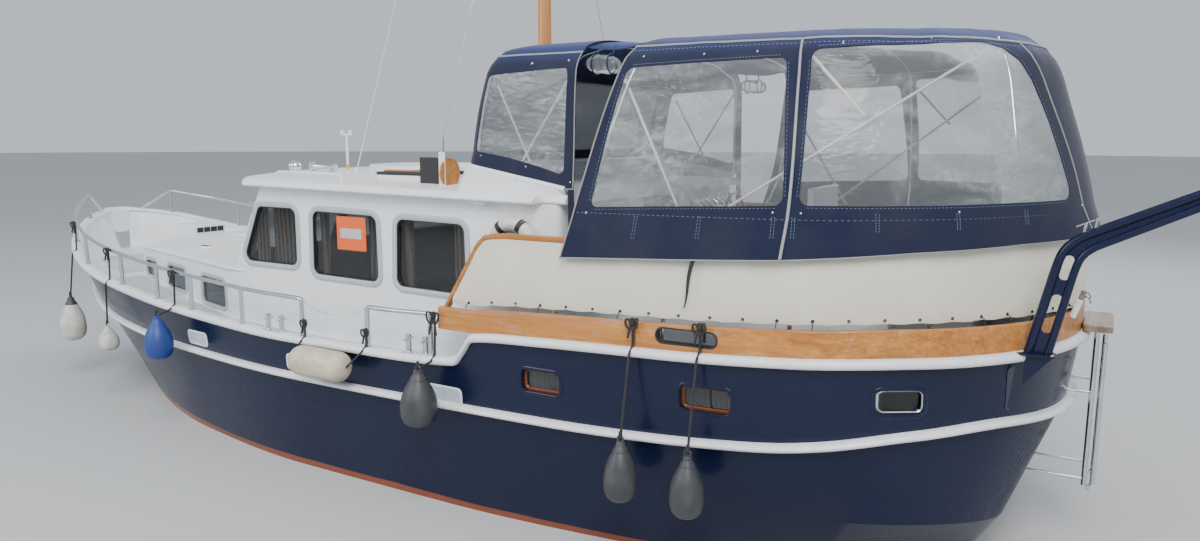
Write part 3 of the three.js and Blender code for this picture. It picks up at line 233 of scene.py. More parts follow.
def hull_lines(shares):
    """Points of the port side at each share of the length: an array of shares by levels by 3."""
    shares = np.asarray(shares, float)
    rounded = np.arccos(1 - 2 * shares)
    points = np.zeros((len(shares), len(LEVELS), 3))
    for level, (aft, fore, height, run) in enumerate(LEVELS):
        rows = [(math.acos(1 - 2 * row[0]), row[level + 1]) for row in HALF_BREADTHS]
        x = aft + (fore - aft) * shares
        if height is None:
            z = smooth_between(SHEER_HEIGHTS if level == SHEER else RUB_HEIGHTS, x)
        else:
            z = 0 * x + height
        z = z + FOREFOOT * np.maximum(0, (shares - 0.8) / 0.2) ** 2 * max(0, level - 2)
        z = z + run * np.maximum(0, 1 - shares / RUN_SHARE) ** 1.4
        points[:, level] = np.stack([x, smooth_between(rows, rounded), z], 1)
    return points


def level_y(level, x):
    """Half breadth of a level at x."""
    aft, fore = LEVELS[level][:2]
    share = np.clip((np.asarray(x, float) - aft) / (fore - aft), 0, 1)
    rows = [(math.acos(1 - 2 * row[0]), row[level + 1]) for row in HALF_BREADTHS]
    return smooth_between(rows, np.arccos(1 - 2 * share))


def deck_z(x):
    edge = sheer_z(x) - DECK_DROP
    return np.where(np.asarray(x) < STEP_X, edge, np.minimum(edge, FORE_DECK_Z))


def topside_y(x, z):
    """Half breadth of the hull at x and a height between the rubbing strake and the sheer."""
    rub = smooth_between(RUB_HEIGHTS, x)
    part = (z - rub) / (sheer_z(x) - rub)
    return level_y(RUB, x) + (level_y(SHEER, x) - level_y(RUB, x)) * part


def loft(rings, closed=False):
    """A closed form through rings of points that all run the same way round."""
    count = len(rings[0])
    corners = [tuple(float(c) for c in point) for ring in rings for point in ring]
    faces = []
    for r in range(len(rings) if closed else len(rings) - 1):
        a, b = r * count, (r + 1) % len(rings) * count
        faces += [(a + i, b + i, b + (i + 1) % count, a + (i + 1) % count) for i in range(count)]
    if not closed:
        faces += [tuple(range(count)), tuple(reversed(range(len(corners) - count, len(corners))))]
    return corners, faces


def box(x0, x1, y0, y1, z0, z1):
    return loft([[(x, y0, z0), (x, y1, z0), (x, y1, z1), (x, y0, z1)] for x in (x0, x1)])


def joined(*forms):
    """One form made of several."""
    corners, faces = [], []
    for more_corners, more_faces in forms:
        start = len(corners)
        corners += list(more_corners)
        faces += [tuple(start + i for i in face) for face in more_faces]
    return corners, faces


def mirrored(form):
    """The starboard twin of a port form."""
    return [(x, -y, z) for x, y, z in form[0]], [tuple(reversed(face)) for face in form[1]]


def both_sides(form):
    return joined(form, mirrored(form))


def mesh_object(name, form, materials=()):
    mesh = bpy.data.meshes.new(name)
    mesh.from_pydata(form[0], [], form[1])
    for each in materials:
        mesh.materials.append(each)
    made = bpy.data.objects.new(name, mesh)
    bpy.context.scene.collection.objects.link(made)
    return made


def outward_faces(made):
    """Turns every face outward, by the solver that also closed forms in several parts need."""
    held = bmesh.new()
    held.from_mesh(made.data)
    bmesh.ops.recalc_face_normals(held, faces=held.faces)
    held.to_mesh(made.data)
    held.free()


def piece(name, form, materials, body="boat", slot=None, bevel=0, smooth=40, stands_for=()):
    """A shown piece that rides on a body, with soft edges where bevel is given."""
    made = mesh_object(name, form, materials if isinstance(materials, (list, tuple)) else [materials])
    outward_faces(made)
    made.data.shade_smooth()
    made.data.set_sharp_from_angle(angle=math.radians(smooth))
    if bevel:
        edge = made.modifiers.new("soft edges", "BEVEL")
        edge.width = bevel
        edge.segments = 3
        edge.limit_method = "ANGLE"
        edge.angle_limit = math.radians(smooth)
        made.modifiers.new("flat faces", "WEIGHTED_NORMAL").keep_sharp = False
    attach(made, body)
    if stands_for:
        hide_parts(*stands_for)
    return made


def twins(name, form, materials, stands_for=(), **settings):
    """A port piece and its starboard twin; {side} in a name they stand for becomes their side."""
    made = []
    for side, each in (("port", form), ("starboard", mirrored(form))):
        nodes = [node_name.format(side=side) for node_name in stands_for]
        made.append(piece(f"{name}_{side}", each, materials, stands_for=nodes, **settings))
    return made


def settle(made):
    """Applies the piece's modifiers to its mesh."""
    bpy.context.view_layer.update()
    ready = made.evaluated_get(bpy.context.evaluated_depsgraph_get())
    mesh = bpy.data.meshes.new_from_object(ready)
    made.modifiers.clear()
    old, made.data = made.data, mesh
    bpy.data.meshes.remove(old)
    mesh.name = made.name


def carve(made, *tools, keep=False, smooth=40):
    """Cuts the tools out of a piece, or keeps only what lies inside them."""
    for number, form in enumerate(tools):
        tool = mesh_object(f"tool_{number}", form)
        outward_faces(tool)
        cut = made.modifiers.new("cut", "BOOLEAN")
        cut.operation = "INTERSECT" if keep else "DIFFERENCE"
        cut.solver = "EXACT"
        cut.object = tool
        settle(made)
        bpy.data.objects.remove(tool)
    made.data.shade_smooth()
    made.data.set_sharp_from_angle(angle=math.radians(smooth))


def paint_faces(made, choose):
    """Gives each face the material number that choose says for its centre and normal."""
    for face in made.data.polygons:
        face.material_index = choose(face.center, face.normal)


COLOUR, VALUE, VECTOR = "NodeSocketColor", "NodeSocketFloat", "NodeSocketVector"


def group(name, inputs):
    """An empty shader group for a finish: (its tree, input sockets, output node)."""
    made = bpy.data.node_groups.new(name, "ShaderNodeTree")
    for kind, label, value in inputs:
        made.interface.new_socket(label, in_out="INPUT", socket_type=kind).default_value = value
    for kind, label in ((COLOUR, "Color"), (VALUE, "Roughness"), (VALUE, "Height")):
        made.interface.new_socket(label, in_out="OUTPUT", socket_type=kind)
    return made, made.nodes.new("NodeGroupInput").outputs, made.nodes.new("NodeGroupOutput")


def give_out(tree, ends, colour, roughness, height):
    """Wires the three results of a finish to the group's output node."""
    for label, value in (("Color", colour), ("Roughness", roughness), ("Height", height)):
        tree.links.new(value, ends.inputs[label])


def finished(name, effect, values, bump, **settings):
    """A material whose colour, roughness and height come from a finish group with these values."""
    made, tree, shader = material(name, **settings)
    source = node(tree, "ShaderNodeGroup", node_tree=effect)
    for key, value in values.items():
        source.inputs[key].default_value = (*value, 1) if isinstance(value, tuple) else value
    tree.links.new(source.outputs["Color"], shader.inputs["Base Color"])
    tree.links.new(source.outputs["Roughness"], shader.inputs["Roughness"])
    raised = node(tree, "ShaderNodeBump",
                  {"Height": source.outputs["Height"], "Distance": bump, "Strength": 0.6})
    tree.links.new(raised.outputs[0], shader.inputs["Normal"])
    return made, tree, shader, source


# Painted steel: tone drifts over the plate, rain draws faint streaks and the skin is a little uneven
PAINT, given, ends = group("painted steel", [
    (COLOUR, "Paint", (1, 1, 1, 1)), (COLOUR, "Grime", (0.3, 0.26, 0.2, 1)), (VALUE, "Grime amount", 0.15),
    (VALUE, "Gloss", 0.3)])
place = place_of(PAINT)
drift = clouds(PAINT, place, 1.3, 5.0)
streak = clouds(PAINT, stretched(PAINT, place, (9, 9, 0.7)), 2.2, 6.0, Roughness=0.62)
speck = clouds(PAINT, place, 36.0, 4.0)
skin = clouds(PAINT, place, 5.5, 3.0)
mark = product(PAINT, ramped(PAINT, streak, 0.50, 0.78), ramped(PAINT, drift, 0.35, 0.75))
soil = product(PAINT, mark, given["Grime amount"], use_clamp=True)
shade = node(PAINT, "ShaderNodeMapRange", {0: drift, 1: 0.3, 2: 0.7, 3: 0.93, 4: 1.04}).outputs[0]
toned = blended(PAINT, 1.0, given["Paint"], shade, "MULTIPLY")
rough = product(PAINT, ramped(PAINT, speck, 0.3, 0.9), 0.16)
give_out(PAINT, ends, blended(PAINT, soil, toned, given["Grime"]), total(PAINT, given["Gloss"], rough),
         total(PAINT, skin, speck))


def paint(name, colour, grime=0.15, gloss=0.3, bump=0.0015, soiled=(0.30, 0.26, 0.20), **settings):
    values = {"Paint": colour, "Grime": soiled, "Grime amount": grime, "Gloss": gloss}
    return finished(name, PAINT, values, bump, **settings)


WHITE = paint("white enamel", (0.80, 0.82, 0.84), grime=0.28)[0]
NAVY, tree, shader, source = paint("navy enamel", (0.005, 0.009, 0.034), grime=0.06, gloss=0.18, bump=0.0009,
                                   soiled=(0.06, 0.07, 0.09), Specular_IOR_Level=0.32)
height = height_of(tree)
wash = node(tree, "ShaderNodeTexNoise", {"Scale": 7.0, "Detail": 6.0}).outputs[0]
wet_line = total(tree, product(tree, wash, 0.045), height, operation="SUBTRACT")
bottom = ramped(tree, wet_line, -0.032, -0.026)
red_lead = blended(tree, wash, (0.16, 0.035, 0.02, 1), (0.30, 0.09, 0.045, 1))
tree.links.new(blended(tree, bottom, source.outputs["Color"], red_lead), shader.inputs["Base Color"])

CLOSE_TO_STEP = np.linspace(0.322, 0.350, 15)
stations = np.unique(np.concatenate([(1 - np.cos(np.linspace(0, math.pi, 150))) / 2, CLOSE_TO_STEP]))
port = hull_lines(stations)
MIRROR = np.array([1, -1, 1])
hull_form = loft([np.concatenate([side, side[::-1] * MIRROR]) for side in port])
KEEL = [(-4.64, -0.905), (-4.64, -0.95), (2.6, -0.95), (3.7, -0.6), (3.7, -0.3), (-3.93, -0.3),
        (-3.93, -0.905)]
KEEL_HALF = 0.055
keel_form = loft([[(x, y, z) for x, z in KEEL] for y in (-KEEL_HALF, KEEL_HALF)])
WELL_TOP = 2.6
well_rings = []
for x in np.unique(np.concatenate([-5.52 + 10.97 * stations[8:-8], [STEP_X - 0.001, STEP_X + 0.001]])):
    foot, edge = float(deck_z(x)), float(sheer_z(x))
    low, high = float(topside_y(x, foot)) - BULWARK, float(level_y(SHEER, x)) - BULWARK
    half = [(x, high, WELL_TOP), (x, high, edge), (x, low, foot)]
    well_rings.append(half + [(px, -py, pz) for px, py, pz in reversed(half)])
deck_well = loft(well_rings)
saloon_well = box(-2.36, 1.03, -1.36, 1.36, 0.28, 2.0)
cabin_well = loft([[(1.1, -1.25, z), (3.05, -0.76, z), (3.05, 0.76, z), (1.1, 1.25, z)] for z in (0.28, 2.0)])
engine_well = box(-1.95, -0.25, -0.56, 0.56, -0.33, 0.32)


def rounded_corners(points, radius, steps=7):
    """A closed outline with each corner turned into an arc of that radius."""
    made = []
    for i, corner in enumerate(points):
        here, before, after = (np.array(p, float)
                               for p in (corner, points[i - 1], points[(i + 1) % len(points)]))
        into, out = before - here, after - here
        into, out = into / np.linalg.norm(into), out / np.linalg.norm(out)
        half = math.acos(max(-1, min(1, float(into @ out)))) / 2
        back = radius / math.tan(half)
        middle = here + (into + out) / np.linalg.norm(into + out) * (radius / math.sin(half))
        start, end = here + into * back - middle, here + out * back - middle
        turn = math.atan2(start[0] * end[1] - start[1] * end[0], float(start @ end))
        for s in np.linspace(0, 1, steps):
            c, sn = math.cos(turn * s), math.sin(turn * s)
            made.append((middle[0] + c * start[0] - sn * start[1], middle[1] + sn * start[0] + c * start[1]))
    return made


def rectangle(x0, x1, z0, z1):
    return [(x0, z0), (x1, z0), (x1, z1), (x0, z1)]


def pushed(outline, axis, low, high):
    """A flat outline in the two other axes, pushed along an axis from low to high."""
    return loft([[(*spot[:axis], at, *spot[axis:]) for spot in outline] for at in (low, high)])


HULL_WINDOWS = [
    # fore end, aft end, lower edge, upper edge, has curtains
    (-2.30, -2.61, 1.02, 1.18, True),
    (-3.45, -3.78, 1.075, 1.235, True),
    (-4.545, -4.79, 1.15, 1.305, False),
]
HULL_WINDOW_RADIUS = 0.045
POCKET_DEPTH = 0.075
pockets = []
for fore, aft, low, high, _ in HULL_WINDOWS:
    outline = rounded_corners(rectangle(aft, fore, low, high), HULL_WINDOW_RADIUS)
    pockets.append(both_sides(pushed(outline, 1, float(level_y(SHEER, aft)) - POCKET_DEPTH, 2.1)))
hull = piece("hull_plating", hull_form, [NAVY, WHITE], slot="navy_paint", stands_for=["hull"])
joiner = mesh_object("keel_tool", keel_form)
outward_faces(joiner)
union = hull.modifiers.new("keel", "BOOLEAN")
union.operation = "UNION"
union.solver = "EXACT"
union.object = joiner
settle(hull)
bpy.data.objects.remove(joiner)
carve(hull, deck_well, saloon_well, cabin_well, engine_well, *pockets, smooth=28)


def hull_side(centre, normal):
    """White on the decks and inside the bulwark, navy elsewhere."""
    above_deck = centre.z > max(0.95, float(deck_z(centre.x)) - 0.01)
    at_bow = centre.x > 4.5 and normal.x < -0.2
    return int(above_deck and (normal.z > 0.7 or normal.y * centre.y < 0 or at_bow))


paint_faces(hull, hull_side)

# Sheer strake: a steel bar with a rounded outer edge, welded on top of the bulwark all the way
# round and painted white. Fenders have scuffed it.
SCUFFED_WHITE = paint("scuffed white enamel", (0.80, 0.81, 0.83), grime=0.5, gloss=0.32,
                      soiled=(0.22, 0.19, 0.15))[0]
STRAKE = {"out": 0.048, "in": -0.053, "cap": 0.022, "drop": 0.038}


def outward_of(line, closed):
    """Unit directions in plan that point out of a line that runs forward on the port side."""
    before, after = np.roll(line, 1, 0), np.roll(line, -1, 0)
    if not closed:
        before[0], after[-1] = line[0], line[-1]
    run = (after - before)[:, :2]
    run = run / np.linalg.norm(run, axis=1)[:, None]
    return np.stack([-run[:, 1], run[:, 0]], 1)


def swept(line, section, closed, height_at=None):
    """A strip along a plan line, from (outward, up) offsets; height_at gives the height at each x."""
    out = outward_of(line, closed)
    rings = []
    for i, point in enumerate(line):
        offsets = section(i) if callable(section) else section
        ring = []
        for far, rise in offsets:
            x, y = point[:2] + out[i] * far
            ring.append((x, y, (float(height_at(x)) if height_at else point[2]) + rise))
        rings.append(ring)
    return loft(rings, closed)


def all_round(port_line):
    return np.concatenate([port_line, port_line[::-1] * MIRROR])


strake_section = [(STRAKE["in"], -0.004), (STRAKE["in"], 0.016), (-0.046, STRAKE["cap"]),
                  (0.016, STRAKE["cap"]),
                  (0.030, 0.018), (0.041, 0.010), (0.047, -0.002), (STRAKE["out"], -0.012), (0.045, -0.024),
                  (0.036, -0.034), (0.022, -STRAKE["drop"]), (0.004, -STRAKE["drop"]), (0.004, -0.004)]
piece("sheer_strake_bar", swept(all_round(port[:, SHEER]), strake_section, True, sheer_z), SCUFFED_WHITE,
      slot="white_paint", smooth=50, stands_for=["sheer_strake"])

# Rubbing strake: a half-round steel pipe welded along the knuckle below the deck, painted white
# and scuffed along its length.
RUB_HALF, RUB_OUT = 0.028, 0.060
rub_line = port[:, RUB]
lean = np.hypot(*(port[:, SHEER] - port[:, RUB])[:, :2].T) / (port[:, SHEER] - port[:, RUB])[:, 2]
lean = np.concatenate([lean, lean[::-1]])


def rub_section(i):
    """Half a circle that leans with the plate above it."""
    turns = np.linspace(math.pi / 2, -math.pi / 2, 11)
    arc = [(RUB_OUT * math.cos(a) + lean[i] * max(0, RUB_HALF * math.sin(a)), RUB_HALF * math.sin(a))
           for a in turns]
    return [*arc, (-0.008, -RUB_HALF), (-0.008, RUB_HALF)]


piece("rubbing_strake", swept(all_round(rub_line), rub_section, True), SCUFFED_WHITE, slot="white_paint",
      smooth=50, stands_for=["rub_rail"])

# Hull windows: three small lights a side in pressed recesses. The two fore ones have a varnished
# inner frame and a pale curtain, and the aft one has a bright trim.


def rim(outline, section, axis, at=0.0):
    """A frame along a closed flat outline; section rows are (outward, along the axis) offsets."""
    line = np.array(outline, float)
    run = np.roll(line, -1, 0) - np.roll(line, 1, 0)
    run /= np.linalg.norm(run, axis=1)[:, None]
    after = np.roll(line, -1, 0)
    turn = np.sign(np.sum(line[:, 0] * after[:, 1] - line[:, 1] * after[:, 0]))
    away = np.stack([run[:, 1], -run[:, 0]], 1) * turn
    rings = []
    for point, out in zip(line, away):
        spots = [(*(point + out * far), at + rise) for far, rise in section]
        rings.append([(*spot[:axis], spot[2], *spot[axis:2]) for spot in spots])
    return loft(rings, closed=True)


def shifted(form, how):
    """The form with each corner moved as how says."""
    return [how(*corner) for corner in form[0]], form[1]


# Varnished wood: fine grain along x of the given place, with patches worn down to bare grey
WOOD, given, ends = group("varnished wood", [
    (VECTOR, "Place", (0, 0, 0)), (COLOUR, "Light", (0.5, 0.2, 0.06, 1)),
    (COLOUR, "Dark", (0.2, 0.06, 0.015, 1)),
    (COLOUR, "Bare", (0.36, 0.30, 0.24, 1)), (VALUE, "Bare amount", 0.3), (VALUE, "Gloss", 0.25)])
long_grain = stretched(WOOD, given["Place"], (0.6, 13, 13))
grain = clouds(WOOD, long_grain, 5.0, 9.0, Roughness=0.65)
figure = clouds(WOOD, long_grain, 1.1, 3.0, Distortion=0.6)
patches = clouds(WOOD, stretched(WOOD, given["Place"], (3, 16, 16)), 1.6, 7.0, Roughness=0.7)
worn = product(WOOD, ramped(WOOD, patches, 0.58, 0.66), given["Bare amount"])
stained = blended(WOOD, ramped(WOOD, product(WOOD, grain, figure), 0.12, 0.42), given["Dark"], given["Light"])
give_out(WOOD, ends, blended(WOOD, worn, stained, given["Bare"]), total(WOOD, given["Gloss"], worn), grain)


def wood(name, light, dark, worn_share=0.3, gloss=0.25, along="x"):
    """A varnished wood with its grain along an axis."""
    values = {"Light": light, "Dark": dark, "Bare amount": worn_share, "Gloss": gloss}
    made, tree, _, source = finished(name, WOOD, values, 0.0012)
    turn = {"x": (0, 0, 0), "y": (0, 0, math.pi / 2), "z": (0, math.pi / 2, 0)}[along]
    turned_place = node(tree, "ShaderNodeMapping", {"Vector": place_of(tree), "Rotation": turn}).outputs[0]
    tree.links.new(turned_place, source.inputs["Place"])
    return made


TEAK = wood("orange teak", (0.60, 0.27, 0.065), (0.33, 0.115, 0.024), worn_share=0.6)
MAHOGANY = wood("mahogany", (0.30, 0.10, 0.035), (0.12, 0.032, 0.012), worn_share=0.2)

# Bright metal: rubbed and spotted, duller where it is touched
METAL, given, ends = group("bright metal", [
    (COLOUR, "Metal", (0.7, 0.7, 0.7, 1)), (COLOUR, "Tarnish", (0.28, 0.25, 0.2, 1)),
    (VALUE, "Tarnish amount", 0.2), (VALUE, "Gloss", 0.2)])
place = place_of(METAL)
blotch = clouds(METAL, place, 14.0, 6.0)
rubbed = clouds(METAL, place, 90.0, 4.0)
dulled = product(METAL, ramped(METAL, blotch, 0.45, 0.75), given["Tarnish amount"])
give_out(METAL, ends, blended(METAL, dulled, given["Metal"], given["Tarnish"]),
         total(METAL, given["Gloss"], product(METAL, rubbed, 0.22)), rubbed)


def metal(name, colour, tarnish=0.2, gloss=0.12, spoiled=(0.28, 0.25, 0.20)):
    values = {"Metal": colour, "Tarnish": spoiled, "Tarnish amount": tarnish, "Gloss": gloss}
    return finished(name, METAL, values, 0.0003, Metallic=1.0)[0]


STEEL = metal("stainless steel", (0.66, 0.67, 0.68))
ALUMINIUM = paint("grey window frame", (0.42, 0.46, 0.50), grime=0.25, gloss=0.35)[0]

# Cloth: a plain weave, faded in drifting patches
CLOTH, given, ends = group("woven cloth", [
    (COLOUR, "Dye", (0.5, 0.5, 0.5, 1)), (COLOUR, "Faded", (0.6, 0.6, 0.6, 1)), (VALUE, "Fading", 0.3),
    (VALUE, "Threads", 900.0)])
place = place_of(CLOTH)
drift = clouds(CLOTH, place, 2.4, 6.0, Roughness=0.6)
threads = []
for way in ("X", "Z"):
    wave = node(CLOTH, "ShaderNodeTexWave", {"Vector": place, "Distortion": 0.4}, bands_direction=way)
    CLOTH.links.new(given["Threads"], wave.inputs["Scale"])
    threads.append(wave.outputs[1])
fading = product(CLOTH, ramped(CLOTH, drift, 0.35, 0.7), given["Fading"])
give_out(CLOTH, ends, blended(CLOTH, fading, given["Dye"], given["Faded"]), total(CLOTH, drift, 0.35),
         product(CLOTH, *threads))


def cloth(name, dye, faded, fading=0.4, sheen=0.2):
    values = {"Dye": dye, "Faded": faded, "Fading": fading, "Threads": 180.0}
    return finished(name, CLOTH, values, 0.0004, Sheen_Weight=sheen, Sheen_Roughness=0.4)


PALE_CURTAIN = cloth("pale curtain", (0.50, 0.51, 0.50), (0.36, 0.36, 0.35), fading=0.8)[0]


def gathered(x0, x1, z0, z1, folds, deep):
    """An open sheet that hangs in folds between x0 and x1, about y = 0."""
    xs = np.linspace(x0, x1, folds * 8 + 1)
    zs = np.linspace(z0, z1, 9)
    corners = []
    for z in zs:
        for x in xs:
            phase = math.tau * folds * (x - x0) / (x1 - x0)
            corners.append((x, deep * math.sin(phase + 0.5 * math.sin(6 * z)), z))
    wide = len(xs)
    faces = [(r * wide + c, r * wide + c + 1, (r + 1) * wide + c + 1, (r + 1) * wide + c)
             for r in range(len(zs) - 1) for c in range(wide - 1)]
    return corners, faces


# Tinted window glass, dimmed a little by a thin film of dust
DARK_GLASS, tree, shader = material("tinted glass", IOR=1.45, Metallic=0.0, Transmission_Weight=1.0)
dust = node(tree, "ShaderNodeTexNoise", {"Scale": 6.0, "Detail": 6.0}).outputs[0]
film = ramped(tree, dust, 0.2, 1.0)
tree.links.new(blended(tree, film, (0.42, 0.45, 0.46, 1), (0.336, 0.36, 0.368, 1)),
               shader.inputs["Base Color"])
tree.links.new(total(tree, 0.03, product(tree, film, 0.05)), shader.inputs["Roughness"])


def on_side(depth=0.0):
    """Moves a form from the plane y = 0 to the topside, that far inboard of the plating."""
    return lambda x, y, z: (x, float(topside_y(x, z)) - depth + y, z)


LIP = [(-0.005, -0.03), (-0.005, 0.003), (0.001, 0.007), (0.011, 0.007), (0.018, 0.002), (0.019, -0.03)]
INNER_FRAME = [(-0.003, -0.056), (-0.003, -0.034), (-0.018, -0.031), (-0.023, -0.036), (-0.023, -0.056)]
BRIGHT_TRIM = [(-0.003, -0.044), (-0.003, -0.030), (-0.012, -0.026), (-0.019, -0.031), (-0.019, -0.044)]
lips, frames, trims, panes = [], [], [], []
for number, (fore, aft, low, high, curtained) in enumerate(HULL_WINDOWS):
    outline = rounded_corners(rectangle(aft, fore, low, high), HULL_WINDOW_RADIUS)
    lips.append(shifted(rim(outline, LIP, 1), on_side()))
    surround = shifted(rim(outline, INNER_FRAME if curtained else BRIGHT_TRIM, 1), on_side())
    (frames if curtained else trims).append(surround)
    panes.append(shifted(pushed(outline, 1, -0.046, -0.042), on_side()))
    if curtained:
        hung = gathered(aft + 0.02, fore - 0.02, low + 0.012, high - 0.012, 9, 0.0035)
        for made in twins(f"hull_curtain_{number + 1}", shifted(hung, on_side(0.060)), PALE_CURTAIN):
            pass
piece("hull_window_lips", both_sides(joined(*lips)), NAVY, slot="navy_paint")
piece("hull_window_frames", both_sides(joined(*frames)), MAHOGANY, slot="varnished_wood")
piece("hull_window_trim", both_sides(joined(*trims)), STEEL, slot="stainless")
piece("hull_window_glass", both_sides(joined(*panes)), DARK_GLASS, slot="window_glass")

# Plank: a thick varnished teak board on edge, bolted to the strake all round the aft deck, with an
# iron-lined fairlead slot on each side. The varnish has worn off in grey patches.
PLANK = {"fore": -1.60, "thick": 0.042, "height": 0.158}
FAIRLEAD = (-3.69, -3.30, 1.478, 1.574)


def aft_line(fore, offset):
    """Plan line from starboard round the stern to port, offset outward from the sheer line."""
    line = port[:, SHEER].copy()
    line[:, :2] += outward_of(line, False) * offset
    end_y = float(level_y(SHEER, fore)) + offset
    half = np.concatenate([line[line[:, 0] < fore - 0.01], [[fore, end_y, 0]]])
    return np.concatenate([half[::-1] * MIRROR, half])


def plank_foot(x):
    return sheer_z(np.minimum(x, -1.91)) + STRAKE["cap"]


def edge_rounded(inner, outer, low, high, soft):
    """A section of four sides with its corners cut back a little."""
    return [(outer, low), (outer, high - soft), (outer - 0.4 * soft, high - 0.3 * soft), (outer - soft, high),
            (inner + soft, high), (inner + 0.4 * soft, high - 0.3 * soft), (inner, high - soft), (inner, low)]


plank_section = edge_rounded(-PLANK["thick"], 0, 0.0005, PLANK["height"], 0.007)
plank = piece("teak_plank", swept(aft_line(PLANK["fore"], 0), plank_section, False, plank_foot), TEAK,
              slot="varnished_wood", stands_for=["wood_plank"])
slot_outline = rounded_corners(rectangle(*FAIRLEAD), 0.045)
carve(plank, both_sides(pushed(slot_outline, 1, 1.6, 2.1)))
LINING = [(0.004, -0.046), (0.004, 0.003), (-0.006, 0.005), (-0.008, 0.0), (-0.008, -0.046)]
slot_lining = rim(slot_outline, LINING, 1)
IRON = paint("black iron", (0.018, 0.018, 0.02), grime=0.5, gloss=0.42, soiled=(0.10, 0.05, 0.03))[0]


def on_plank(x, y, z):
    return x, float(level_y(SHEER, x)) + y, z


piece("fairlead_linings", both_sides(shifted(slot_lining, on_plank)), IRON, slot="dark_steel")

# Handrail of the aft deck: a flat varnished rail on stainless posts, which slopes down to the plank
# at its fore ends.
RAIL_TOP = [
    # x, height
    (-5.60, 2.195), (-4.70, 2.150), (-4.00, 2.095), (-2.60, 2.062), (-2.06, 2.060), (-1.94, 2.040),
    (-1.87, 1.975), (-1.706, 1.715), (-1.53, 1.440),
]
DODGER = {"fore": -1.66, "rail_fore": -1.53, "offset": -0.095, "rail": 0.038}


def rail_top(x):
    return np.interp(x, *np.array(RAIL_TOP).T)


def stern_reach(y):
    """How far aft of the sheer line the rail and the canvas stand at the stern."""
    return 0.09 * np.maximum(0, 1 - np.abs(y) ** 2)


def reaching_line(fore, offset):
    line = aft_line(fore, offset)
    line[:, 0] -= stern_reach(line[:, 1])
    return line


def rod(points, radius, sides=10, bend=0.0, closed=False):
    """A round bar along points, with its corners bent that far back from each corner."""
    spots = [Vector(p) for p in points]
    line = []
    for i, spot in enumerate(spots):
        inner = closed or 0 < i < len(spots) - 1
        if not (bend and inner):
            line.append(spot)
            continue
        before, after = spots[i - 1] - spot, spots[(i + 1) % len(spots)] - spot
        into = before.normalized() * min(bend, 0.48 * before.length)
        out = after.normalized() * min(bend, 0.48 * after.length)
        for s in np.linspace(0, 1, 6):
            line.append(spot + into * (1 - s) ** 2 + out * s**2)
    count = len(line)
    last = count - 1
    side = None
    rings = []
    for i, spot in enumerate(line):
        before = line[i - 1] if closed or i else spot
        after = line[(i + 1) % count] if closed or i < last else spot
        ahead = (after - before).normalized()
        side = ahead.orthogonal() if side is None else side - ahead * side.dot(ahead)
        side.normalize()
        other = ahead.cross(side)
        wide = radius(i / last) if callable(radius) else radius
        rings.append([tuple(spot + wide * (math.cos(a) * side + math.sin(a) * other))
                      for a in np.linspace(0, math.tau, sides, endpoint=False)])
    return loft(rings, closed)


def turned(profile, foot, direction=(0, 0, 1), sides=28):
    """A form turned on a lathe: rows are (distance along, radius) from foot along direction."""
    ahead = Vector(direction).normalized()
    side = ahead.orthogonal().normalized()
    other = ahead.cross(side)
    rings = []
    for along, radius in profile:
        centre = Vector(foot) + ahead * along
        wide = max(radius, 0.0003)
        rings.append([tuple(centre + wide * (math.cos(a) * side + math.sin(a) * other))
                      for a in np.linspace(0, math.tau, sides, endpoint=False)])
    return loft(rings)


def spaced(line, apart):
    """Points along a plan line, that far apart, from its middle to both ends."""
    walked = np.concatenate([[0], np.cumsum(np.linalg.norm(np.diff(line[:, :2], axis=0), axis=1))])
    half = walked[-1] / 2
    count = int(half / apart)
    marks = half + apart * np.arange(-count, count + 1)
    return np.stack([np.interp(marks, walked, line[:, axis]) for axis in (0, 1)], 1)


rail_line = reaching_line(DODGER["rail_fore"], -0.115)
slopes = np.gradient(rail_top(rail_line[:, 0]), rail_line[:, 0] + 1e-9 * np.arange(len(rail_line)))


def rail_section(i):
    """A flat rail with soft edges, kept as thick where it slopes."""
    deep = DODGER["rail"] * (1 + min(1.0, 0.3 * abs(slopes[i]) ** 1.5))
    return [(-0.028, 0.010 - deep), (-0.028, -0.010), (-0.019, 0), (0.019, 0), (0.028, -0.010),
            (0.028, 0.010 - deep), (0.020, -deep), (-0.020, -deep)]


piece("aft_handrail", swept(rail_line, rail_section, False, rail_top), TEAK, slot="varnished_wood",
      stands_for=["aft_rail"])
POST = 0.014
posts = []
for x, y in spaced(aft_line(DODGER["fore"] - 0.1, -0.117), 0.78):
    foot = float(deck_z(x))
    head = (x - float(stern_reach(y)), y, float(rail_top(x)) - 0.046)
    posts.append(rod([(x, y, foot - 0.002), (*head[:2], head[2] + 0.014)], POST))
    posts.append(turned([(0, 0.034), (0.006, 0.034), (0.009, 0.022), (0.016, 0.018)], (x, y, foot)))
    posts.append(turned([(0, 0.024), (0.004, 0.024), (0.008, 0.016)], head))
piece("handrail_posts", joined(*posts), STEEL, slot="stainless")

# Dodger: a band of cream canvas stretched from the handrail down to the plank, with seams, a
# stitched hem and black eyelets that short lashings hold down.
CREAM = cloth("cream canvas", (0.74, 0.71, 0.60), (0.64, 0.61, 0.50), fading=0.55, sheen=0.1)[0]
dodger_line = reaching_line(DODGER["fore"], DODGER["offset"])
walked = np.concatenate([[0], np.cumsum(np.linalg.norm(np.diff(dodger_line[:, :2], axis=0), axis=1))])
dodger_out = outward_of(dodger_line, False)
EYELET_APART = 0.2
DODGER_SEAMS = (-2.33, -3.62, -4.84, -5.23)


def dodger_foot(x):
    return plank_foot(x) + PLANK["height"] + 0.014


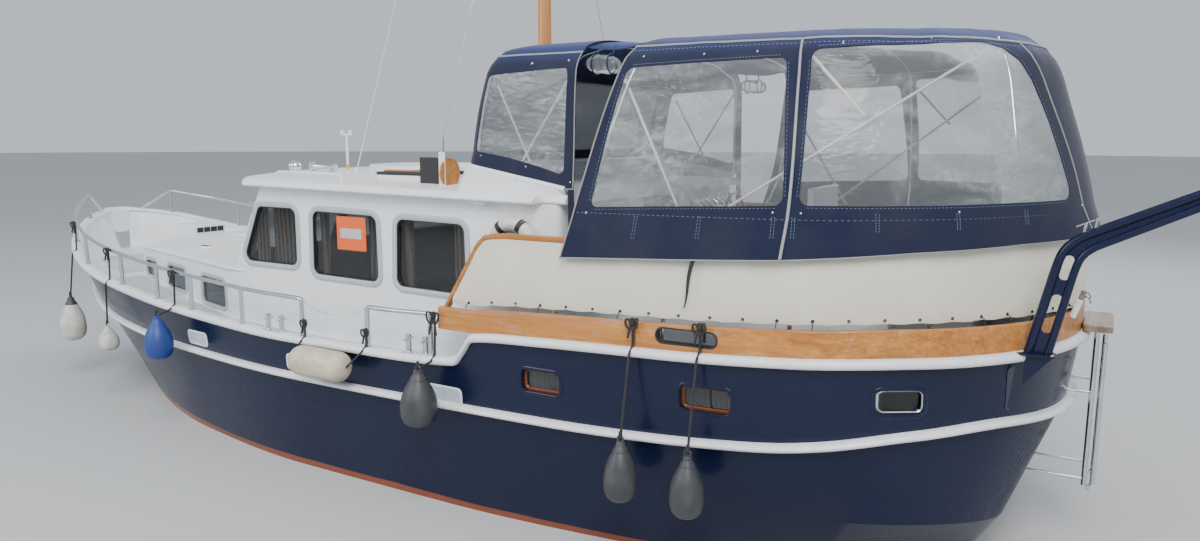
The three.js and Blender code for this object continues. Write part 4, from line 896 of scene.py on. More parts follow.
def on_dodger(u, rise, depth=0.0):
    """A point of the dodger at u metres along it and a share of its height, moved out by depth."""
    x, y = (np.interp(u, walked, dodger_line[:, axis]) for axis in (0, 1))
    away = np.array([np.interp(u, walked, dodger_out[:, axis]) for axis in (0, 1)])
    pull = 0.007 * (1 - rise) ** 3 * (0.5 - 0.5 * math.cos(math.tau * u / EYELET_APART))
    foot, top = float(dodger_foot(x)) + pull, float(rail_top(x)) - DODGER["rail"] + 0.001
    ripple = 0.009 * noise.noise(Vector((u * 1.7, rise * 1.2, 3.0)))
    ripple += 0.004 * noise.noise(Vector((u * 6, rise * 2, 0))) + 0.003 * math.sin(math.pi * rise)
    bulge = depth + ripple * min(1, 6 * rise, 6 * (1 - rise))
    return (x + away[0] * bulge, y + away[1] * bulge, foot + (top - foot) * rise)


def wrapped_band(u0, u1, rise0, rise1, depth, thick, step=0.045, rows=9):
    """A thin closed band on the dodger."""
    us = np.linspace(u0, u1, max(2, int((u1 - u0) / step) + 1))
    rises = np.linspace(rise0, rise1, rows)
    rings = []
    for u in us:
        outer = [on_dodger(u, rise, depth) for rise in rises]
        inner = [on_dodger(u, rise, depth - thick) for rise in reversed(rises)]
        rings.append(outer + inner)
    return loft(rings)


whole = walked[-1]
dodger = piece("cream_dodger", wrapped_band(0, whole, 0, 1, 0, 0.003), CREAM, slot="cream_canvas",
               smooth=60, stands_for=["dodger"])
seams = [wrapped_band(0, whole, low, high, 0.0012, 0.001, rows=3) for low, high in ((0.0, 0.07), (0.93, 1))]
for x in DODGER_SEAMS:
    port_u = float(np.interp(x, dodger_line[len(dodger_line) // 2:, 0], walked[len(walked) // 2:]))
    for u in (port_u, whole - port_u):
        seams.append(wrapped_band(u - 0.014, u + 0.014, 0.0, 1, 0.0014, 0.001, step=0.02))
piece("dodger_hems", joined(*seams), CREAM, slot="cream_canvas", smooth=60)


def washer(spot, away, wide, tube):
    """A small ring that faces away."""
    ahead = Vector(away).normalized()
    side = ahead.orthogonal().normalized()
    other = ahead.cross(side)
    turns = np.linspace(0, math.tau, 12, endpoint=False)
    path = [Vector(spot) + wide * (math.cos(a) * side + math.sin(a) * other) for a in turns]
    return rod(path, tube, 6, closed=True)


BLACK_CORD = cloth("black cord", (0.02, 0.02, 0.022), (0.05, 0.05, 0.05), sheen=0.0)[0]
eyelets, lashings = [], []
for u in np.arange(EYELET_APART / 2, whole, EYELET_APART):
    spot, beyond = on_dodger(u, 0.045, 0.003), on_dodger(u, 0.045, 0.103)
    x, y, z = spot
    away = (beyond[0] - x, beyond[1] - y, 0)
    eyelets.append(washer(spot, away, 0.0065, 0.0034))
    top_of_plank = float(plank_foot(x)) + PLANK["height"]
    reach = [0.04 * c / 0.1 for c in away]
    if round(u / EYELET_APART) % 3 == 0:
        lashings.append(rod([spot, (x + 0.6 * reach[0], y + 0.6 * reach[1], z - 0.012),
                             (x + 0.9 * reach[0], y + 0.9 * reach[1], top_of_plank - 0.002)], 0.0030, 6))
piece("dodger_eyelets", joined(*eyelets), IRON, slot="dark_steel")
piece("dodger_lashings", joined(*lashings), BLACK_CORD)

# Canopy: navy acrylic canvas over the aft deck, one sheet that wraps from the port side round the
# stern to the starboard side and closes over the top, with clear vinyl windows sewn in. It is cut
# flat first: u runs along the wall from its port front edge and v runs up it from the hem.
NAVY_CANVAS, tree, shader, source = cloth("navy canvas", (0.005, 0.008, 0.030), (0.008, 0.013, 0.048),
                                          fading=0.6, sheen=0.12)
# The cloth is painted a lighter blue towards the top of the canopy: a painted sheen where light falls on the
# roof.
sheen_lit_top = blended(tree, ramped(tree, height_of(tree), 3.20, 3.36), source.outputs["Color"],
                 (0.026, 0.048, 0.190, 1))
tree.links.new(sheen_lit_top, shader.inputs["Base Color"])
WHITE_THREAD = cloth("pale blue thread", (0.14, 0.20, 0.34), (0.30, 0.36, 0.46), sheen=0.0)[0]
GREY_PIPING = paint("grey piping", (0.28, 0.28, 0.28), grime=0.4, gloss=0.4)[0]

VINYL, tree, shader = material("clear vinyl", Roughness=0.10, IOR=1.5, Specular_IOR_Level=0.9)
place = place_of(tree)
smeared = stretched(tree, place, (1.0, 1.0, 2.6), Rotation=(0, 0.35, 0))
haze = clouds(tree, smeared, 1.9, 7.0, Distortion=0.8)
veil = product(tree, ramped(tree, haze, 0.40, 0.72), ramped(tree, clouds(tree, place, 26.0, 5.0), 0.2, 0.75))
# The vinyl is made more opaque, and so paler, at glancing angles: a painted reflection on top of its haze.
glancing_painted_reflection = node(tree, "ShaderNodeFresnel", {"IOR": 1.35}).outputs[0]
clear = node(tree, "ShaderNodeMapRange", {0: veil, 3: 0.11, 4: 0.34}).outputs[0]
alpha = total(tree, clear, glancing_painted_reflection, use_clamp=True)
tree.links.new(alpha, shader.inputs["Alpha"])
tree.links.new(blended(tree, veil, (0.46, 0.49, 0.51, 1), (0.74, 0.77, 0.79, 1)), shader.inputs["Base Color"])
creases = clouds(tree, smeared, 7.0, 2.0, Distortion=1.2)
tree.links.new(node(tree, "ShaderNodeBump",
                    {"Height": creases, "Distance": 0.012, "Strength": 0.7}).outputs[0],
               shader.inputs["Normal"])


class Tent:
    """A canvas cover described flat, by u along its wall and v up it, and where each spot goes."""

    def __init__(self, plan, levels, hem, ripple=0.006, reach=((2.0, 0), (5.0, 0))):
        # plan rows: x, y from the start of the wall to its middle; levels rows: v, x at the start,
        # x in the middle, half width, height; hem gives the height of the lower edge at x; reach
        # rows: v and how much of the rail's reach at the stern the cloth follows there
        self.plan = np.array(plan, float)
        self.levels = levels
        self.hem = hem
        self.ripple = ripple
        self.reach = reach
        runs = np.linalg.norm(np.diff(self.plan, axis=0), axis=1)
        self.walked = np.concatenate([[0], np.cumsum(runs)])
        self.half = float(self.walked[-1])
        first, last = self.plan[0][0], self.plan[-1][0]
        self.shares = (self.plan[:, 0] - first) / (last - first)
        self.facing = 1 if last < first else -1
        self.widths = self.plan[:, 1] / self.plan[:, 1].max()

    def bare(self, u, v):
        """The unmoved surface at arrays u and v."""
        folded = np.where(u > self.half, 2 * self.half - u, u)
        share = np.interp(folded, self.walked, self.shares)
        width = np.interp(folded, self.walked, self.widths)
        start, middle, wide, z = (smooth_between([(row[0], row[column]) for row in self.levels], v)
                                  for column in (1, 2, 3, 4))
        x = start + (middle - start) * share
        low, second = self.levels[0][0], self.levels[1][0]
        down = np.clip((second - v) / (second - low), 0, 1)
        z = np.where(v < second, self.levels[1][4] + (self.hem(x) - self.levels[1][4]) * down, z)
        x = x - smooth_between(self.reach, v) * stern_reach(width * wide)
        return np.stack([x, np.where(u > self.half, -1, 1) * width * wide, z], -1)

    def wrap(self, corners):
        """Places of flat corners (u, depth, v), depth being outward."""
        u, depth, v = np.array(corners, float).T
        v = np.minimum(v, self.levels[-1][0])
        step = 0.004
        along = self.bare(u + step, v) - self.bare(u - step, v)
        rising = self.bare(u, v) - self.bare(u, v - step)
        out = np.cross(along, rising)
        out /= self.facing * np.maximum(np.linalg.norm(out, axis=1), 1e-12)[:, None]
        mirrored_u = np.minimum(u, 2 * self.half - u)
        moved = []
        for a, b in zip(mirrored_u, v):
            small = 0.5 * noise.noise(Vector((a * 7, b * 3, 1.0)))
            moved.append(self.ripple * (noise.noise(Vector((a * 2.1, b * 1.6, 7.0))) + small))
        return self.bare(u, v) + out * (depth + np.array(moved))[:, None]

    def formed(self, form):
        return [tuple(spot) for spot in self.wrap(form[0])], form[1]

    def settle(self, made):
        """Wraps a flat object's mesh and joins it along the ridge."""
        top = self.levels[-1][0]
        held = bmesh.new()
        held.from_mesh(made.data)
        ridge = [face for face in held.faces if all(vertex.co.z > top - 1e-4 for vertex in face.verts)]
        bmesh.ops.delete(held, geom=ridge, context="FACES")
        places = self.wrap([tuple(vertex.co) for vertex in held.verts])
        for vertex, spot in zip(held.verts, places):
            vertex.co = spot
        bmesh.ops.remove_doubles(held, verts=held.verts, dist=0.0004)
        bmesh.ops.recalc_face_normals(held, faces=held.faces)
        held.to_mesh(made.data)
        held.free()


CLOTH_CELL = 0.05


def flat_sheet(u0, u1, v0, v1, depth, thick, step):
    """A thin flat sheet in (u, depth, v), divided into small cells so that it can be bent."""
    across = max(1, round((u1 - u0) / step))
    rows = max(1, round((v1 - v0) / step))
    us, vs = np.linspace(u0, u1, across + 1), np.linspace(v0, v1, rows + 1)
    rings = []
    for u in us:
        rings.append([(u, depth, v) for v in vs] + [(u, depth - thick, v) for v in reversed(vs)])
    corners, faces = loft(rings)
    faces = faces[:-2]
    wide = 2 * (rows + 1)
    for end in (0, across * wide):
        for r in range(rows):
            faces.append((end + r, end + r + 1, end + wide - 2 - r, end + wide - 1 - r))
    return corners, faces


def canvas_and_windows(name, tent, size, windows):
    """The canvas with its windows cut out, and the vinyl sewn in behind them."""
    (u0, u1), (v0, v1) = size
    canvas = mesh_object(name, flat_sheet(u0, u1, v0, v1, 0, 0.004, CLOTH_CELL), [NAVY_CANVAS])
    outward_faces(canvas)
    holes = joined(*[pushed(outline, 1, -0.05, 0.05) for outline in windows])
    carve(canvas, holes)
    sewn = []
    for number, outline in enumerate(windows):
        spots = np.array(outline)
        low, high = spots.min(0) - 0.02, spots.max(0) + 0.02
        pane = mesh_object(f"{name}_window_{number + 1}",
                           flat_sheet(low[0], high[0], low[1], high[1], -0.0045, 0.001, CLOTH_CELL), [VINYL])
        outward_faces(pane)
        middle = (low + high) / 2
        grown = [tuple(spot + 0.012 * np.sign(spot - middle)) for spot in spots]
        carve(pane, pushed(grown, 1, -0.05, 0.05), keep=True)
        sewn.append(pane)
    for made, slot_name in [(canvas, "navy_canvas")] + [(pane, "window_glass") for pane in sewn]:
        tent.settle(made)
        made.data.shade_smooth()
        made.data.set_sharp_from_angle(angle=math.radians(50))
        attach(made, "boat")
    return canvas, sewn


def sewn_sheets(sewn, outlines):
    """Reads the outline of each window and does nothing with it."""
    for pane, outline in zip(sewn, outlines):
        spots = np.array(outline)


def dashes(start, end, long=0.012, apart=0.019, wide=0.0011):
    """A line of stitches in the flat between two spots (u, v)."""
    start, end = np.array(start, float), np.array(end, float)
    length = np.linalg.norm(end - start)
    way = (end - start) / length
    side = np.array([-way[1], way[0]]) * wide
    forms = []
    for at in np.arange(0, length - long, apart):
        a, b = start + way * at, start + way * (at + long)
        section = ((-side, -0.001), (side, -0.001), (side, 0.0013), (-side, 0.0013))
        forms.append(loft([[(*(end_spot + across), deep) for across, deep in section]
                           for end_spot in (a, b)]))
    return shifted(joined(*forms), lambda u, v, depth: (u, depth, v))


def flat_line(spots, radius):
    """A round line on the flat cloth through (u, v) spots."""
    fine = []
    for a, b in zip(spots, spots[1:]):
        count = max(1, int(math.hypot(b[0] - a[0], b[1] - a[1]) / 0.06))
        fine += [(u, 0.002, v) for u, v in np.linspace(a, b, count, endpoint=False)]
    fine.append((spots[-1][0], 0.002, spots[-1][1]))
    return rod(fine, radius, 8)


HEM_Z = [
    # x, height
    (-5.60, 2.120), (-4.70, 2.070), (-4.00, 2.010), (-2.58, 1.930),
]
CANOPY_FORE = -2.58
plan_line = aft_line(CANOPY_FORE, -0.05)
plan_half = plan_line[len(plan_line) // 2:][::-1]
plan_half = [(x, y) for x, y, _ in plan_half]
PLAN_AFT, PLAN_WIDE = plan_half[-1][0], max(y for _, y in plan_half)
CANOPY_LEVELS = [
    # v, front edge, aft edge, half width, height
    (2.00, CANOPY_FORE, PLAN_AFT, PLAN_WIDE, 2.0),
    (2.30, -2.70, PLAN_AFT + 0.015, PLAN_WIDE - 0.015, 2.30),
    (3.05, -2.87, -5.30, 1.64, 3.05),
    (3.20, -2.91, -5.235, 1.57, 3.20),
    (3.29, -2.94, -5.15, 1.43, 3.29),
    (3.83, -2.95, -5.00, 0.90, 3.375),
    (4.30, -2.95, -4.80, 0.45, 3.392),
    (4.75, -2.95, -4.60, 0.0, 3.396),
]
canopy = Tent(plan_half, CANOPY_LEVELS, lambda x: np.interp(x, *np.array(HEM_Z).T),
              reach=((2.0, 1.22), (2.3, 0.72), (3.05, 0), (5.0, 0)))
ROUND = canopy.half
LONG = 2 * ROUND


def other_side(spots, long):
    """The same outline on the starboard half of a cloth that long."""
    return [(long - u, v) for u, v in reversed(spots)]


SIDE_LIGHT = rounded_corners([(0.06, 3.135), (1.285, 3.16), (1.385, 2.325), (0.115, 2.275)], 0.05)
AFT_LIGHT = rounded_corners([
    (1.455, 3.20), (2.72, 3.245), (2.90, 3.222), (3.03, 3.15), (3.12, 3.04), (3.22, 2.80), (3.36, 2.345),
    (1.475, 2.33),
], 0.06)
canopy_windows = [SIDE_LIGHT, AFT_LIGHT, other_side(AFT_LIGHT, LONG), other_side(SIDE_LIGHT, LONG)]
canvas, sewn = canvas_and_windows("canopy_canvas", canopy, ((0, LONG), (2.0, 4.75)), canopy_windows)
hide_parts("canopy_main")
sewn_sheets(sewn, canopy_windows)

# Sewn work on the canopy: grey piping along the shoulder, the hem and the aft corner, zips between
# the panels, rows of stitches, and bright press studs.
STUD_PLACES = [(0.155, 3.20), (0.66, 3.195), (1.064, 3.20), (1.663, 3.23), (2.30, 3.26), (1.499, 2.285),
               (1.335, 2.285), (0.10, 2.245), (2.408, 2.300), (3.50, 2.300)]
SEAM_PAIRS = [(0.466, 2.24), (0.893, 2.25), (1.344, 2.26), (1.461, 2.26), (1.927, 2.29), (2.401, 2.29),
              (2.90, 2.30)]
STUD = [(-0.001, 0.008), (0.002, 0.0075), (0.0045, 0.0055), (0.0055, 0.002)]
pipings = [flat_line([(0, 2.004), (LONG, 2.004)], 0.0045), flat_line([(0, 3.262), (LONG, 3.262)], 0.0055)]
zips = []
stitches = []
studs = []
for turn_over in (False, True):
    def over(spots):
        return other_side(spots, LONG) if turn_over else list(spots)
    pipings.append(flat_line(over([(3.18, 3.27), (3.27, 3.05), (3.42, 2.60), (3.58, 2.01)]), 0.0055))
    pipings.append(flat_line(over([(0.006, 2.01), (0.006, 3.26)]), 0.006))
    zips.append(flat_line(over([(1.372, 3.25), (1.440, 2.012)]), 0.0095))
    for u, v in SEAM_PAIRS:
        for shift in (-0.009, 0.009):
            stitches.append(dashes(*over([(u + shift, v), (u + shift + 0.02, v - 0.135)])))
    for rise in (2.245, 3.235):
        stitches.append(dashes(*over([(0.03, rise), (3.1, rise)]), long=0.016, apart=0.034))
    for outline in (SIDE_LIGHT, AFT_LIGHT):
        middle = np.mean(outline, 0)
        grown = [tuple(spot + 0.013 * np.sign(spot - middle)) for spot in np.array(outline)]
        for a, b in zip(grown, grown[1:] + grown[:1]):
            if math.dist(a, b) > 0.12:
                stitches.append(dashes(*over([a, b]), apart=0.024))
    for u, v in over(STUD_PLACES):
        studs.append(turned(STUD, (u, 0, v), (0, 1, 0), 12))


def sewn_on(name, forms, skin, tent=canopy, slot="navy_canvas"):
    """A piece of sewn work, made in the flat and wrapped with the cloth."""
    return piece(name, tent.formed(joined(*forms)), skin, slot=slot, smooth=50)


ZIP_GREY = paint("zip", (0.34, 0.35, 0.37), grime=0.5, gloss=0.45)[0]
sewn_on("canopy_piping", pipings, GREY_PIPING)
sewn_on("canopy_zips", zips, ZIP_GREY)
sewn_on("canopy_stitches", stitches, WHITE_THREAD)
sewn_on("canopy_studs", studs, STEEL, slot="stainless")

# Front canopy: a smaller navy hood over the steering position, open aft, with a window in front and
# one on each side; a flap of the same cloth joins it to the main canopy.
HOOD_AFT, HOOD_FORE, HOOD_CORNER, HOOD_HALF = -2.50, -1.545, 0.14, 1.537
corner_turns = np.linspace(0, math.pi / 2, 9)
hood_plan = [(HOOD_AFT, HOOD_HALF), (-2.0, HOOD_HALF)]
hood_plan += [(HOOD_FORE - HOOD_CORNER * (1 - math.sin(a)), HOOD_HALF - HOOD_CORNER * (1 - math.cos(a)))
              for a in corner_turns]
hood_plan += [(HOOD_FORE, 0.7), (HOOD_FORE, 0.0)]
HOOD_LEVELS = [
    # v, aft edge, front, half width, height
    (2.35, HOOD_AFT, -1.545, HOOD_HALF, 2.35),
    (2.60, HOOD_AFT, -1.567, 1.524, 2.60),
    (3.15, HOOD_AFT, -1.690, 1.497, 3.15),
    (3.24, HOOD_AFT, -1.718, 1.438, 3.24),
    (3.32, HOOD_AFT, -1.775, 1.352, 3.315),
    (3.75, HOOD_AFT, -1.960, 0.950, 3.380),
    (4.20, HOOD_AFT, -2.060, 0.500, 3.394),
    (4.65, HOOD_AFT, -2.110, 0.000, 3.397),
]
hood = Tent(hood_plan, HOOD_LEVELS, lambda x: np.interp(x, (-2.44, HOOD_FORE), (2.352, 2.5013)), ripple=0.005)
HOOD_LONG = 2 * hood.half
hood_side = rounded_corners([(0.085, 2.44), (0.86, 2.60), (0.86, 3.13), (0.085, 3.165)], 0.045)
hood_front = rounded_corners(rectangle(1.09, HOOD_LONG - 1.09, 2.60, 3.15), 0.05)
hood_windows = [hood_side, hood_front, other_side(hood_side, HOOD_LONG)]
hood_canvas, hood_sewn = canvas_and_windows("hood_canvas", hood, ((0, HOOD_LONG), (2.35, 4.65)), hood_windows)
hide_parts("canopy_front")
TAIL_AFT = -2.454
tail_rings = []
for z in np.linspace(2.38, 2.076, 14):
    y = HOOD_HALF + 0.002 * math.sin(14 * z)
    tail_rings.append([(HOOD_AFT, y, z), (HOOD_AFT, y - 0.004, z), (TAIL_AFT, y - 0.004, z),
                       (TAIL_AFT, y, z)])
for tail in twins("hood_tail", loft(tail_rings), NAVY_CANVAS, slot="navy_canvas",
                  stands_for=["canopy_front"]):
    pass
sewn_sheets(hood_sewn, hood_windows)
hood_pipings = [flat_line([(0, v), (HOOD_LONG, v)], thick) for v, thick in ((3.262, 0.005), (2.354, 0.004))]
hood_pipings += [flat_line([(u, 2.36), (u, 3.26)], 0.005) for u in (0.006, HOOD_LONG - 0.006)]
hood_studs = [turned([(-0.001, 0.008), (0.002, 0.0075), (0.0055, 0.002)], (u, 0, v), (0, 1, 0), 12)
              for u, v in [(0.1, 3.21), (0.45, 3.20), (0.03, 2.40), (0.4, 2.47), (0.8, 2.54), (1.6, 2.54),
                           (3.0, 2.54)]]
sewn_on("hood_piping", hood_pipings, GREY_PIPING, hood)
sewn_on("hood_studs", hood_studs, STEEL, hood, slot="stainless")

FLAP_ROWS = [(-1.39, 3.294), (-1.18, 3.345), (-0.9, 3.382), (-0.45, 3.397), (0, 3.400), (0.45, 3.397),
             (0.9, 3.382), (1.18, 3.345), (1.39, 3.294)]
flap_corners = []
for share in np.linspace(0, 1, 9):
    for y, z in FLAP_ROWS:
        hang = 0.022 * math.sin(math.pi * share) + 0.006 * noise.noise(Vector((share * 5, y * 4, 2.0)))
        flap_corners.append((-2.965 + 0.477 * share, y * (1 - 0.03 * share), z + 0.004 - hang))
row = len(FLAP_ROWS)
flap_faces = [(r * row + c, r * row + c + 1, (r + 1) * row + c + 1, (r + 1) * row + c)
              for r in range(8) for c in range(row - 1)]
flap = piece("canopy_flap_cloth", (flap_corners, flap_faces), NAVY_CANVAS, slot="navy_canvas", smooth=60,
             stands_for=["canopy_flap"])
thicker = flap.modifiers.new("cloth", "SOLIDIFY")
thicker.thickness = 0.004
settle(flap)

# Frame under the canopies: bent stainless tubes from rail to rail, with struts that brace them and
# a few more inside the hood. The struts show through the windows.
BOW_HEIGHTS = (2.0, 2.30, 3.05, 3.20, 3.29, 3.83)
BOW_PLACES = [
    # x at each of those heights up the cloth
    (-2.70, -2.79, -2.96, -3.00, -3.03, -3.04),
    (-4.05, -4.05, -4.05, -4.05, -4.05, -4.05),
    (-5.25, -5.18, -5.05, -5.00, -4.95, -4.93),
]
BOW_RADIUS = 0.012


def canopy_at(x, v):
    """The port wall of the canopy at x and v, in line with the cloth."""
    us = np.linspace(0, canopy.half, 240)
    places = canopy.bare(us, np.full(240, v))
    order = np.argsort(places[:, 0])
    return Vector((x, float(np.interp(x, places[order, 0], places[order, 1])),
                   float(np.interp(x, places[order, 0], places[order, 2]))))


def under_cloth(x, v, gap=0.021):
    spot = canopy_at(x, v)
    lift = 0 if v < 3.2 else gap * min(1, (v - 3.2) / 0.4)
    return Vector((spot.x, max(0.0, spot.y - (gap if v < 3.6 else 0)), spot.z - lift))


def rail_y(x):
    """Half width of the handrail's centre line at x."""
    half_line = rail_line[rail_line[:, 1] > 0]
    half_line = half_line[np.argsort(half_line[:, 0])]
    return float(np.interp(x, half_line[:, 0], half_line[:, 1]))


BOW_FOOT = [(-0.004, 0.026), (0.006, 0.026), (0.010, 0.018), (0.04, 0.017)]
tubes = []
for places in BOW_PLACES:
    x = places[0]
    foot = Vector((x, rail_y(x), float(rail_top(x)) - 0.004))
    climb = [foot] + [under_cloth(float(np.interp(v, BOW_HEIGHTS, places)) if v < 3.83 else places[-1], v)
                      for v in (2.30, 2.70, 3.05, 3.20, 3.29, 3.45, 3.83, 4.30)]
    whole_bow = [tuple(p) for p in climb] + [(p.x, -p.y, p.z) for p in reversed(climb)]
    tubes.append(rod(whole_bow, BOW_RADIUS, 12, bend=0.05))
    for side in (1, -1):
        tubes.append(turned(BOW_FOOT, (x, side * foot.y, foot.z), sides=16))
shoulder = [tuple(under_cloth(places[3], 3.25)) for places in BOW_PLACES]
tubes.append(both_sides(rod(shoulder, 0.009, 10)))
piece("canopy_bow_tubes", joined(*tubes), STEEL, slot="stainless", stands_for=["canopy_bows"])
WHITE_TUBE = paint("white tube", (0.82, 0.83, 0.83), grime=0.2, gloss=0.3)[0]
STRUTS = [
    # x and v of the upper end, x and height of the lower end
    (-2.93, 3.05, -3.475, 2.08), (-4.92, 3.21, -3.34, 2.08), (-4.06, 3.18, -4.38, 2.83),
]
STRUT_EYE = [(-0.014, 0.006), (-0.012, 0.013), (0.012, 0.013), (0.014, 0.006)]
struts = []
for x0, v0, x1, z1 in STRUTS:
    a = under_cloth(x0, v0, 0.035)
    b = Vector((x1, rail_y(x1) if z1 < 2.2 else under_cloth(x1, z1, 0.035).y - 0.03, z1))
    struts.append(rod([tuple(a), tuple(b)], 0.009, 10))
    for end in (a, b):
        struts.append(turned(STRUT_EYE, end, (0, 1, 0), 12))
HOOD_BARS = [((-1.826, 1.462, 3.06), (-2.16, 1.495, 2.45)), ((-2.445, 1.462, 3.13), (-2.044, 1.490, 2.529)),
             ((-2.044, 1.490, 2.529), (-1.90, 1.500, 2.46))]
for a, b in HOOD_BARS:
    struts.append(rod([a, b], 0.009, 10))
hood_bow = [(-2.425, 1.525, 2.36), (-2.455, 1.470, 3.12), (-2.455, 1.40, 3.238), (-2.455, 0.95, 3.352),
            (-2.455, 0.0, 3.374)]
hood_bow += [(x, -y, z) for x, y, z in reversed(hood_bow[:-1])]
piece("canopy_struts", both_sides(joined(*struts)), WHITE_TUBE, slot="white_paint")
piece("hood_bow", rod(hood_bow, 0.011, 12, bend=0.08), STEEL, slot="stainless")

# Rolled curtain: the clear vinyl sheet for the gap between the canopies, rolled up and hung under
# the cloth on each side by two navy straps.
roll_rings = []
for share in np.linspace(0, 1, 15):
    wide = 0.060 * (1 - 0.5 * abs(2 * share - 1) ** 4)
    ring = []
    for a in np.linspace(0, math.tau, 22, endpoint=False):
        r = wide * (1 + 0.22 * noise.noise(Vector((9 * share, 2.2 * math.cos(a), 2.2 * math.sin(a)))))
        ring.append((-2.53 - 0.24 * share, 1.40 + r * math.cos(a), 3.185 - 0.02 * share + r * math.sin(a)))
    roll_rings.append(ring)
for roll in twins("rolled_curtain", loft(roll_rings), VINYL, slot="window_glass", smooth=60):
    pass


def circle(centre, wide, axis, count):
    """Points round a circle that faces along an axis."""
    turns = np.linspace(0, math.tau, count, endpoint=False)
    flat = [(wide * math.cos(a), wide * math.sin(a)) for a in turns]
    return [tuple(np.add(centre, (*spot[:axis], 0, *spot[axis:]))) for spot in flat]


straps = [rod(circle((x, 1.40, 3.18), 0.064, 0, 16), 0.005, 6, closed=True) for x in (-2.59, -2.71)]
hangers = [rod([(x, 1.385, 3.24), (x, 1.345, 3.30)], 0.005, 6) for x in (-2.59, -2.71)]
piece("roll_straps", both_sides(joined(*straps, *hangers)), NAVY_CANVAS, slot="navy_canvas")

# Hem strap: a loose end of black webbing, sewn to the hem of the canopy, that hangs down over the
# dodger on the port side and narrows to its tip.
strap_rings = []
for share in np.linspace(0, 1, 13):
    x = -3.530 + 0.080 * share + 0.012 * math.sin(5 * share)
    y = float(level_y(SHEER, x)) - 0.058 + 0.012 * share
    z = 2.040 - 0.345 * share
    wide = 0.014 * (1 - 0.8 * share**1.5)
    strap_rings.append([(x - wide, y, z), (x + wide, y + 0.004, z), (x + wide, y + 0.006, z),
                        (x - wide, y + 0.002, z)])
strap = piece("hem_strap", loft(strap_rings), BLACK_CORD)

# Guard rails: bent stainless tube on stanchions that stand on the strake, with a chain across the
# boarding gate on each side.
RAIL_RADIUS, RAIL_ABOVE, RAIL_INSET = 0.0175, 0.30, 0.014
STANCHIONS = (5.10, 4.45, 3.63, 2.65, 1.90, 1.32, 0.56, -0.19, -0.90, -1.515)


def rail_point(x, above=RAIL_ABOVE):
    return (x, float(level_y(SHEER, x)) - RAIL_INSET, float(sheer_z(x)) + STRAKE["cap"] + above)


bow_end = [(5.33, 0.25, float(sheer_z(5.33)) + 0.01), (5.10, rail_point(5.10)[1], 1.99)]
long_run = [rail_point(x) for x in np.arange(4.8, -0.18, -0.35)]
fore_run = [*bow_end, rail_point(4.62), *long_run, rail_point(-0.19), rail_point(-0.205, 0.02)]
aft_run = [rail_point(-0.885, 0.02), *[rail_point(x) for x in (-0.90, -1.2, -1.53)]]
rails = [rod(run, RAIL_RADIUS, 14, bend=bend) for run, bend in ((fore_run, 0.03), (aft_run, 0.02))]
for x in STANCHIONS[:-1]:
    top = 1.99 - float(sheer_z(x)) - STRAKE["cap"] if x > 5 else RAIL_ABOVE
    rails.append(rod([rail_point(x, -0.004), rail_point(x, top - 0.004)], RAIL_RADIUS * 1.08, 12))
rails.append(rod([rail_point(STANCHIONS[-1], -0.004), rail_point(STANCHIONS[-1])], RAIL_RADIUS * 1.08, 12))
FOOT_PLATE = [(0, 0.032), (0.005, 0.032), (0.008, 0.024), (0.014, 0.020)]
rails += [turned(FOOT_PLATE, rail_point(x, -0.001), sides=20) for x in STANCHIONS]
chain_a, chain_b = Vector(rail_point(-0.20, 0.285)), Vector(rail_point(-0.89, 0.285))
CHAIN_LINKS, CHAIN_SAG = 34, 0.078
LINK_LONG, LINK_WIDE = 0.0125, 0.0062
links = []
for i in range(CHAIN_LINKS):
    share = (i + 0.5) / CHAIN_LINKS
    spot = chain_a.lerp(chain_b, share) - Vector((0, 0, CHAIN_SAG * 4 * share * (1 - share)))
    ahead = (chain_b - chain_a).normalized() - Vector((0, 0, CHAIN_SAG * 4 * (1 - 2 * share) / 0.69))
    ahead.normalize()
    side = ahead.cross(Vector((0, 0, 1) if i % 2 else (0, 1, 0))).normalized()
    loop = [spot + ahead * LINK_LONG * math.cos(a) + side * LINK_WIDE * math.sin(a)
            for a in np.linspace(0, math.tau, 10, endpoint=False)]
    links.append(rod(loop, 0.0022, 6, closed=True))
rail, chain = joined(*rails), joined(*links)
for side, rail_form, chain_form in (("port", rail, chain), ("starboard", mirrored(rail), mirrored(chain))):
    piece(f"guard_rail_tube_{side}", rail_form, STEEL, slot="stainless", stands_for=[f"guard_rail_{side}"])
    piece(f"gate_chain_{side}", chain_form, STEEL, slot="stainless")

# Decks and hull fittings: pale anti-slip paint in panels, a welded doubler plate under the davit,
# and pale panels with white edges on the topsides.
NON_SKID = paint("anti-slip deck paint", (0.52, 0.58, 0.64), grime=0.5, gloss=0.6, bump=0.003)[0]
PALE_PANEL = paint("pale panel", (0.50, 0.58, 0.68), grime=0.3, gloss=0.25)[0]
DECK_PANELS = [
    # fore end, aft end, inner and outer edge as shares from the cabin side to the bulwark
    (1.00, 0.10, 0.10, 0.86), (0.04, -0.86, 0.10, 0.86), (-0.92, -1.55, 0.10, 0.86), (2.10, 1.12, 0.10, 0.88),
    (3.20, 2.16, 0.10, 0.90),
]


def cabin_y(x):
    """Half width of the cabin at x: the saloon, then the tapering fore cabin."""
    return 1.56 if x < 1.09 else 1.56 - 0.53 * (x - 1.09) / 2.16


def deck_strip(x0, x1, edges):
    """A thin plate on the deck; edges gives its inner and outer half breadth at x."""
    rings = []
    for x in np.linspace(x0, x1, 12):
        inner, outer = edges(float(x))
        z = float(deck_z(x))
        rings.append([(x, inner, z - 0.002), (x, outer, z - 0.002), (x, outer, z + 0.002),
                      (x, inner, z + 0.002)])
    return loft(rings)


def between(low, high):
    """Edges at two shares of the way from the cabin side to the bulwark."""
    def edges(x):
        start = cabin_y(x)
        room = float(topside_y(x, deck_z(x))) - BULWARK - start
        return start + room * low, start + room * high
    return edges


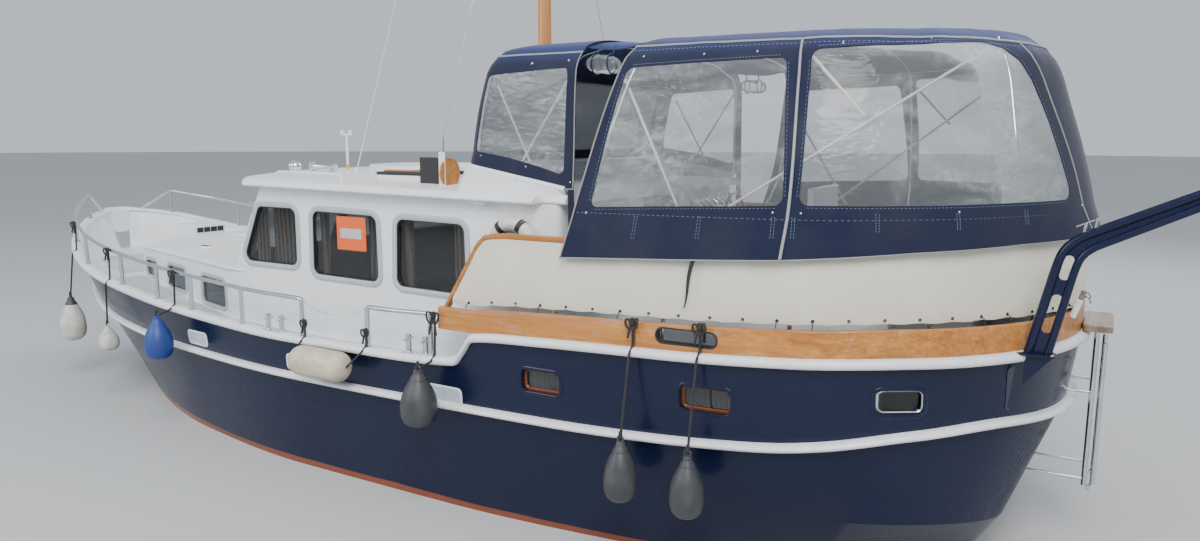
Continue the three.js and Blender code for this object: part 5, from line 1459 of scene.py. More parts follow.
strips = [deck_strip(aft, fore, between(low, high)) for fore, aft, low, high in DECK_PANELS]
strips += [deck_strip(3.36, 4.02, lambda x: (0.03, 0.88 * (float(level_y(SHEER, x)) - 0.12))),
           deck_strip(4.08, 4.66, lambda x: (0.03, 0.84 * (float(level_y(SHEER, x)) - 0.12)))]
piece("anti_slip_panels", both_sides(joined(*strips)), NON_SKID, slot="white_paint")
SIDE_PANELS = [(1.13, 1.42, 0.87, 0.985), (-0.29, 0.01, 0.85, 0.97), (-1.78, -1.48, 0.83, 0.945)]
EDGING = [(-0.006, -0.004), (-0.006, 0.005), (0.006, 0.005), (0.009, 0.001), (0.009, -0.004)]
plates, edgings = [], []
for aft, fore, low, high in SIDE_PANELS:
    outline = rounded_corners(rectangle(aft, fore, low, high), 0.03)
    plates.append(shifted(pushed(outline, 1, -0.004, 0.003), on_side()))
    edgings.append(shifted(rim(outline, EDGING, 1), on_side()))
piece("topside_panels", both_sides(joined(*plates)), PALE_PANEL, slot="white_paint")
piece("topside_panel_edges", both_sides(joined(*edgings)), WHITE, slot="white_paint")
doubler = rounded_corners(rectangle(-5.44, -5.17, 1.12, 1.40), 0.03)
doubler_plate = shifted(pushed(doubler, 1, -0.01, 0.006), on_side())
piece("davit_doubler", doubler_plate, NAVY, slot="navy_paint", bevel=0.002)

# Fore cabin: a low steel trunk with a cambered top and rounded edges, painted white, with a moulding
# along its edge, small framed windows, a vent and a hatch on top, and a locker on the deck ahead.
TRUNK = {"aft": 1.03, "fore": 3.25, "top": 1.55, "crown": 0.048, "wall": 0.04, "round": 0.028}


def trunk_section(x, inset, low, lift=0.0):
    """The trunk's section at x, from the port foot over the top to the starboard foot."""
    wide = cabin_y(x) - inset
    top = TRUNK["top"] - lift
    r = TRUNK["round"]
    half = [(wide, low)]
    half += [(wide - r * (1 - math.cos(a)), top - r * (1 - math.sin(a)))
             for a in np.linspace(0, math.pi / 2, 6)]
    half += [(y * wide, top + TRUNK["crown"] * (1 - y**2.6)) for y in (0.93, 0.85, 0.72, 0.55, 0.35, 0.15)]
    return [(x, y, z) for y, z in half] + [(x, -y, z) for y, z in reversed(half)]


trunk_xs = np.linspace(TRUNK["aft"], TRUNK["fore"], 12)
trunk = piece("fore_cabin_shell", loft([trunk_section(x, 0, float(deck_z(x)) - 0.012) for x in trunk_xs]),
              [WHITE, MAHOGANY], slot="white_paint", stands_for=["fore_cabin"])
trunk_inside = loft([trunk_section(x, TRUNK["wall"], 0.9, TRUNK["wall"])
                     for x in (TRUNK["aft"] - 0.1, 1.7, 2.3, 2.9, TRUNK["fore"] - TRUNK["wall"])])
HATCH = {"x0": 2.25, "x1": 2.80, "half": 0.29, "lip": 0.055}
hatch_half = HATCH["half"] - HATCH["lip"]
hatchway = box(HATCH["x0"] + HATCH["lip"], HATCH["x1"] - HATCH["lip"], -hatch_half, hatch_half, 1.4, 1.8)
TRUNK_WINDOWS = [(1.24, 1.745, 1.15, 1.405), (2.14, 2.58, 1.19, 1.415), (2.88, 3.18, 1.245, 1.41)]
WINDOW_FRAME = [(-0.005, -0.012), (-0.005, 0.005), (0.002, 0.009), (0.024, 0.010), (0.033, 0.005),
                (0.034, -0.004)]
trunk_outlines = [rounded_corners(rectangle(*row), 0.05) for row in TRUNK_WINDOWS]
carve(trunk, trunk_inside, hatchway, joined(*[pushed(outline, 1, -2.0, 2.0) for outline in trunk_outlines]))
paint_faces(trunk, lambda centre, normal: int(
    abs(centre.y) < cabin_y(centre.x) - 0.03 and centre.z < 1.53 and centre.x < 3.23 and normal.z < 0.3))


def on_trunk(x, y, z):
    return x, cabin_y(x) + y, z


piece("fore_cabin_window_frames",
      both_sides(joined(*[shifted(rim(outline, WINDOW_FRAME, 1), on_trunk) for outline in trunk_outlines])),
      ALUMINIUM, slot="stainless")
piece("fore_cabin_glass",
      both_sides(joined(*[shifted(pushed(outline, 1, -0.020, -0.014), on_trunk)
                          for outline in trunk_outlines])),
      DARK_GLASS, slot="window_glass")
GREY_CURTAIN = cloth("grey curtain", (0.26, 0.26, 0.25), (0.17, 0.16, 0.15), fading=0.8)[0]
for number, (aft, fore, low, high) in enumerate(TRUNK_WINDOWS):
    hung = gathered(aft + 0.05, fore - 0.01, low - 0.01, high + 0.02, 7, 0.006)
    hung = shifted(hung, lambda x, y, z: (x, cabin_y(x) - 0.060 + y, z))
    for made in twins(f"fore_curtain_{number + 1}", hung, GREY_CURTAIN):
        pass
moulding = [(x, cabin_y(x) + 0.004, TRUNK["top"] - 0.018)
            for x in np.linspace(0.92, TRUNK["fore"] - 0.004, 12)]
piece("fore_cabin_moulding", both_sides(rod(moulding, 0.011, 10)), WHITE, slot="white_paint")
vent_top = TRUNK["top"] + TRUNK["crown"] * 0.55
vent = turned([(-0.02, 1.0), (0.004, 1.0), (0.012, 0.9), (0.014, 0.6), (0.0145, 0.01)], (0, 0, 0), sides=30)
VENT_X, VENT_Y = 2.34, 0.93
vent = shifted(vent, lambda x, y, z: (VENT_X + 0.10 * x, VENT_Y + 0.042 * y, vent_top + z))
piece("deck_vent", vent, WHITE, slot="white_paint")
slots = [box(VENT_X + x - 0.004, VENT_X + x + 0.004, VENT_Y - 0.024, VENT_Y + 0.024, vent_top + 0.010,
             vent_top + 0.0165)
         for x in np.linspace(-0.06, 0.06, 8)]
piece("deck_vent_slots", joined(*slots), IRON, slot="dark_steel")
piece("deck_locker", box(3.42, 3.80, -0.10, 0.29, FORE_DECK_Z - 0.003, 1.685), WHITE, slot="white_paint",
      bevel=0.010)
locker_slots = [box(3.416, 3.424, y, y + 0.078, 1.600, 1.655) for y in np.arange(-0.075, 0.25, 0.088)]
piece("deck_locker_slots", joined(*locker_slots), IRON, slot="dark_steel")
fore_lid = box(HATCH["x0"], HATCH["x1"] - 0.008, -HATCH["half"], HATCH["half"], 1.5983, 1.6333)
piece("fore_hatch_lid", fore_lid, WHITE, body="fore_hatch", slot="white_paint", bevel=0.010,
      stands_for=["fore_hatch"])
handle = [(2.31, -0.05, 1.632), (2.31, -0.05, 1.652), (2.31, 0.05, 1.652), (2.31, 0.05, 1.632)]
piece("fore_hatch_handle", rod(handle, 0.005, 8, bend=0.012), STEEL, body="fore_hatch", slot="stainless")

# Saloon: a welded steel house with a raked front, painted white, with big windows in rounded grey
# frames, tinted glass, striped curtains, and a varnished inside.
SALON = {"aft": -2.40, "foot": 1.07, "head": 0.66, "side": 1.56, "wall": 0.04, "low": 1.04, "knee": 1.55}
ROOF_LOW, ROOF_RISE = 2.25, 0.045


def roof_z(x):
    return ROOF_LOW + ROOF_RISE * (x - SALON["aft"]) / (SALON["foot"] - SALON["aft"])


RAKE = (SALON["foot"] - SALON["head"]) / (roof_z(SALON["head"]) - SALON["knee"])


def salon_front(z):
    return SALON["foot"] - max(0, z - SALON["knee"]) * RAKE


def salon_ring(z, inset, soft, aft, at_roof=False, lift=0.0):
    """One level of the saloon; at_roof makes it follow the roof's slope."""
    half = SALON["side"] - inset
    outline = rounded_corners(rectangle(aft, salon_front(z) - inset, -half, half), soft)
    return [(x, y, roof_z(x) + lift if at_roof else z) for x, y in outline]


head_z = roof_z(SALON["head"])
salon_rings = [salon_ring(z, 0, 0.045, SALON["aft"]) for z in (SALON["low"], SALON["knee"])]
salon_rings.append(salon_ring(head_z, 0, 0.045, SALON["aft"], True))
salon = piece("saloon_shell", loft(salon_rings), [WHITE, MAHOGANY], slot="white_paint", stands_for=["saloon"])
inside_aft = SALON["aft"] + SALON["wall"]
inside_rings = [salon_ring(z, SALON["wall"], 0.02, inside_aft) for z in (0.9, SALON["knee"])]
inside_rings.append(salon_ring(head_z, SALON["wall"], 0.02, inside_aft, True, 0.05))
salon_inside = loft(inside_rings)
SIDE_WINDOWS = {
    # lower aft, lower fore, upper fore and upper aft corner
    "fore": [(0.210, 1.625), (0.905, 1.625), (0.675, 2.115), (0.210, 2.115)],
    "mid": [(-0.715, 1.565), (0.025, 1.575), (0.010, 2.105), (-0.705, 2.095)],
    "aft": [(-1.590, 1.545), (-0.895, 1.555), (-0.915, 2.085), (-1.580, 2.075)],
}
SCREEN_LOW, SCREEN_HIGH = 1.69, 2.14
SCREENS = [
    # edges of the port, centre and starboard front screens, to port
    (0.50, 1.40), (-0.41, 0.41), (-1.40, -0.50),
]
side_outlines = [rounded_corners(spots, 0.07, 9) for spots in SIDE_WINDOWS.values()]
screen_outlines = [rounded_corners(rectangle(*edges, SCREEN_LOW, SCREEN_HIGH), 0.07, 9) for edges in SCREENS]


def on_screen(x, y, z):
    return salon_front(z) + x, y, z


doorway = box(-2.5, -2.3, -0.33, 0.33, 1.345, 2.225)
side_holes = joined(*[pushed(outline, 1, -2.0, 2.0) for outline in side_outlines])
screen_holes = joined(*[shifted(pushed(outline, 0, -0.2, 0.2), on_screen) for outline in screen_outlines])
carve(salon, salon_inside, side_holes, screen_holes, doorway)
paint_faces(salon, lambda centre, normal: int(
    abs(centre.y) < SALON["side"] - 0.03 and SALON["aft"] + 0.03 < centre.x < salon_front(centre.z) - 0.03))
BIG_FRAME = [(-0.004, -0.014), (-0.004, 0.006), (0.004, 0.011), (0.030, 0.012), (0.041, 0.007),
             (0.043, -0.004)]
SEAL = [(-0.012, -0.014), (-0.012, 0.002), (-0.006, 0.006), (-0.0035, 0.004), (-0.0035, -0.014)]


def on_salon(x, y, z):
    return x, SALON["side"] + y, z


def skin_node(name, skin):
    """Puts a skin on a part that is shown as it is modelled."""
    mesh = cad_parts[name].data
    mesh.materials.clear()
    mesh.materials.append(skin)


WINDOW_RINGS = [
    # name, section, skin, slot
    ("frames", BIG_FRAME, ALUMINIUM, "stainless"), ("seals", SEAL, IRON, "dark_steel"),
]
for label, section, skin, slot_name in WINDOW_RINGS:
    sides = [shifted(rim(outline, section, 1), on_salon) for outline in side_outlines]
    fronts = [shifted(rim(outline, section, 0), on_screen) for outline in screen_outlines]
    piece(f"saloon_window_{label}", joined(both_sides(joined(*sides)), *fronts), skin, slot=slot_name)
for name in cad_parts:
    if name.startswith(("pane_", "screen_")):
        skin_node(name, DARK_GLASS)
BROWN_CURTAIN, tree, shader, source = cloth("striped curtain", (0.34, 0.21, 0.15), (0.20, 0.12, 0.09),
                                            fading=0.7)
stripes = node(tree, "ShaderNodeTexWave", {"Vector": place_of(tree), "Scale": 16.0, "Distortion": 0.6},
               bands_direction="X").outputs[1]
striped = blended(tree, ramped(tree, stripes, 0.45, 0.6), source.outputs["Color"], (0.66, 0.54, 0.44, 1))
tree.links.new(striped, shader.inputs["Base Color"])
CURTAINS = [
    # window, aft edge, fore edge
    ("fore", 0.24, 0.58), ("fore", 0.64, 0.80), ("mid", -0.68, -0.56), ("mid", -0.10, 0.00),
    ("aft", -1.56, -1.42), ("aft", -1.02, -0.92),
]
CURTAIN_Y = 1.488
for number, (place, aft, fore) in enumerate(CURTAINS):
    low = SIDE_WINDOWS[place][0][1] - 0.02
    high = SIDE_WINDOWS[place][2][1] + 0.01
    hung = gathered(aft, fore, low, high, max(4, int((fore - aft) / 0.032)), 0.010)
    hung = shifted(hung, lambda x, y, z: (x + 0.03 * (z - low) * math.sin(9 * x), CURTAIN_Y + y, z))
    for made in twins(f"saloon_curtain_{number + 1}", hung, BROWN_CURTAIN):
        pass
rails = []
for aft_low, fore_low, fore_high, _ in SIDE_WINDOWS.values():
    height = fore_high[1] + 0.012
    ends = [(aft_low[0] - 0.02, CURTAIN_Y, height), (fore_low[0] - 0.03, CURTAIN_Y, height)]
    rails.append(rod(ends, 0.006, 8))
    rails.append(box(aft_low[0] - 0.03, aft_low[0] - 0.016, 1.482, 1.521, height - 0.008, height + 0.008))
piece("saloon_curtain_rails", both_sides(joined(*rails)), STEEL, slot="stainless")
SIGN = (-0.57, -0.25, 1.80, 2.07)
ORANGE = paint("orange board", (0.80, 0.13, 0.02), grime=0.1, gloss=0.4)[0]
PAPER = paint("grey paper", (0.50, 0.49, 0.47), grime=0.2, gloss=0.6)[0]
piece("window_board", pushed(rounded_corners(rectangle(*SIGN), 0.008), 1, 1.5438, 1.5470), ORANGE)
piece("window_board_band", pushed(rectangle(SIGN[0] + 0.05, SIGN[1] - 0.04, 1.895, 1.975), 1, 1.5465, 1.5480),
      PAPER)
skin_node("saloon_sole", MAHOGANY)

# Cabin roof: a cambered steel plate with a rounded edge that overhangs the front screen, with a
# gutter along each side, grab rails, the mast's shoe and the frame of the skylight.
ROOF_EDGE = [
    # x, half width
    (-2.45, 1.565), (-2.262, 1.565), (-2.238, 1.640), (0.70, 1.640), (0.79, 1.625), (0.85, 1.570),
    (0.885, 1.45), (0.905, 1.25), (0.920, 0.95), (0.930, 0.60),
]
ROOF_THICK, CAMBER = 0.050, 0.055


def roof_top(x, y):
    return roof_z(x) + ROOF_THICK + CAMBER * (1 - min(1.0, abs(y) / 1.64) ** 3.2)


roof_rings = []
for x, wide in ROOF_EDGE:
    base = roof_z(x) + 0.0004
    half = [(wide - 0.012, base), (wide - 0.002, base + 0.006), (wide, base + 0.020),
            (wide - 0.006, base + 0.036)]
    half += [(y * wide, roof_top(x, y * wide))
             for y in (0.985, 0.96, 0.92, 0.86, 0.78, 0.66, 0.5, 0.33, 0.16)]
    roof_rings.append([(x, y, z) for y, z in half] + [(x, -y, z) for y, z in reversed(half)])
SKYLIGHT = {"x0": -0.96, "x1": -0.40, "y0": 0.69, "y1": 1.24, "z": 2.3932, "lip": 0.045, "thick": 0.034}
roof = piece("roof_plate", loft(roof_rings), WHITE, slot="white_paint", stands_for=["roof"])


def over_skylight(inset, low, high):
    """A box over the skylight, that far inside its outline."""
    return box(SKYLIGHT["x0"] + inset, SKYLIGHT["x1"] - inset, SKYLIGHT["y0"] + inset, SKYLIGHT["y1"] - inset,
               low, high)


sky_z = SKYLIGHT["z"]
skyway = over_skylight(SKYLIGHT["lip"], 2.2, 2.6)
carve(roof, skyway)
sky_frame = piece("skylight_frame", over_skylight(0.004, 2.30, sky_z), WHITE, slot="white_paint")
carve(sky_frame, skyway)
piece("skylight_lid", over_skylight(0, sky_z + 0.0003, sky_z + SKYLIGHT["thick"] - 0.008), IRON,
      body="roof_hatch", slot="dark_steel", bevel=0.006, stands_for=["roof_hatch"])
batten = box(SKYLIGHT["x0"] + 0.02, SKYLIGHT["x1"] - 0.02, SKYLIGHT["y1"] - 0.12, SKYLIGHT["y1"] - 0.07,
             sky_z + 0.026, sky_z + 0.040)
piece("skylight_batten", batten, TEAK, body="roof_hatch", slot="varnished_wood", bevel=0.004)
MAST_X, PIVOT_Z = -1.24, 2.56
SHOE_PLATES = [
    # half length, foot, rise above the pivot, corner radius, inner and outer face
    (0.075, 2.29, 0.045, 0.022, 0.076, 0.088),
    (0.03, 2.285, 0.03, 0.012, 1.394, 1.402),
]
shoe = []
for half, foot, above, soft, inner, outer in SHOE_PLATES:
    outline = rounded_corners(rectangle(MAST_X - half, MAST_X + half, foot, PIVOT_Z + above), soft)
    shoe.append(both_sides(pushed(outline, 1, inner, outer)))
piece("mast_shoe", joined(*shoe), WHITE, slot="white_paint", bevel=0.0015)
gutter = [(x, 1.643, roof_z(x) + 0.012) for x in (-2.24, 0.74)]
GRAB_RAIL = {"x0": -0.2, "x1": 0.6, "y": 1.42, "rise": 0.045}
grab = []
for x, inward in ((GRAB_RAIL["x0"], 0.02), (GRAB_RAIL["x1"], -0.02)):
    base = roof_top(x, GRAB_RAIL["y"])
    grab += [(x, GRAB_RAIL["y"], base - 0.003), (x + inward, GRAB_RAIL["y"], base + GRAB_RAIL["rise"])]
grab[2:] = reversed(grab[2:])
piece("roof_gutters", both_sides(rod(gutter, 0.017, 12)), WHITE, slot="white_paint")
piece("roof_grab_rails", both_sides(rod(grab, 0.010, 10, bend=0.03)), WHITE, slot="white_paint")
side_lamp = turned([(-0.002, 0.9), (0.02, 1.0), (0.032, 0.85), (0.040, 0.45), (0.042, 0.01)], (0, 0, 0),
                   (0, 0, -1), 24)
piece("side_lamps",
      both_sides(shifted(side_lamp, lambda x, y, z: (-1.755 + 0.065 * x, 1.600 + 0.030 * y, 2.262 + z))),
      WHITE, slot="white_plastic")
OVAL = {"x": 0.03, "rx": 0.64, "ry": 0.62}
oval_profile = [(0.0, 2.30), (0.0, 2.432), (0.008, 2.440), (0.032, 2.440), (0.040, 2.432), (0.040, 2.30)]
oval_rings = []
for a in np.linspace(0, math.tau, 64, endpoint=False):
    oval_rings.append([(OVAL["x"] + (OVAL["rx"] - far) * math.cos(a), (OVAL["ry"] - far) * math.sin(a), z)
                       for far, z in oval_profile])
piece("oval_coaming", loft(oval_rings, closed=True), WHITE, slot="white_paint", stands_for=["roof_coaming"])
slats = []
for y in np.arange(-0.54, 0.55, 0.09):
    reach = (OVAL["rx"] - 0.046) * math.sqrt(max(0.0, 1 - (y / (OVAL["ry"] - 0.02)) ** 2))
    slats.append(box(OVAL["x"] - reach, OVAL["x"] + reach, y - 0.041, y + 0.041, 2.385, 2.402))
piece("oval_slats", joined(*slats), NON_SKID, slot="white_paint", bevel=0.002)

# Things on the roof: side light boards, a searchlight, a horn, a wind sensor on a pole and a whip
# aerial, each screwed down on its own foot.
LENS_COLOURS = {"port": (0.55, 0.02, 0.012), "starboard": (0.01, 0.30, 0.08)}
for side_name, side in (("port", 1), ("starboard", -1)):
    y = side * 1.33
    board = pushed(rounded_corners(rectangle(-1.245, -0.965, 2.335, 2.545), 0.006), 1, y - 0.010, y + 0.010)
    piece(f"light_board_{side_name}", board, IRON, slot="dark_steel", bevel=0.002,
          stands_for=[f"nav_board_{side_name}"])
    disc = turned([(0, 0.105), (0.003, 0.112), (0.019, 0.112), (0.022, 0.105)], (-1.268, y, 2.432), (1, 0, 0),
                  36)
    ledge = box(-1.29, -0.96, y - 0.012, y + 0.022, 2.318, 2.337)
    feet = [box(x - 0.018, x + 0.018, y - 0.012, y + 0.012, 2.298, 2.319) for x in (-1.24, -1.02)]
    piece(f"light_board_wood_{side_name}", joined(disc, ledge, *feet), TEAK, slot="varnished_wood",
          bevel=0.002)
    lens_skin = paint(f"{side_name} light lens", LENS_COLOURS[side_name], grime=0.2, gloss=0.12)[0]
    lens_x, lens_y = -1.225, y + side * 0.004
    lens_form = turned([(0, 0.032), (0.004, 0.034), (0.10, 0.034), (0.104, 0.030)], (lens_x, lens_y, 2.36),
                       sides=24)
    piece(f"side_light_{side_name}", lens_form, lens_skin)
    caps = [turned([(0, 0.037), (0.012, 0.037), (0.016, 0.030)], (lens_x, lens_y, z), sides=24)
            for z in (2.346, 2.462)]
    piece(f"side_light_case_{side_name}", joined(*caps), IRON, slot="dark_steel")

CHROME = metal("chrome", (0.80, 0.81, 0.82), tarnish=0.08, gloss=0.05)
bowl = [(-0.052, 0.002), (-0.048, 0.020), (-0.036, 0.038), (-0.018, 0.049), (0, 0.052), (0.018, 0.050),
        (0.022, 0.053), (0.028, 0.053), (0.030, 0.047)]
LAMP = (0.70, 1.12, 2.435)
lamp_stand = turned([(0, 0.036), (0.006, 0.036), (0.010, 0.020), (0.06, 0.012), (0.075, 0.012)],
                    (*LAMP[:2], roof_top(*LAMP[:2]) - 0.003))
piece("searchlight_body", joined(turned(bowl, LAMP, (1, 0, 0), 32), lamp_stand), CHROME, slot="stainless",
      stands_for=["searchlight"])
lamp_glass = turned([(0.024, 0.046), (0.034, 0.044), (0.040, 0.028), (0.042, 0.002)], LAMP, (1, 0, 0), 32)
piece("searchlight_lens", lamp_glass, DARK_GLASS, slot="window_glass")
horn_bell = [(0, 0.010), (0.06, 0.011), (0.16, 0.017), (0.22, 0.027), (0.25, 0.042), (0.256, 0.046),
             (0.250, 0.038), (0.20, 0.016)]
horn_z = roof_top(0.6, 0.86) + 0.042
horn_at = (0.52, 0.86, horn_z)
horn = joined(turned(horn_bell, horn_at, (1, 0, 0), 24),
              turned([(-0.05, 0.018), (-0.045, 0.024), (0.0, 0.024), (0.006, 0.014)], horn_at, (1, 0, 0), 20),
              box(0.50, 0.54, 0.85, 0.87, horn_z - 0.050, horn_z - 0.008),
              box(0.49, 0.55, 0.835, 0.885, horn_z - 0.050, horn_z - 0.042))
piece("roof_horn", horn, CHROME, slot="stainless")
POLE_X, POLE_Y, POLE_ARM = 0.28, 0.90, 0.052
pole_foot = roof_top(POLE_X, POLE_Y) - 0.003
arm = [(POLE_X + shift, POLE_Y, pole_foot + 0.34) for shift in (-POLE_ARM, POLE_ARM)]
pole_forms = [turned([(0, 0.030), (0.006, 0.030), (0.010, 0.014), (0.02, 0.011), (0.34, 0.011)],
                     (POLE_X, POLE_Y, pole_foot), sides=16), rod(arm, 0.008, 10)]
for x, y, z in arm:
    pole_forms.append(turned([(-0.012, 0.012), (0, 0.017), (0.030, 0.017), (0.034, 0.012)], (x, y, z + 0.005),
                             sides=16))
piece("sensor_pole", joined(*pole_forms), WHITE, slot="white_plastic")
YELLOW = paint("yellow tape", (0.75, 0.42, 0.03), grime=0.3, gloss=0.45)[0]
tape = turned([(0, 0.013), (0.002, 0.0135), (0.042, 0.0135), (0.044, 0.013)],
              (POLE_X, POLE_Y, pole_foot + 0.035), sides=16)
piece("sensor_tape", tape, YELLOW)
whip_foot = (0.22, 0.86, roof_top(0.22, 0.86) - 0.002)
whip_top = (-0.44, 0.86, 4.15)
piece("whip_aerial", joined(rod([whip_foot, whip_top], lambda share: 0.005 - 0.0032 * share, 8),
                            turned([(0, 0.026), (0.008, 0.026), (0.014, 0.012), (0.05, 0.010)], whip_foot,
                                   sides=16)),
      WHITE, slot="white_plastic")

# Bridge coaming: a welded steel rim round the steering position, painted white. It is lower towards
# the stern and has a round trim along its edge.
COAMING = {"aft": -2.44, "fore": -1.43, "fore_top": -1.55, "side": 1.55, "wall": 0.035, "top": 2.50,
           "top_aft": 2.35}


def coaming_top(x):
    fall = (COAMING["top"] - COAMING["top_aft"]) / (COAMING["fore_top"] - COAMING["aft"])
    return COAMING["top"] + fall * (x - COAMING["fore_top"])


def coaming_ring(inset, x_fore, aft, z=None, lift=0.0):
    half = COAMING["side"] - inset
    outline = rounded_corners(rectangle(aft, x_fore - inset, -half, half), 0.09)
    return [(x, y, (coaming_top(x) if z is None else z) + lift) for x, y in outline]


coaming = piece("bridge_coaming", loft([coaming_ring(0, COAMING["fore"], COAMING["aft"], 2.262),
                                        coaming_ring(0, COAMING["fore_top"], COAMING["aft"])]),
                WHITE, slot="white_paint", stands_for=["flybridge_coaming"])
carve(coaming, loft([coaming_ring(COAMING["wall"], COAMING["fore"], COAMING["aft"] - 0.3, 2.2),
                     coaming_ring(COAMING["wall"], COAMING["fore_top"], COAMING["aft"] - 0.3, None, 0.12)]))
lip_line = coaming_ring(COAMING["wall"] / 2, COAMING["fore_top"], COAMING["aft"] - 0.3, None, 0.002)
port_half = [spot for spot in lip_line if spot[0] > COAMING["aft"] + 0.01 and spot[1] > 0]
lip_end = (COAMING["aft"] + 0.012, COAMING["side"] - COAMING["wall"] / 2, coaming_top(COAMING["aft"]) + 0.002)
lip_path = [lip_end, *sorted(port_half, key=lambda spot: (spot[0], -spot[1]))]
lip_path += [(x, -y, z) for x, y, z in reversed(lip_path)]
piece("coaming_trim", rod(lip_path, 0.021, 12), WHITE, slot="white_paint")

# Companion door: a mahogany leaf in the aft bulkhead with a sunk panel and a small tinted light,
# hung on two brass hinges, with a turned brass knob.
BRASS = metal("dull brass", (0.42, 0.30, 0.12), tarnish=0.5, gloss=0.3)
DOOR = {"x0": -2.396, "x1": -2.364, "half": 0.324, "low": 1.351, "high": 2.219, "hinge_x": -2.4083,
        "hinge_y": 0.33}
leaf = piece("companion_leaf",
             box(DOOR["x0"], DOOR["x1"], -DOOR["half"], DOOR["half"], DOOR["low"], DOOR["high"]),
             MAHOGANY, body="companion_door", slot="varnished_wood", stands_for=["companion_door"])
light_outline = rounded_corners(rectangle(-0.17, 0.17, 1.86, 2.12), 0.05)
panel_hollow = rounded_corners(rectangle(-0.21, 0.21, 1.44, 1.76), 0.02)
carve(leaf, pushed(light_outline, 0, -2.5, -2.3), pushed(panel_hollow, 0, -2.5, DOOR["x0"] + 0.008))
piece("companion_light", pushed(light_outline, 0, -2.384, -2.376), DARK_GLASS, body="companion_door",
      slot="window_glass")
hinge_parts = []
for z in (1.50, 2.05):
    hinge_parts.append(turned([(0, 0.0078), (0.08, 0.0078)], (DOOR["hinge_x"], DOOR["hinge_y"], z), sides=16))
    hinge_parts.append(box(DOOR["hinge_x"] - 0.003, DOOR["x0"] + 0.002, DOOR["hinge_y"] - 0.040,
                           DOOR["hinge_y"] - 0.003, z + 0.005, z + 0.075))
KNOB = [(0, 0.022), (0.004, 0.022), (0.006, 0.008), (0.022, 0.009), (0.028, 0.018), (0.038, 0.020),
        (0.044, 0.010)]
knob = turned(KNOB, (DOOR["x0"] + 0.001, -0.25, 1.80), (-1, 0, 0), 20)
piece("companion_fittings", joined(*hinge_parts, knob), BRASS, body="companion_door", slot="stainless")

# Helm: a varnished console against the bulkhead with round gauges and a throttle, and a spoked
# wooden wheel with turned handles
CONSOLE = {"x0": -2.64, "x1": -2.46, "y0": -1.15, "y1": -0.42, "top": 2.18}
console_side = [(CONSOLE["x0"] + 0.06, 1.32), (CONSOLE["x1"], 1.32), (CONSOLE["x1"], CONSOLE["top"]),
                (CONSOLE["x0"], CONSOLE["top"] - 0.12), (CONSOLE["x0"], 1.90)]
piece("console_case", pushed(console_side, 1, CONSOLE["y0"], CONSOLE["y1"]), MAHOGANY, slot="varnished_wood",
      bevel=0.008, stands_for=["helm_console"])
slope = Vector((-0.12, 0, 0.18)).normalized()
gauges, dials = [], []
for y, wide in ((-1.02, 0.036), (-0.91, 0.045), (-0.66, 0.045), (-0.54, 0.036)):
    spot = (-2.545, y, 2.130)
    gauges.append(turned([(-0.01, wide), (0.008, wide), (0.011, wide * 0.9), (0.009, wide * 0.82)], spot,
                         slope, 24))
    dials.append(turned([(0, wide * 0.8), (0.0095, wide * 0.8)], spot, slope, 24))
lever = joined(turned([(-0.01, 0.03), (0.014, 0.03), (0.018, 0.022)], (-2.545, -0.785, 2.130), slope, 20),
               rod([(-2.548, -0.785, 2.135), (-2.59, -0.775, 2.235)], 0.005, 8),
               turned([(0, 0.008), (0.008, 0.014), (0.02, 0.014), (0.028, 0.006)], (-2.588, -0.7755, 2.230),
                      (-0.4, 0, 1), 16))
piece("gauge_rims", joined(*gauges, lever), CHROME, slot="stainless")
piece("gauge_dials", joined(*dials), IRON, slot="dark_steel")
WHEEL_AT, WHEEL_R = (-2.735, -0.785, 1.99), 0.23
HUB = [(-0.025, 0.018), (-0.02, 0.030), (-0.01, 0.034), (0.012, 0.034), (0.02, 0.026), (0.0945, 0.022)]
wheel_forms = [rod(circle(WHEEL_AT, WHEEL_R, 0, 48), 0.0135, 12, closed=True),
               turned(HUB, WHEEL_AT, (1, 0, 0), 24)]
SPOKE = [(0.020, 0.012), (0.05, 0.008), (0.10, 0.011), (0.14, 0.0075), (0.19, 0.009), (0.215, 0.009),
         (0.235, 0.008), (0.245, 0.0075), (0.258, 0.010), (0.270, 0.0095), (0.275, 0.003)]
for i in range(6):
    angle = math.tau * i / 6 + math.pi
    wheel_forms.append(turned(SPOKE, WHEEL_AT, (0, -math.cos(angle), -math.sin(angle)), 12))
piece("wheel_rim_and_spokes", joined(*wheel_forms), MAHOGANY, body="steering_wheel", slot="varnished_wood",
      stands_for=["steering_wheel"])

# Benches: painted plywood lockers with rounded corners and a low back; each has a loose foam
# cushion in blue cloth with a crowned top and a piped edge.
BLUE_CLOTH = cloth("blue cushion cloth", (0.05, 0.10, 0.22), (0.10, 0.15, 0.26), fading=0.6)[0]
BENCHES = {
    # x0, x1, y0, y1, seat height above the deck
    "helm": (-3.50, -3.08, -1.15, -0.42, 0.52),
    "aft": (-4.95, -4.45, -0.90, 0.90, 0.43),
}


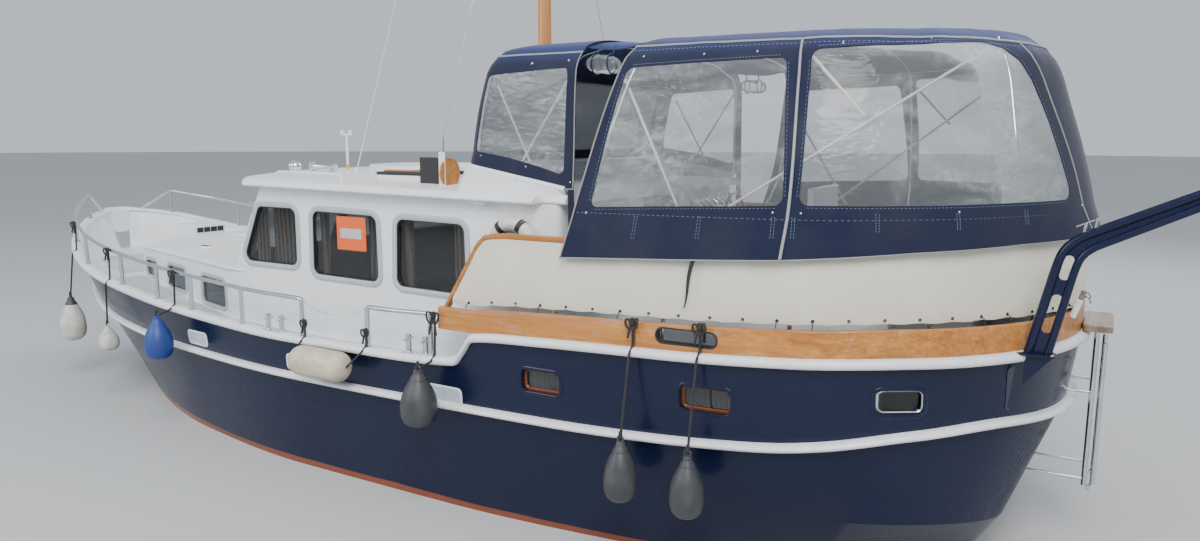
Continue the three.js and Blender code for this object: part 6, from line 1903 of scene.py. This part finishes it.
def crowned(x0, x1, y0, y1, z0, z1):
    """A cushion with upright sides and a crowned top and bottom."""
    steps = 16

    def grid(height):
        made = []
        for s in np.linspace(-1, 1, steps + 1):
            for t in np.linspace(-1, 1, steps + 1):
                swell = (1 - s**4) * (1 - t**4)
                crease = 0.0025 * noise.noise(Vector((s * 3, t * 3, x0))) * swell
                x, y = (x0 + x1) / 2 + (x1 - x0) / 2 * s, (y0 + y1) / 2 + (y1 - y0) / 2 * t
                made.append((x, y, height(swell) + crease))
        return made

    thick = z1 - z0
    top = grid(lambda swell: z1 - 0.24 * thick * (1 - swell))
    bottom = grid(lambda swell: z0 + 0.04 * thick * (1 - swell))
    wide = steps + 1
    count = wide * wide
    faces = []
    for r in range(steps):
        for c in range(steps):
            top_face = [r * wide + c + corner for corner in (0, wide, wide + 1, 1)]
            faces += [tuple(top_face), tuple(count + corner for corner in top_face[:1] + top_face[:0:-1])]
    edge = list(range(steps)) + [r * wide + steps for r in range(steps)]
    edge += [steps * wide + c for c in range(steps, 0, -1)] + [r * wide for r in range(steps, 0, -1)]
    for a, b in zip(edge, edge[1:] + edge[:1]):
        faces.append((a, b, count + b, count + a))
    return top + bottom, faces


for name, (x0, x1, y0, y1, height) in BENCHES.items():
    seat_z = float(deck_z(x0)) + height
    foot = float(deck_z(x1)) - 0.01
    base = box(x0, x1, y0, y1, foot, seat_z)
    back = box(x0 - 0.06, x0 - 0.001, y0, y1, seat_z - 0.04, seat_z + 0.42)
    pad_top = seat_z + 0.100
    piece(f"{name}_bench_locker", joined(base, back), WHITE, slot="white_paint", bevel=0.012,
          stands_for=[f"{name}_bench"])
    pad_form = crowned(x0 + 0.008, x1 - 0.008, y0 + 0.008, y1 - 0.008, seat_z + 0.002, pad_top)
    pad = piece(f"{name}_bench_cushion", pad_form, BLUE_CLOTH, slot="blue_cushion", bevel=0.008, smooth=50,
                stands_for=[f"{name}_cushion"])
    outline = rectangle(x0 + 0.009, x1 - 0.009, y0 + 0.009, y1 - 0.009)
    piping = rod([(x, y, pad_top - 0.0235) for x, y in outline], 0.0045, 8, bend=0.02, closed=True)
    piece(f"{name}_cushion_piping", piping, WHITE_THREAD)

# Mast: a tapered varnished spar that hinges in the shoe on the roof, with two wire shrouds and a
# steel band where they meet.
SPRUCE = wood("varnished spruce", (0.62, 0.30, 0.095), (0.40, 0.15, 0.045), worn_share=0.25, along="z")
MAST = {"foot": 2.445, "shroud_top": 6.25}
spar = [(0, 0.058), (0.006, 0.062), (0.8, 0.0605), (2.2, 0.054), (3.4, 0.047), (4.145, 0.0434),
        (4.155, 0.038)]
piece("mast_spar", turned(spar, (MAST_X, 0, MAST["foot"]), sides=32), SPRUCE, body="mast",
      slot="varnished_wood", stands_for=["mast"])
wires = []
iron_work = [turned([(0, 0.0465), (0.05, 0.0460)], (MAST_X, 0, MAST["shroud_top"] - 0.03), sides=28),
             rod([(MAST_X, -0.112, PIVOT_Z), (MAST_X, 0.112, PIVOT_Z)], 0.0135, 16)]
for side in (1, -1):
    wires.append(rod([(MAST_X, side * 1.378, 2.70), (MAST_X, side * 0.045, MAST["shroud_top"])], 0.0032, 8))
    bottle = [(MAST_X, side * 1.380, 2.566), (MAST_X, side * 1.3785, 2.70)]
    iron_work.append(rod(bottle, lambda share: 0.009 - 0.004 * share, 10))
    iron_work.append(rod([(MAST_X, side * 1.372, PIVOT_Z), (MAST_X, side * 1.393, PIVOT_Z)], 0.0155, 14))
    iron_work.append(turned([(-0.006, 0.004), (0, 0.010), (0.008, 0.010), (0.014, 0.004)],
                            (MAST_X, side * 0.047, MAST["shroud_top"] - 0.005), (0, 0, 1), 12))
piece("mast_shrouds", joined(*wires), STEEL, body="mast", slot="stainless")
piece("mast_ironwork", joined(*iron_work), STEEL, body="mast", slot="stainless")

# Davit: two bent steel tubes with a slotted web welded between them, on a foot at the port
# quarter; painted navy, with black end caps, a pulley eye and a long-horned cleat on the bend.
DAVIT_Y, UPPER_R, LOWER_R = 1.03, 0.025, 0.022
UPPER_TUBE = [(-5.265, 1.485), (-5.370, 1.990), (-5.400, 2.090), (-5.470, 2.160), (-5.560, 2.205),
              (-6.550, 2.690)]
LOWER_TUBE = [(-5.365, 1.485), (-5.465, 1.990), (-5.490, 2.060), (-5.540, 2.108), (-5.610, 2.145),
              (-6.550, 2.635)]
web = mesh_object("davit_web", pushed(UPPER_TUBE + LOWER_TUBE[::-1], 1, DAVIT_Y - 0.005, DAVIT_Y + 0.005),
                  [NAVY])
outward_faces(web)
lower_slot = rounded_corners([(-5.372, 1.61), (-5.318, 1.61), (-5.366, 1.835), (-5.420, 1.835)], 0.024)
upper_slot = rounded_corners([(-5.436, 1.92), (-5.384, 1.92), (-5.412, 2.06), (-5.462, 2.06)], 0.023)
carve(web, pushed(lower_slot, 1, 0.9, 1.2), pushed(upper_slot, 1, 0.9, 1.2))
web_form = ([tuple(v.co) for v in web.data.vertices], [tuple(f.vertices) for f in web.data.polygons])
bpy.data.objects.remove(web)
tubes = [rod([(x, DAVIT_Y, z) for x, z in line], r, 18, bend=0.06)
         for line, r in ((UPPER_TUBE, UPPER_R), (LOWER_TUBE, LOWER_R))]
base = [box(-5.405, -5.06, DAVIT_Y - 0.045, DAVIT_Y + 0.060, 1.4785, 1.4885),
        pushed([(-5.400, 1.480), (-5.250, 1.480), (-5.250, 1.300)], 1, DAVIT_Y + 0.020, DAVIT_Y + 0.028)]
piece("davit_arm", joined(web_form, *tubes, *base), NAVY, slot="navy_paint", smooth=35,
      stands_for=["davit_port"])
end_way = (Vector((-6.550, 0, 2.690)) - Vector((-5.560, 0, 2.205))).normalized()
caps = [turned([(-0.03, r + 0.0022), (0.002, r + 0.0022), (0.005, r * 0.8)], (x, DAVIT_Y, z), end_way, 20)
        for (x, z), r in ((UPPER_TUBE[-1], UPPER_R), (LOWER_TUBE[-1], LOWER_R))]
davit_eye = rod(circle((-6.46, DAVIT_Y, 2.635), 0.022, 1, 16), 0.005, 8, closed=True)
bolts = [turned([(0, 0.010), (0.007, 0.010), (0.009, 0.006)], (x, DAVIT_Y + y, 1.4883), sides=6)
         for x in (-5.39, -5.08) for y in (-0.036, 0.050)]
piece("davit_caps", joined(*caps), IRON, slot="dark_steel")
piece("davit_fittings", joined(davit_eye, *bolts), STEEL, slot="stainless")
horns = [(-5.452, DAVIT_Y, 2.222), (-5.635, DAVIT_Y, 2.310)]
cleat = [rod(horns, lambda share: 0.008 - 0.004 * abs(2 * share - 1), 10)]
for x, z in ((-5.497, 2.244), (-5.550, 2.269)):
    cleat.append(rod([(x, DAVIT_Y, z), (x + 0.006, DAVIT_Y, z - 0.060)], 0.011, 10))
piece("davit_cleat", joined(*cleat), STEEL, slot="stainless")

# Flag socket: a short white tube screwed to the top of the plank at the stern, at a slant, with the
# stump of a wooden flagstaff in it.
GREY_WOOD = wood("weathered wood", (0.36, 0.27, 0.20), (0.17, 0.115, 0.08), worn_share=0.9, gloss=0.5,
                 along="y")
socket_foot, socket_way = Vector((-5.462, 0.50, 1.618)), Vector((-0.30, 0, 0.954))
socket_end, stump_end = socket_foot + socket_way * 0.12, socket_foot + socket_way * 0.175
piece("flag_socket", rod([socket_foot, socket_end], 0.019, 16), WHITE_TUBE, slot="white_paint")
stump = rod([socket_end - socket_way * 0.02, stump_end], 0.0155, 14)
piece("flagstaff_stump", stump, GREY_WOOD, slot="varnished_wood", bevel=0.002)

# Stern step and ladder: a weathered wooden step on two brackets and a stainless ladder with a
# folding lower half behind it
STEP = {"x0": -5.69, "x1": -5.522, "half": 0.27, "z0": 1.488, "z1": 1.533}
step_outline = rounded_corners(rectangle(STEP["x0"], STEP["x1"], -STEP["half"], STEP["half"]), 0.035)
piece("step_board", pushed(step_outline, 2, STEP["z0"] + 0.004, STEP["z1"]), GREY_WOOD, slot="varnished_wood",
      bevel=0.005, stands_for=["stern_step"])
brackets = [box(-5.68, -5.50, y - 0.02, y + 0.02, 1.480, 1.4925) for y in (-0.18, 0.18)]
piece("step_brackets", joined(*brackets), STEEL, slot="stainless", bevel=0.0015)
LADDER = {"x": -5.605, "half": 0.18, "r": 0.0155, "foot": 0.45, "hinge_x": -5.63, "hinge_z": 0.43}
RUNGS = (0.56, 0.79, 1.02, 1.25)
ladder_forms = []
for side in (1, -1):
    y = side * LADDER["half"]
    ladder_forms.append(rod([(LADDER["x"], y, LADDER["foot"]), (LADDER["x"], y, 1.4875)], LADDER["r"], 14))
    ladder_forms.append(rod([(LADDER["x"], y, 0.49), (-5.15, y, 0.49)], 0.009, 12))
    ladder_forms.append(rod([(LADDER["x"], y, 1.08), (-5.40, y, 1.08)], 0.009, 12))
    ladder_forms.append(rod([(LADDER["x"], y, 0.47), (LADDER["hinge_x"], y, LADDER["hinge_z"])], 0.0055, 8))
    ladder_forms.append(rod([(LADDER["hinge_x"], y + end, LADDER["hinge_z"]) for end in (-0.006, 0.006)],
                            0.0138, 18))
    for z, x in ((0.49, -5.19), (1.08, -5.44)):
        ladder_forms.append(turned([(-0.004, 0.024), (0.004, 0.024), (0.010, 0.012)], (x, y, z), (-1, 0, 0),
                                   16))
ladder_forms += [rod([(LADDER["x"], -LADDER["half"], z), (LADDER["x"], LADDER["half"], z)], 0.0118, 12)
                 for z in RUNGS]
piece("ladder_frame", joined(*ladder_forms), STEEL, slot="stainless", stands_for=["stern_ladder"])
fold_x, fold_y = LADDER["x"] - 0.05, LADDER["half"] - 0.026
fold_forms = []
for side in (1, -1):
    y = side * fold_y
    fold_forms.append(rod([(fold_x, y, 0.454), (fold_x, y, 1.40)], LADDER["r"], 14))
    fold_forms.append(rod([(fold_x, y, 0.460), (LADDER["hinge_x"], y, LADDER["hinge_z"])], 0.008, 8))
    fold_forms.append(rod([(LADDER["hinge_x"], side * (fold_y - 0.008), LADDER["hinge_z"]),
                           (LADDER["hinge_x"], side * (LADDER["half"] - 0.0065), LADDER["hinge_z"])], 0.0138,
                           18))
    fold_forms.append(turned([(0, 0.0135), (0.006, 0.012), (0.010, 0.005)], (fold_x, y, 1.398), sides=14))
fold_forms += [rod([(fold_x, -fold_y, z + 0.06), (fold_x, fold_y, z + 0.06)], 0.0118, 12) for z in RUNGS]
piece("ladder_fold", joined(*fold_forms), STEEL, body="ladder_extension", slot="stainless",
      stands_for=["ladder_extension"])
treads = [box(fold_x - 0.014, fold_x + 0.014, -0.13, 0.13, z + 0.0705, z + 0.0755) for z in RUNGS]
piece("ladder_treads", joined(*treads), IRON, body="ladder_extension", slot="dark_steel", bevel=0.001)

# Life ring: a horseshoe of foam covered in off-white vinyl with four black bands, which rests in
# two bent steel hooks on the side of the saloon.

# Moulded vinyl and rubber: dull and scuffed in patches
SKIN, given, ends = group("moulded vinyl", [
    (COLOUR, "Skin", (0.7, 0.7, 0.7, 1)), (COLOUR, "Scuff", (0.3, 0.28, 0.25, 1)), (VALUE, "Scuffing", 0.3)])
place = place_of(SKIN)
smudge = clouds(SKIN, place, 9.0, 7.0, Roughness=0.65)
scuffed = product(SKIN, ramped(SKIN, smudge, 0.42, 0.72), given["Scuffing"])
give_out(SKIN, ends, blended(SKIN, scuffed, given["Skin"], given["Scuff"]),
         total(SKIN, product(SKIN, smudge, 0.35), 0.30), clouds(SKIN, place, 120.0, 3.0))


def moulded(name, colour, scuff, scuffing):
    return finished(name, SKIN, {"Skin": colour, "Scuff": scuff, "Scuffing": scuffing}, 0.0008)[0]


OFF_WHITE = moulded("off-white vinyl", (0.70, 0.69, 0.64), (0.30, 0.26, 0.20), 0.55)
BUOY = {"x": -2.04, "z": 1.95, "r": 0.158, "tube": 0.0485}
buoy_y = SALON["side"] + 0.0478
buoy_path = [(BUOY["x"] + BUOY["r"] * math.cos(a), buoy_y, BUOY["z"] + BUOY["r"] * math.sin(a))
             for a in np.linspace(-0.3 * math.pi, 1.3 * math.pi, 41)]
ring_form = rod(buoy_path, lambda share: BUOY["tube"] * (1 - 0.45 * abs(2 * share - 1) ** 14), 18)
piece("life_ring_body", ring_form, OFF_WHITE, slot="white_plastic", stands_for=["life_ring"])
bands = []
for share in (0.12, 0.38, 0.62, 0.88):
    at = int(share * 40)
    a, b = Vector(buoy_path[at - 1]), Vector(buoy_path[at + 1])
    bands.append(rod([tuple(a), tuple((a + b) / 2), tuple(b)], BUOY["tube"] + 0.0012, 20))
piece("life_ring_bands", joined(*bands), IRON, slot="dark_steel")
hooks = []
for x in (BUOY["x"] + 0.02, BUOY["x"] - 0.07):
    hooks.append(rod([(x, 1.561, 1.86), (x, 1.561, 1.815), (x, 1.665, 1.815), (x, 1.665, 1.87)], 0.006, 8,
                     bend=0.02))
piece("life_ring_bracket", joined(*hooks), STEEL, slot="stainless")

# Mooring posts: two pairs a side of short stainless posts with flared caps and cross pins, each pair
# on a plate fixed on the sheer strake.
POST_PROFILE = [(0.004, 0.027), (0.012, 0.022), (0.085, 0.0205), (0.105, 0.022), (0.118, 0.026),
                (0.126, 0.025), (0.130, 0.018), (0.131, 0.004)]
for place_name, x in (("fore", 0.155), ("mid", -1.37)):
    foot = float(sheer_z(x)) + STRAKE["cap"]
    y = float(level_y(SHEER, x)) - 0.030
    forms = [box(x - 0.11, x + 0.11, y - 0.045, y + 0.045, foot - 0.001, foot + 0.008)]
    for shift in (-0.08, 0.08):
        forms.append(turned(POST_PROFILE, (x + shift, y, foot), sides=24))
        forms.append(rod([(x + shift, y - 0.046, foot + 0.097), (x + shift, y + 0.046, foot + 0.097)], 0.0095,
                         12))
    twins(f"mooring_posts_{place_name}", joined(*forms), STEEL, slot="stainless", bevel=0.0012,
          stands_for=[f"bollard_{place_name}_{{side}}"])

# Fenders: air-filled vinyl on black lanyards that cross the strake and are tied to the guard rail
# with a bow, or cross the plank too and end behind it. All hang to port.
WHITE_FENDER = moulded("white fender", (0.66, 0.65, 0.60), (0.30, 0.27, 0.22), 0.75)
CREAM_FENDER = moulded("cream fender", (0.62, 0.57, 0.44), (0.36, 0.29, 0.19), 0.7)
BLUE_FENDER = moulded("blue fender", (0.012, 0.050, 0.27), (0.05, 0.06, 0.10), 0.4)
GREY_FENDER = moulded("dark grey fender", (0.040, 0.042, 0.047), (0.10, 0.10, 0.10), 0.5)
FENDERS = [
    # name, x, distance out, height, half length, radius, material, slot
    ("bow", 4.150, 0.130, 0.700, 0.240, 0.130, WHITE_FENDER, "white_plastic"),
    ("white", 2.900, 0.085, 0.700, 0.120, 0.095, WHITE_FENDER, "white_plastic"),
    ("blue", 1.560, 0.200, 0.930, 0.190, 0.120, BLUE_FENDER, "blue_rubber"),
    ("grey", -1.570, 0.200, 0.900, 0.200, 0.130, GREY_FENDER, "grey_rubber"),
    ("aft", -3.150, 0.170, 0.680, 0.190, 0.105, GREY_FENDER, "grey_rubber"),
    ("stern", -3.590, 0.170, 0.670, 0.190, 0.105, GREY_FENDER, "grey_rubber"),
]
TEARDROP = [(-1, 0.0), (-0.985, 0.30), (-0.93, 0.58), (-0.80, 0.83), (-0.62, 0.955), (-0.40, 1.0),
            (-0.15, 0.985),
            (0.12, 0.91), (0.38, 0.75), (0.60, 0.55), (0.78, 0.36), (0.90, 0.25), (0.95, 0.22), (1.0, 0.17)]
HEAD = [(0.70, 0.47), (0.74, 0.45), (0.86, 0.31), (0.93, 0.255), (0.99, 0.25), (1.02, 0.20), (1.03, 0.10)]
LANYARD = 0.0085


def bow_knot(spot, size):
    """Two loops and two ends of a tied lanyard, hanging down from spot."""
    x, y, z = spot
    loops = []
    for turn in (-1, 1):
        loop = [(x + turn * size * (0.15 + 0.85 * math.sin(a) ** 2) * math.cos(a / 2),
                 y + 0.012 * math.sin(a),
                 z - 0.3 * size + size * 0.55 * math.sin(2 * a))
                 for a in np.linspace(0.05, math.pi - 0.05, 14)]
        loops.append(rod(loop, 0.0075, 6))
        tail = [(x, y, z), (x + turn * 0.25 * size, y + 0.01, z - 0.9 * size),
                (x + turn * 0.45 * size, y + 0.012, z - 1.9 * size)]
        loops.append(rod(tail, 0.0075, 6, bend=0.02))
    loops.append(turned([(-0.024, 0.008), (-0.016, 0.020), (0.016, 0.021), (0.024, 0.008)], spot,
                        (0.3, 0.1, 1), 10))
    return joined(*loops)


for name, x, out, z, half, radius, skin, slot_name in FENDERS:
    sheer_y = float(level_y(SHEER, x))
    y = max(sheer_y, float(level_y(RUB, x))) + STRAKE["out"] + out - 0.060
    body = turned([(h * half, r * radius) for h, r in TEARDROP], (x, y, z), sides=28)
    piece(f"{name}_fender_body", body, skin, slot=slot_name, smooth=60, stands_for=[f"fender_{name}"])
    head = turned([(h * half, r * radius) for h, r in HEAD], (x, y, z), sides=24)
    eye = rod(circle((x, y, z + half * 1.02 + 0.014), 0.020, 1, 14), 0.0065, 8, closed=True)
    head_skin = GREY_FENDER if name in ("bow", "grey", "aft", "stern") else skin
    piece(f"{name}_fender_head", joined(head, eye), head_skin, slot=slot_name)
    strake_top = float(sheer_z(x)) + STRAKE["cap"]
    if x < STEP_X:
        plank_top = strake_top + PLANK["height"]
        upper = [(x, sheer_y + 0.008, strake_top + 0.06), (x, sheer_y + 0.008, plank_top + 0.004),
                 (x, sheer_y - 0.050, plank_top + 0.010), (x, sheer_y - 0.054, strake_top + 0.05)]
        knot_at = upper[1]
    else:
        upper = [(x, sheer_y - RAIL_INSET + 0.016, strake_top + 0.20),
                 (x, sheer_y - RAIL_INSET + 0.017, strake_top + RAIL_ABOVE)]
        knot_at = upper[-1]
    path = [(x, y, z + half + 0.012), (x, sheer_y + STRAKE["out"] + 0.008, strake_top - 0.03),
            (x, sheer_y + 0.010, strake_top + 0.008), *upper]
    knot = bow_knot((knot_at[0], knot_at[1] + 0.012, knot_at[2]), 0.055 if name != "grey" else 0.075)
    forms = [rod(path, LANYARD, 8, bend=0.015), knot]
    forms.append(turned([(-0.03, 0.010), (-0.02, 0.016), (0.0, 0.014), (0.02, 0.008)],
                        (x, y, z + half + 0.05), sides=10))
    piece(f"{name}_fender_lanyard", joined(*forms), BLACK_CORD)
LEVEL_FENDER = {"x": -0.57, "half": 0.28, "radius": 0.115, "z": 1.01}
level_y0 = float(level_y(SHEER, LEVEL_FENDER["x"])) + STRAKE["out"] + LEVEL_FENDER["radius"] + 0.004
CAPSULE = [(-1, 0.10), (-0.985, 0.30), (-0.955, 0.52), (-0.90, 0.74), (-0.82, 0.91), (-0.72, 0.985),
           (-0.6, 1.0), (0, 1.0)]
capsule = CAPSULE + [(-h, r) for h, r in reversed(CAPSULE[:-1])]
capsule = [(h * LEVEL_FENDER["half"], r * LEVEL_FENDER["radius"]) for h, r in capsule]
piece("cream_fender_body", turned(capsule, (LEVEL_FENDER["x"], level_y0, LEVEL_FENDER["z"]), (1, 0, 0), 32),
      CREAM_FENDER, slot="white_plastic", smooth=60, stands_for=["fender_cream"])
level_ropes = []
for end in (1, -1):
    x, z = LEVEL_FENDER["x"] + end * LEVEL_FENDER["half"], LEVEL_FENDER["z"]
    at = x + end * 0.05
    sheer_y, strake_top = float(level_y(SHEER, at)), float(sheer_z(at)) + STRAKE["cap"]
    path = [(x - end * 0.01, level_y0, z), (x + end * 0.02, level_y0 - 0.01, z + 0.03),
            (at, sheer_y + STRAKE["out"] + 0.010, strake_top - 0.028),
            (at, sheer_y + 0.010, strake_top + 0.010), (at, sheer_y - RAIL_INSET + 0.018, strake_top + 0.13)]
    level_ropes.append(rod(path, 0.0075, 8, bend=0.015))
    level_ropes.append(bow_knot((at, sheer_y - RAIL_INSET + 0.024, strake_top + 0.12), 0.05))
piece("cream_fender_lanyards", joined(*level_ropes), BLACK_CORD)

# Running gear and engine: a bronze propeller, a steel rudder in bottom paint, and a green-grey
# diesel under the saloon sole on four mounts
BRONZE = metal("bronze", (0.45, 0.25, 0.10), tarnish=0.6, gloss=0.28, spoiled=(0.12, 0.16, 0.11))
RED_LEAD = paint("red lead", (0.20, 0.045, 0.024), grime=0.5, gloss=0.6, soiled=(0.16, 0.14, 0.10))[0]
skin_node("propeller", BRONZE)
skin_node("rudder", RED_LEAD)
ENGINE_PAINT = paint("engine enamel", (0.10, 0.16, 0.14), grime=0.7, gloss=0.35,
                     soiled=(0.03, 0.025, 0.02))[0]
engine_forms = [box(-1.62, -0.62, -0.24, 0.24, -0.22, 0.10), box(-1.58, -0.70, -0.20, 0.20, -0.33, -0.21),
                box(-1.56, -0.72, -0.13, 0.13, 0.10, 0.22), box(-1.70, -1.61, -0.28, 0.28, -0.26, 0.14)]
for y in (-0.19, 0.19):
    engine_forms.append(rod([(-1.50, y, 0.12), (-0.80, y, 0.12)], 0.045, 14))
for x in (-1.45, -0.75):
    for y in (-0.285, 0.285):
        engine_forms.append(box(x - 0.06, x + 0.06, y - 0.045, y + 0.045, -0.20, -0.12))
engine_forms.append(turned([(0, 0.10), (0.04, 0.10), (0.05, 0.085), (0.09, 0.085), (0.10, 0.06)],
                           (-0.62, 0, -0.08), (1, 0, 0), 28))
piece("engine_block", joined(*engine_forms), ENGINE_PAINT, slot="engine_grey", bevel=0.010,
      stands_for=["engine"])
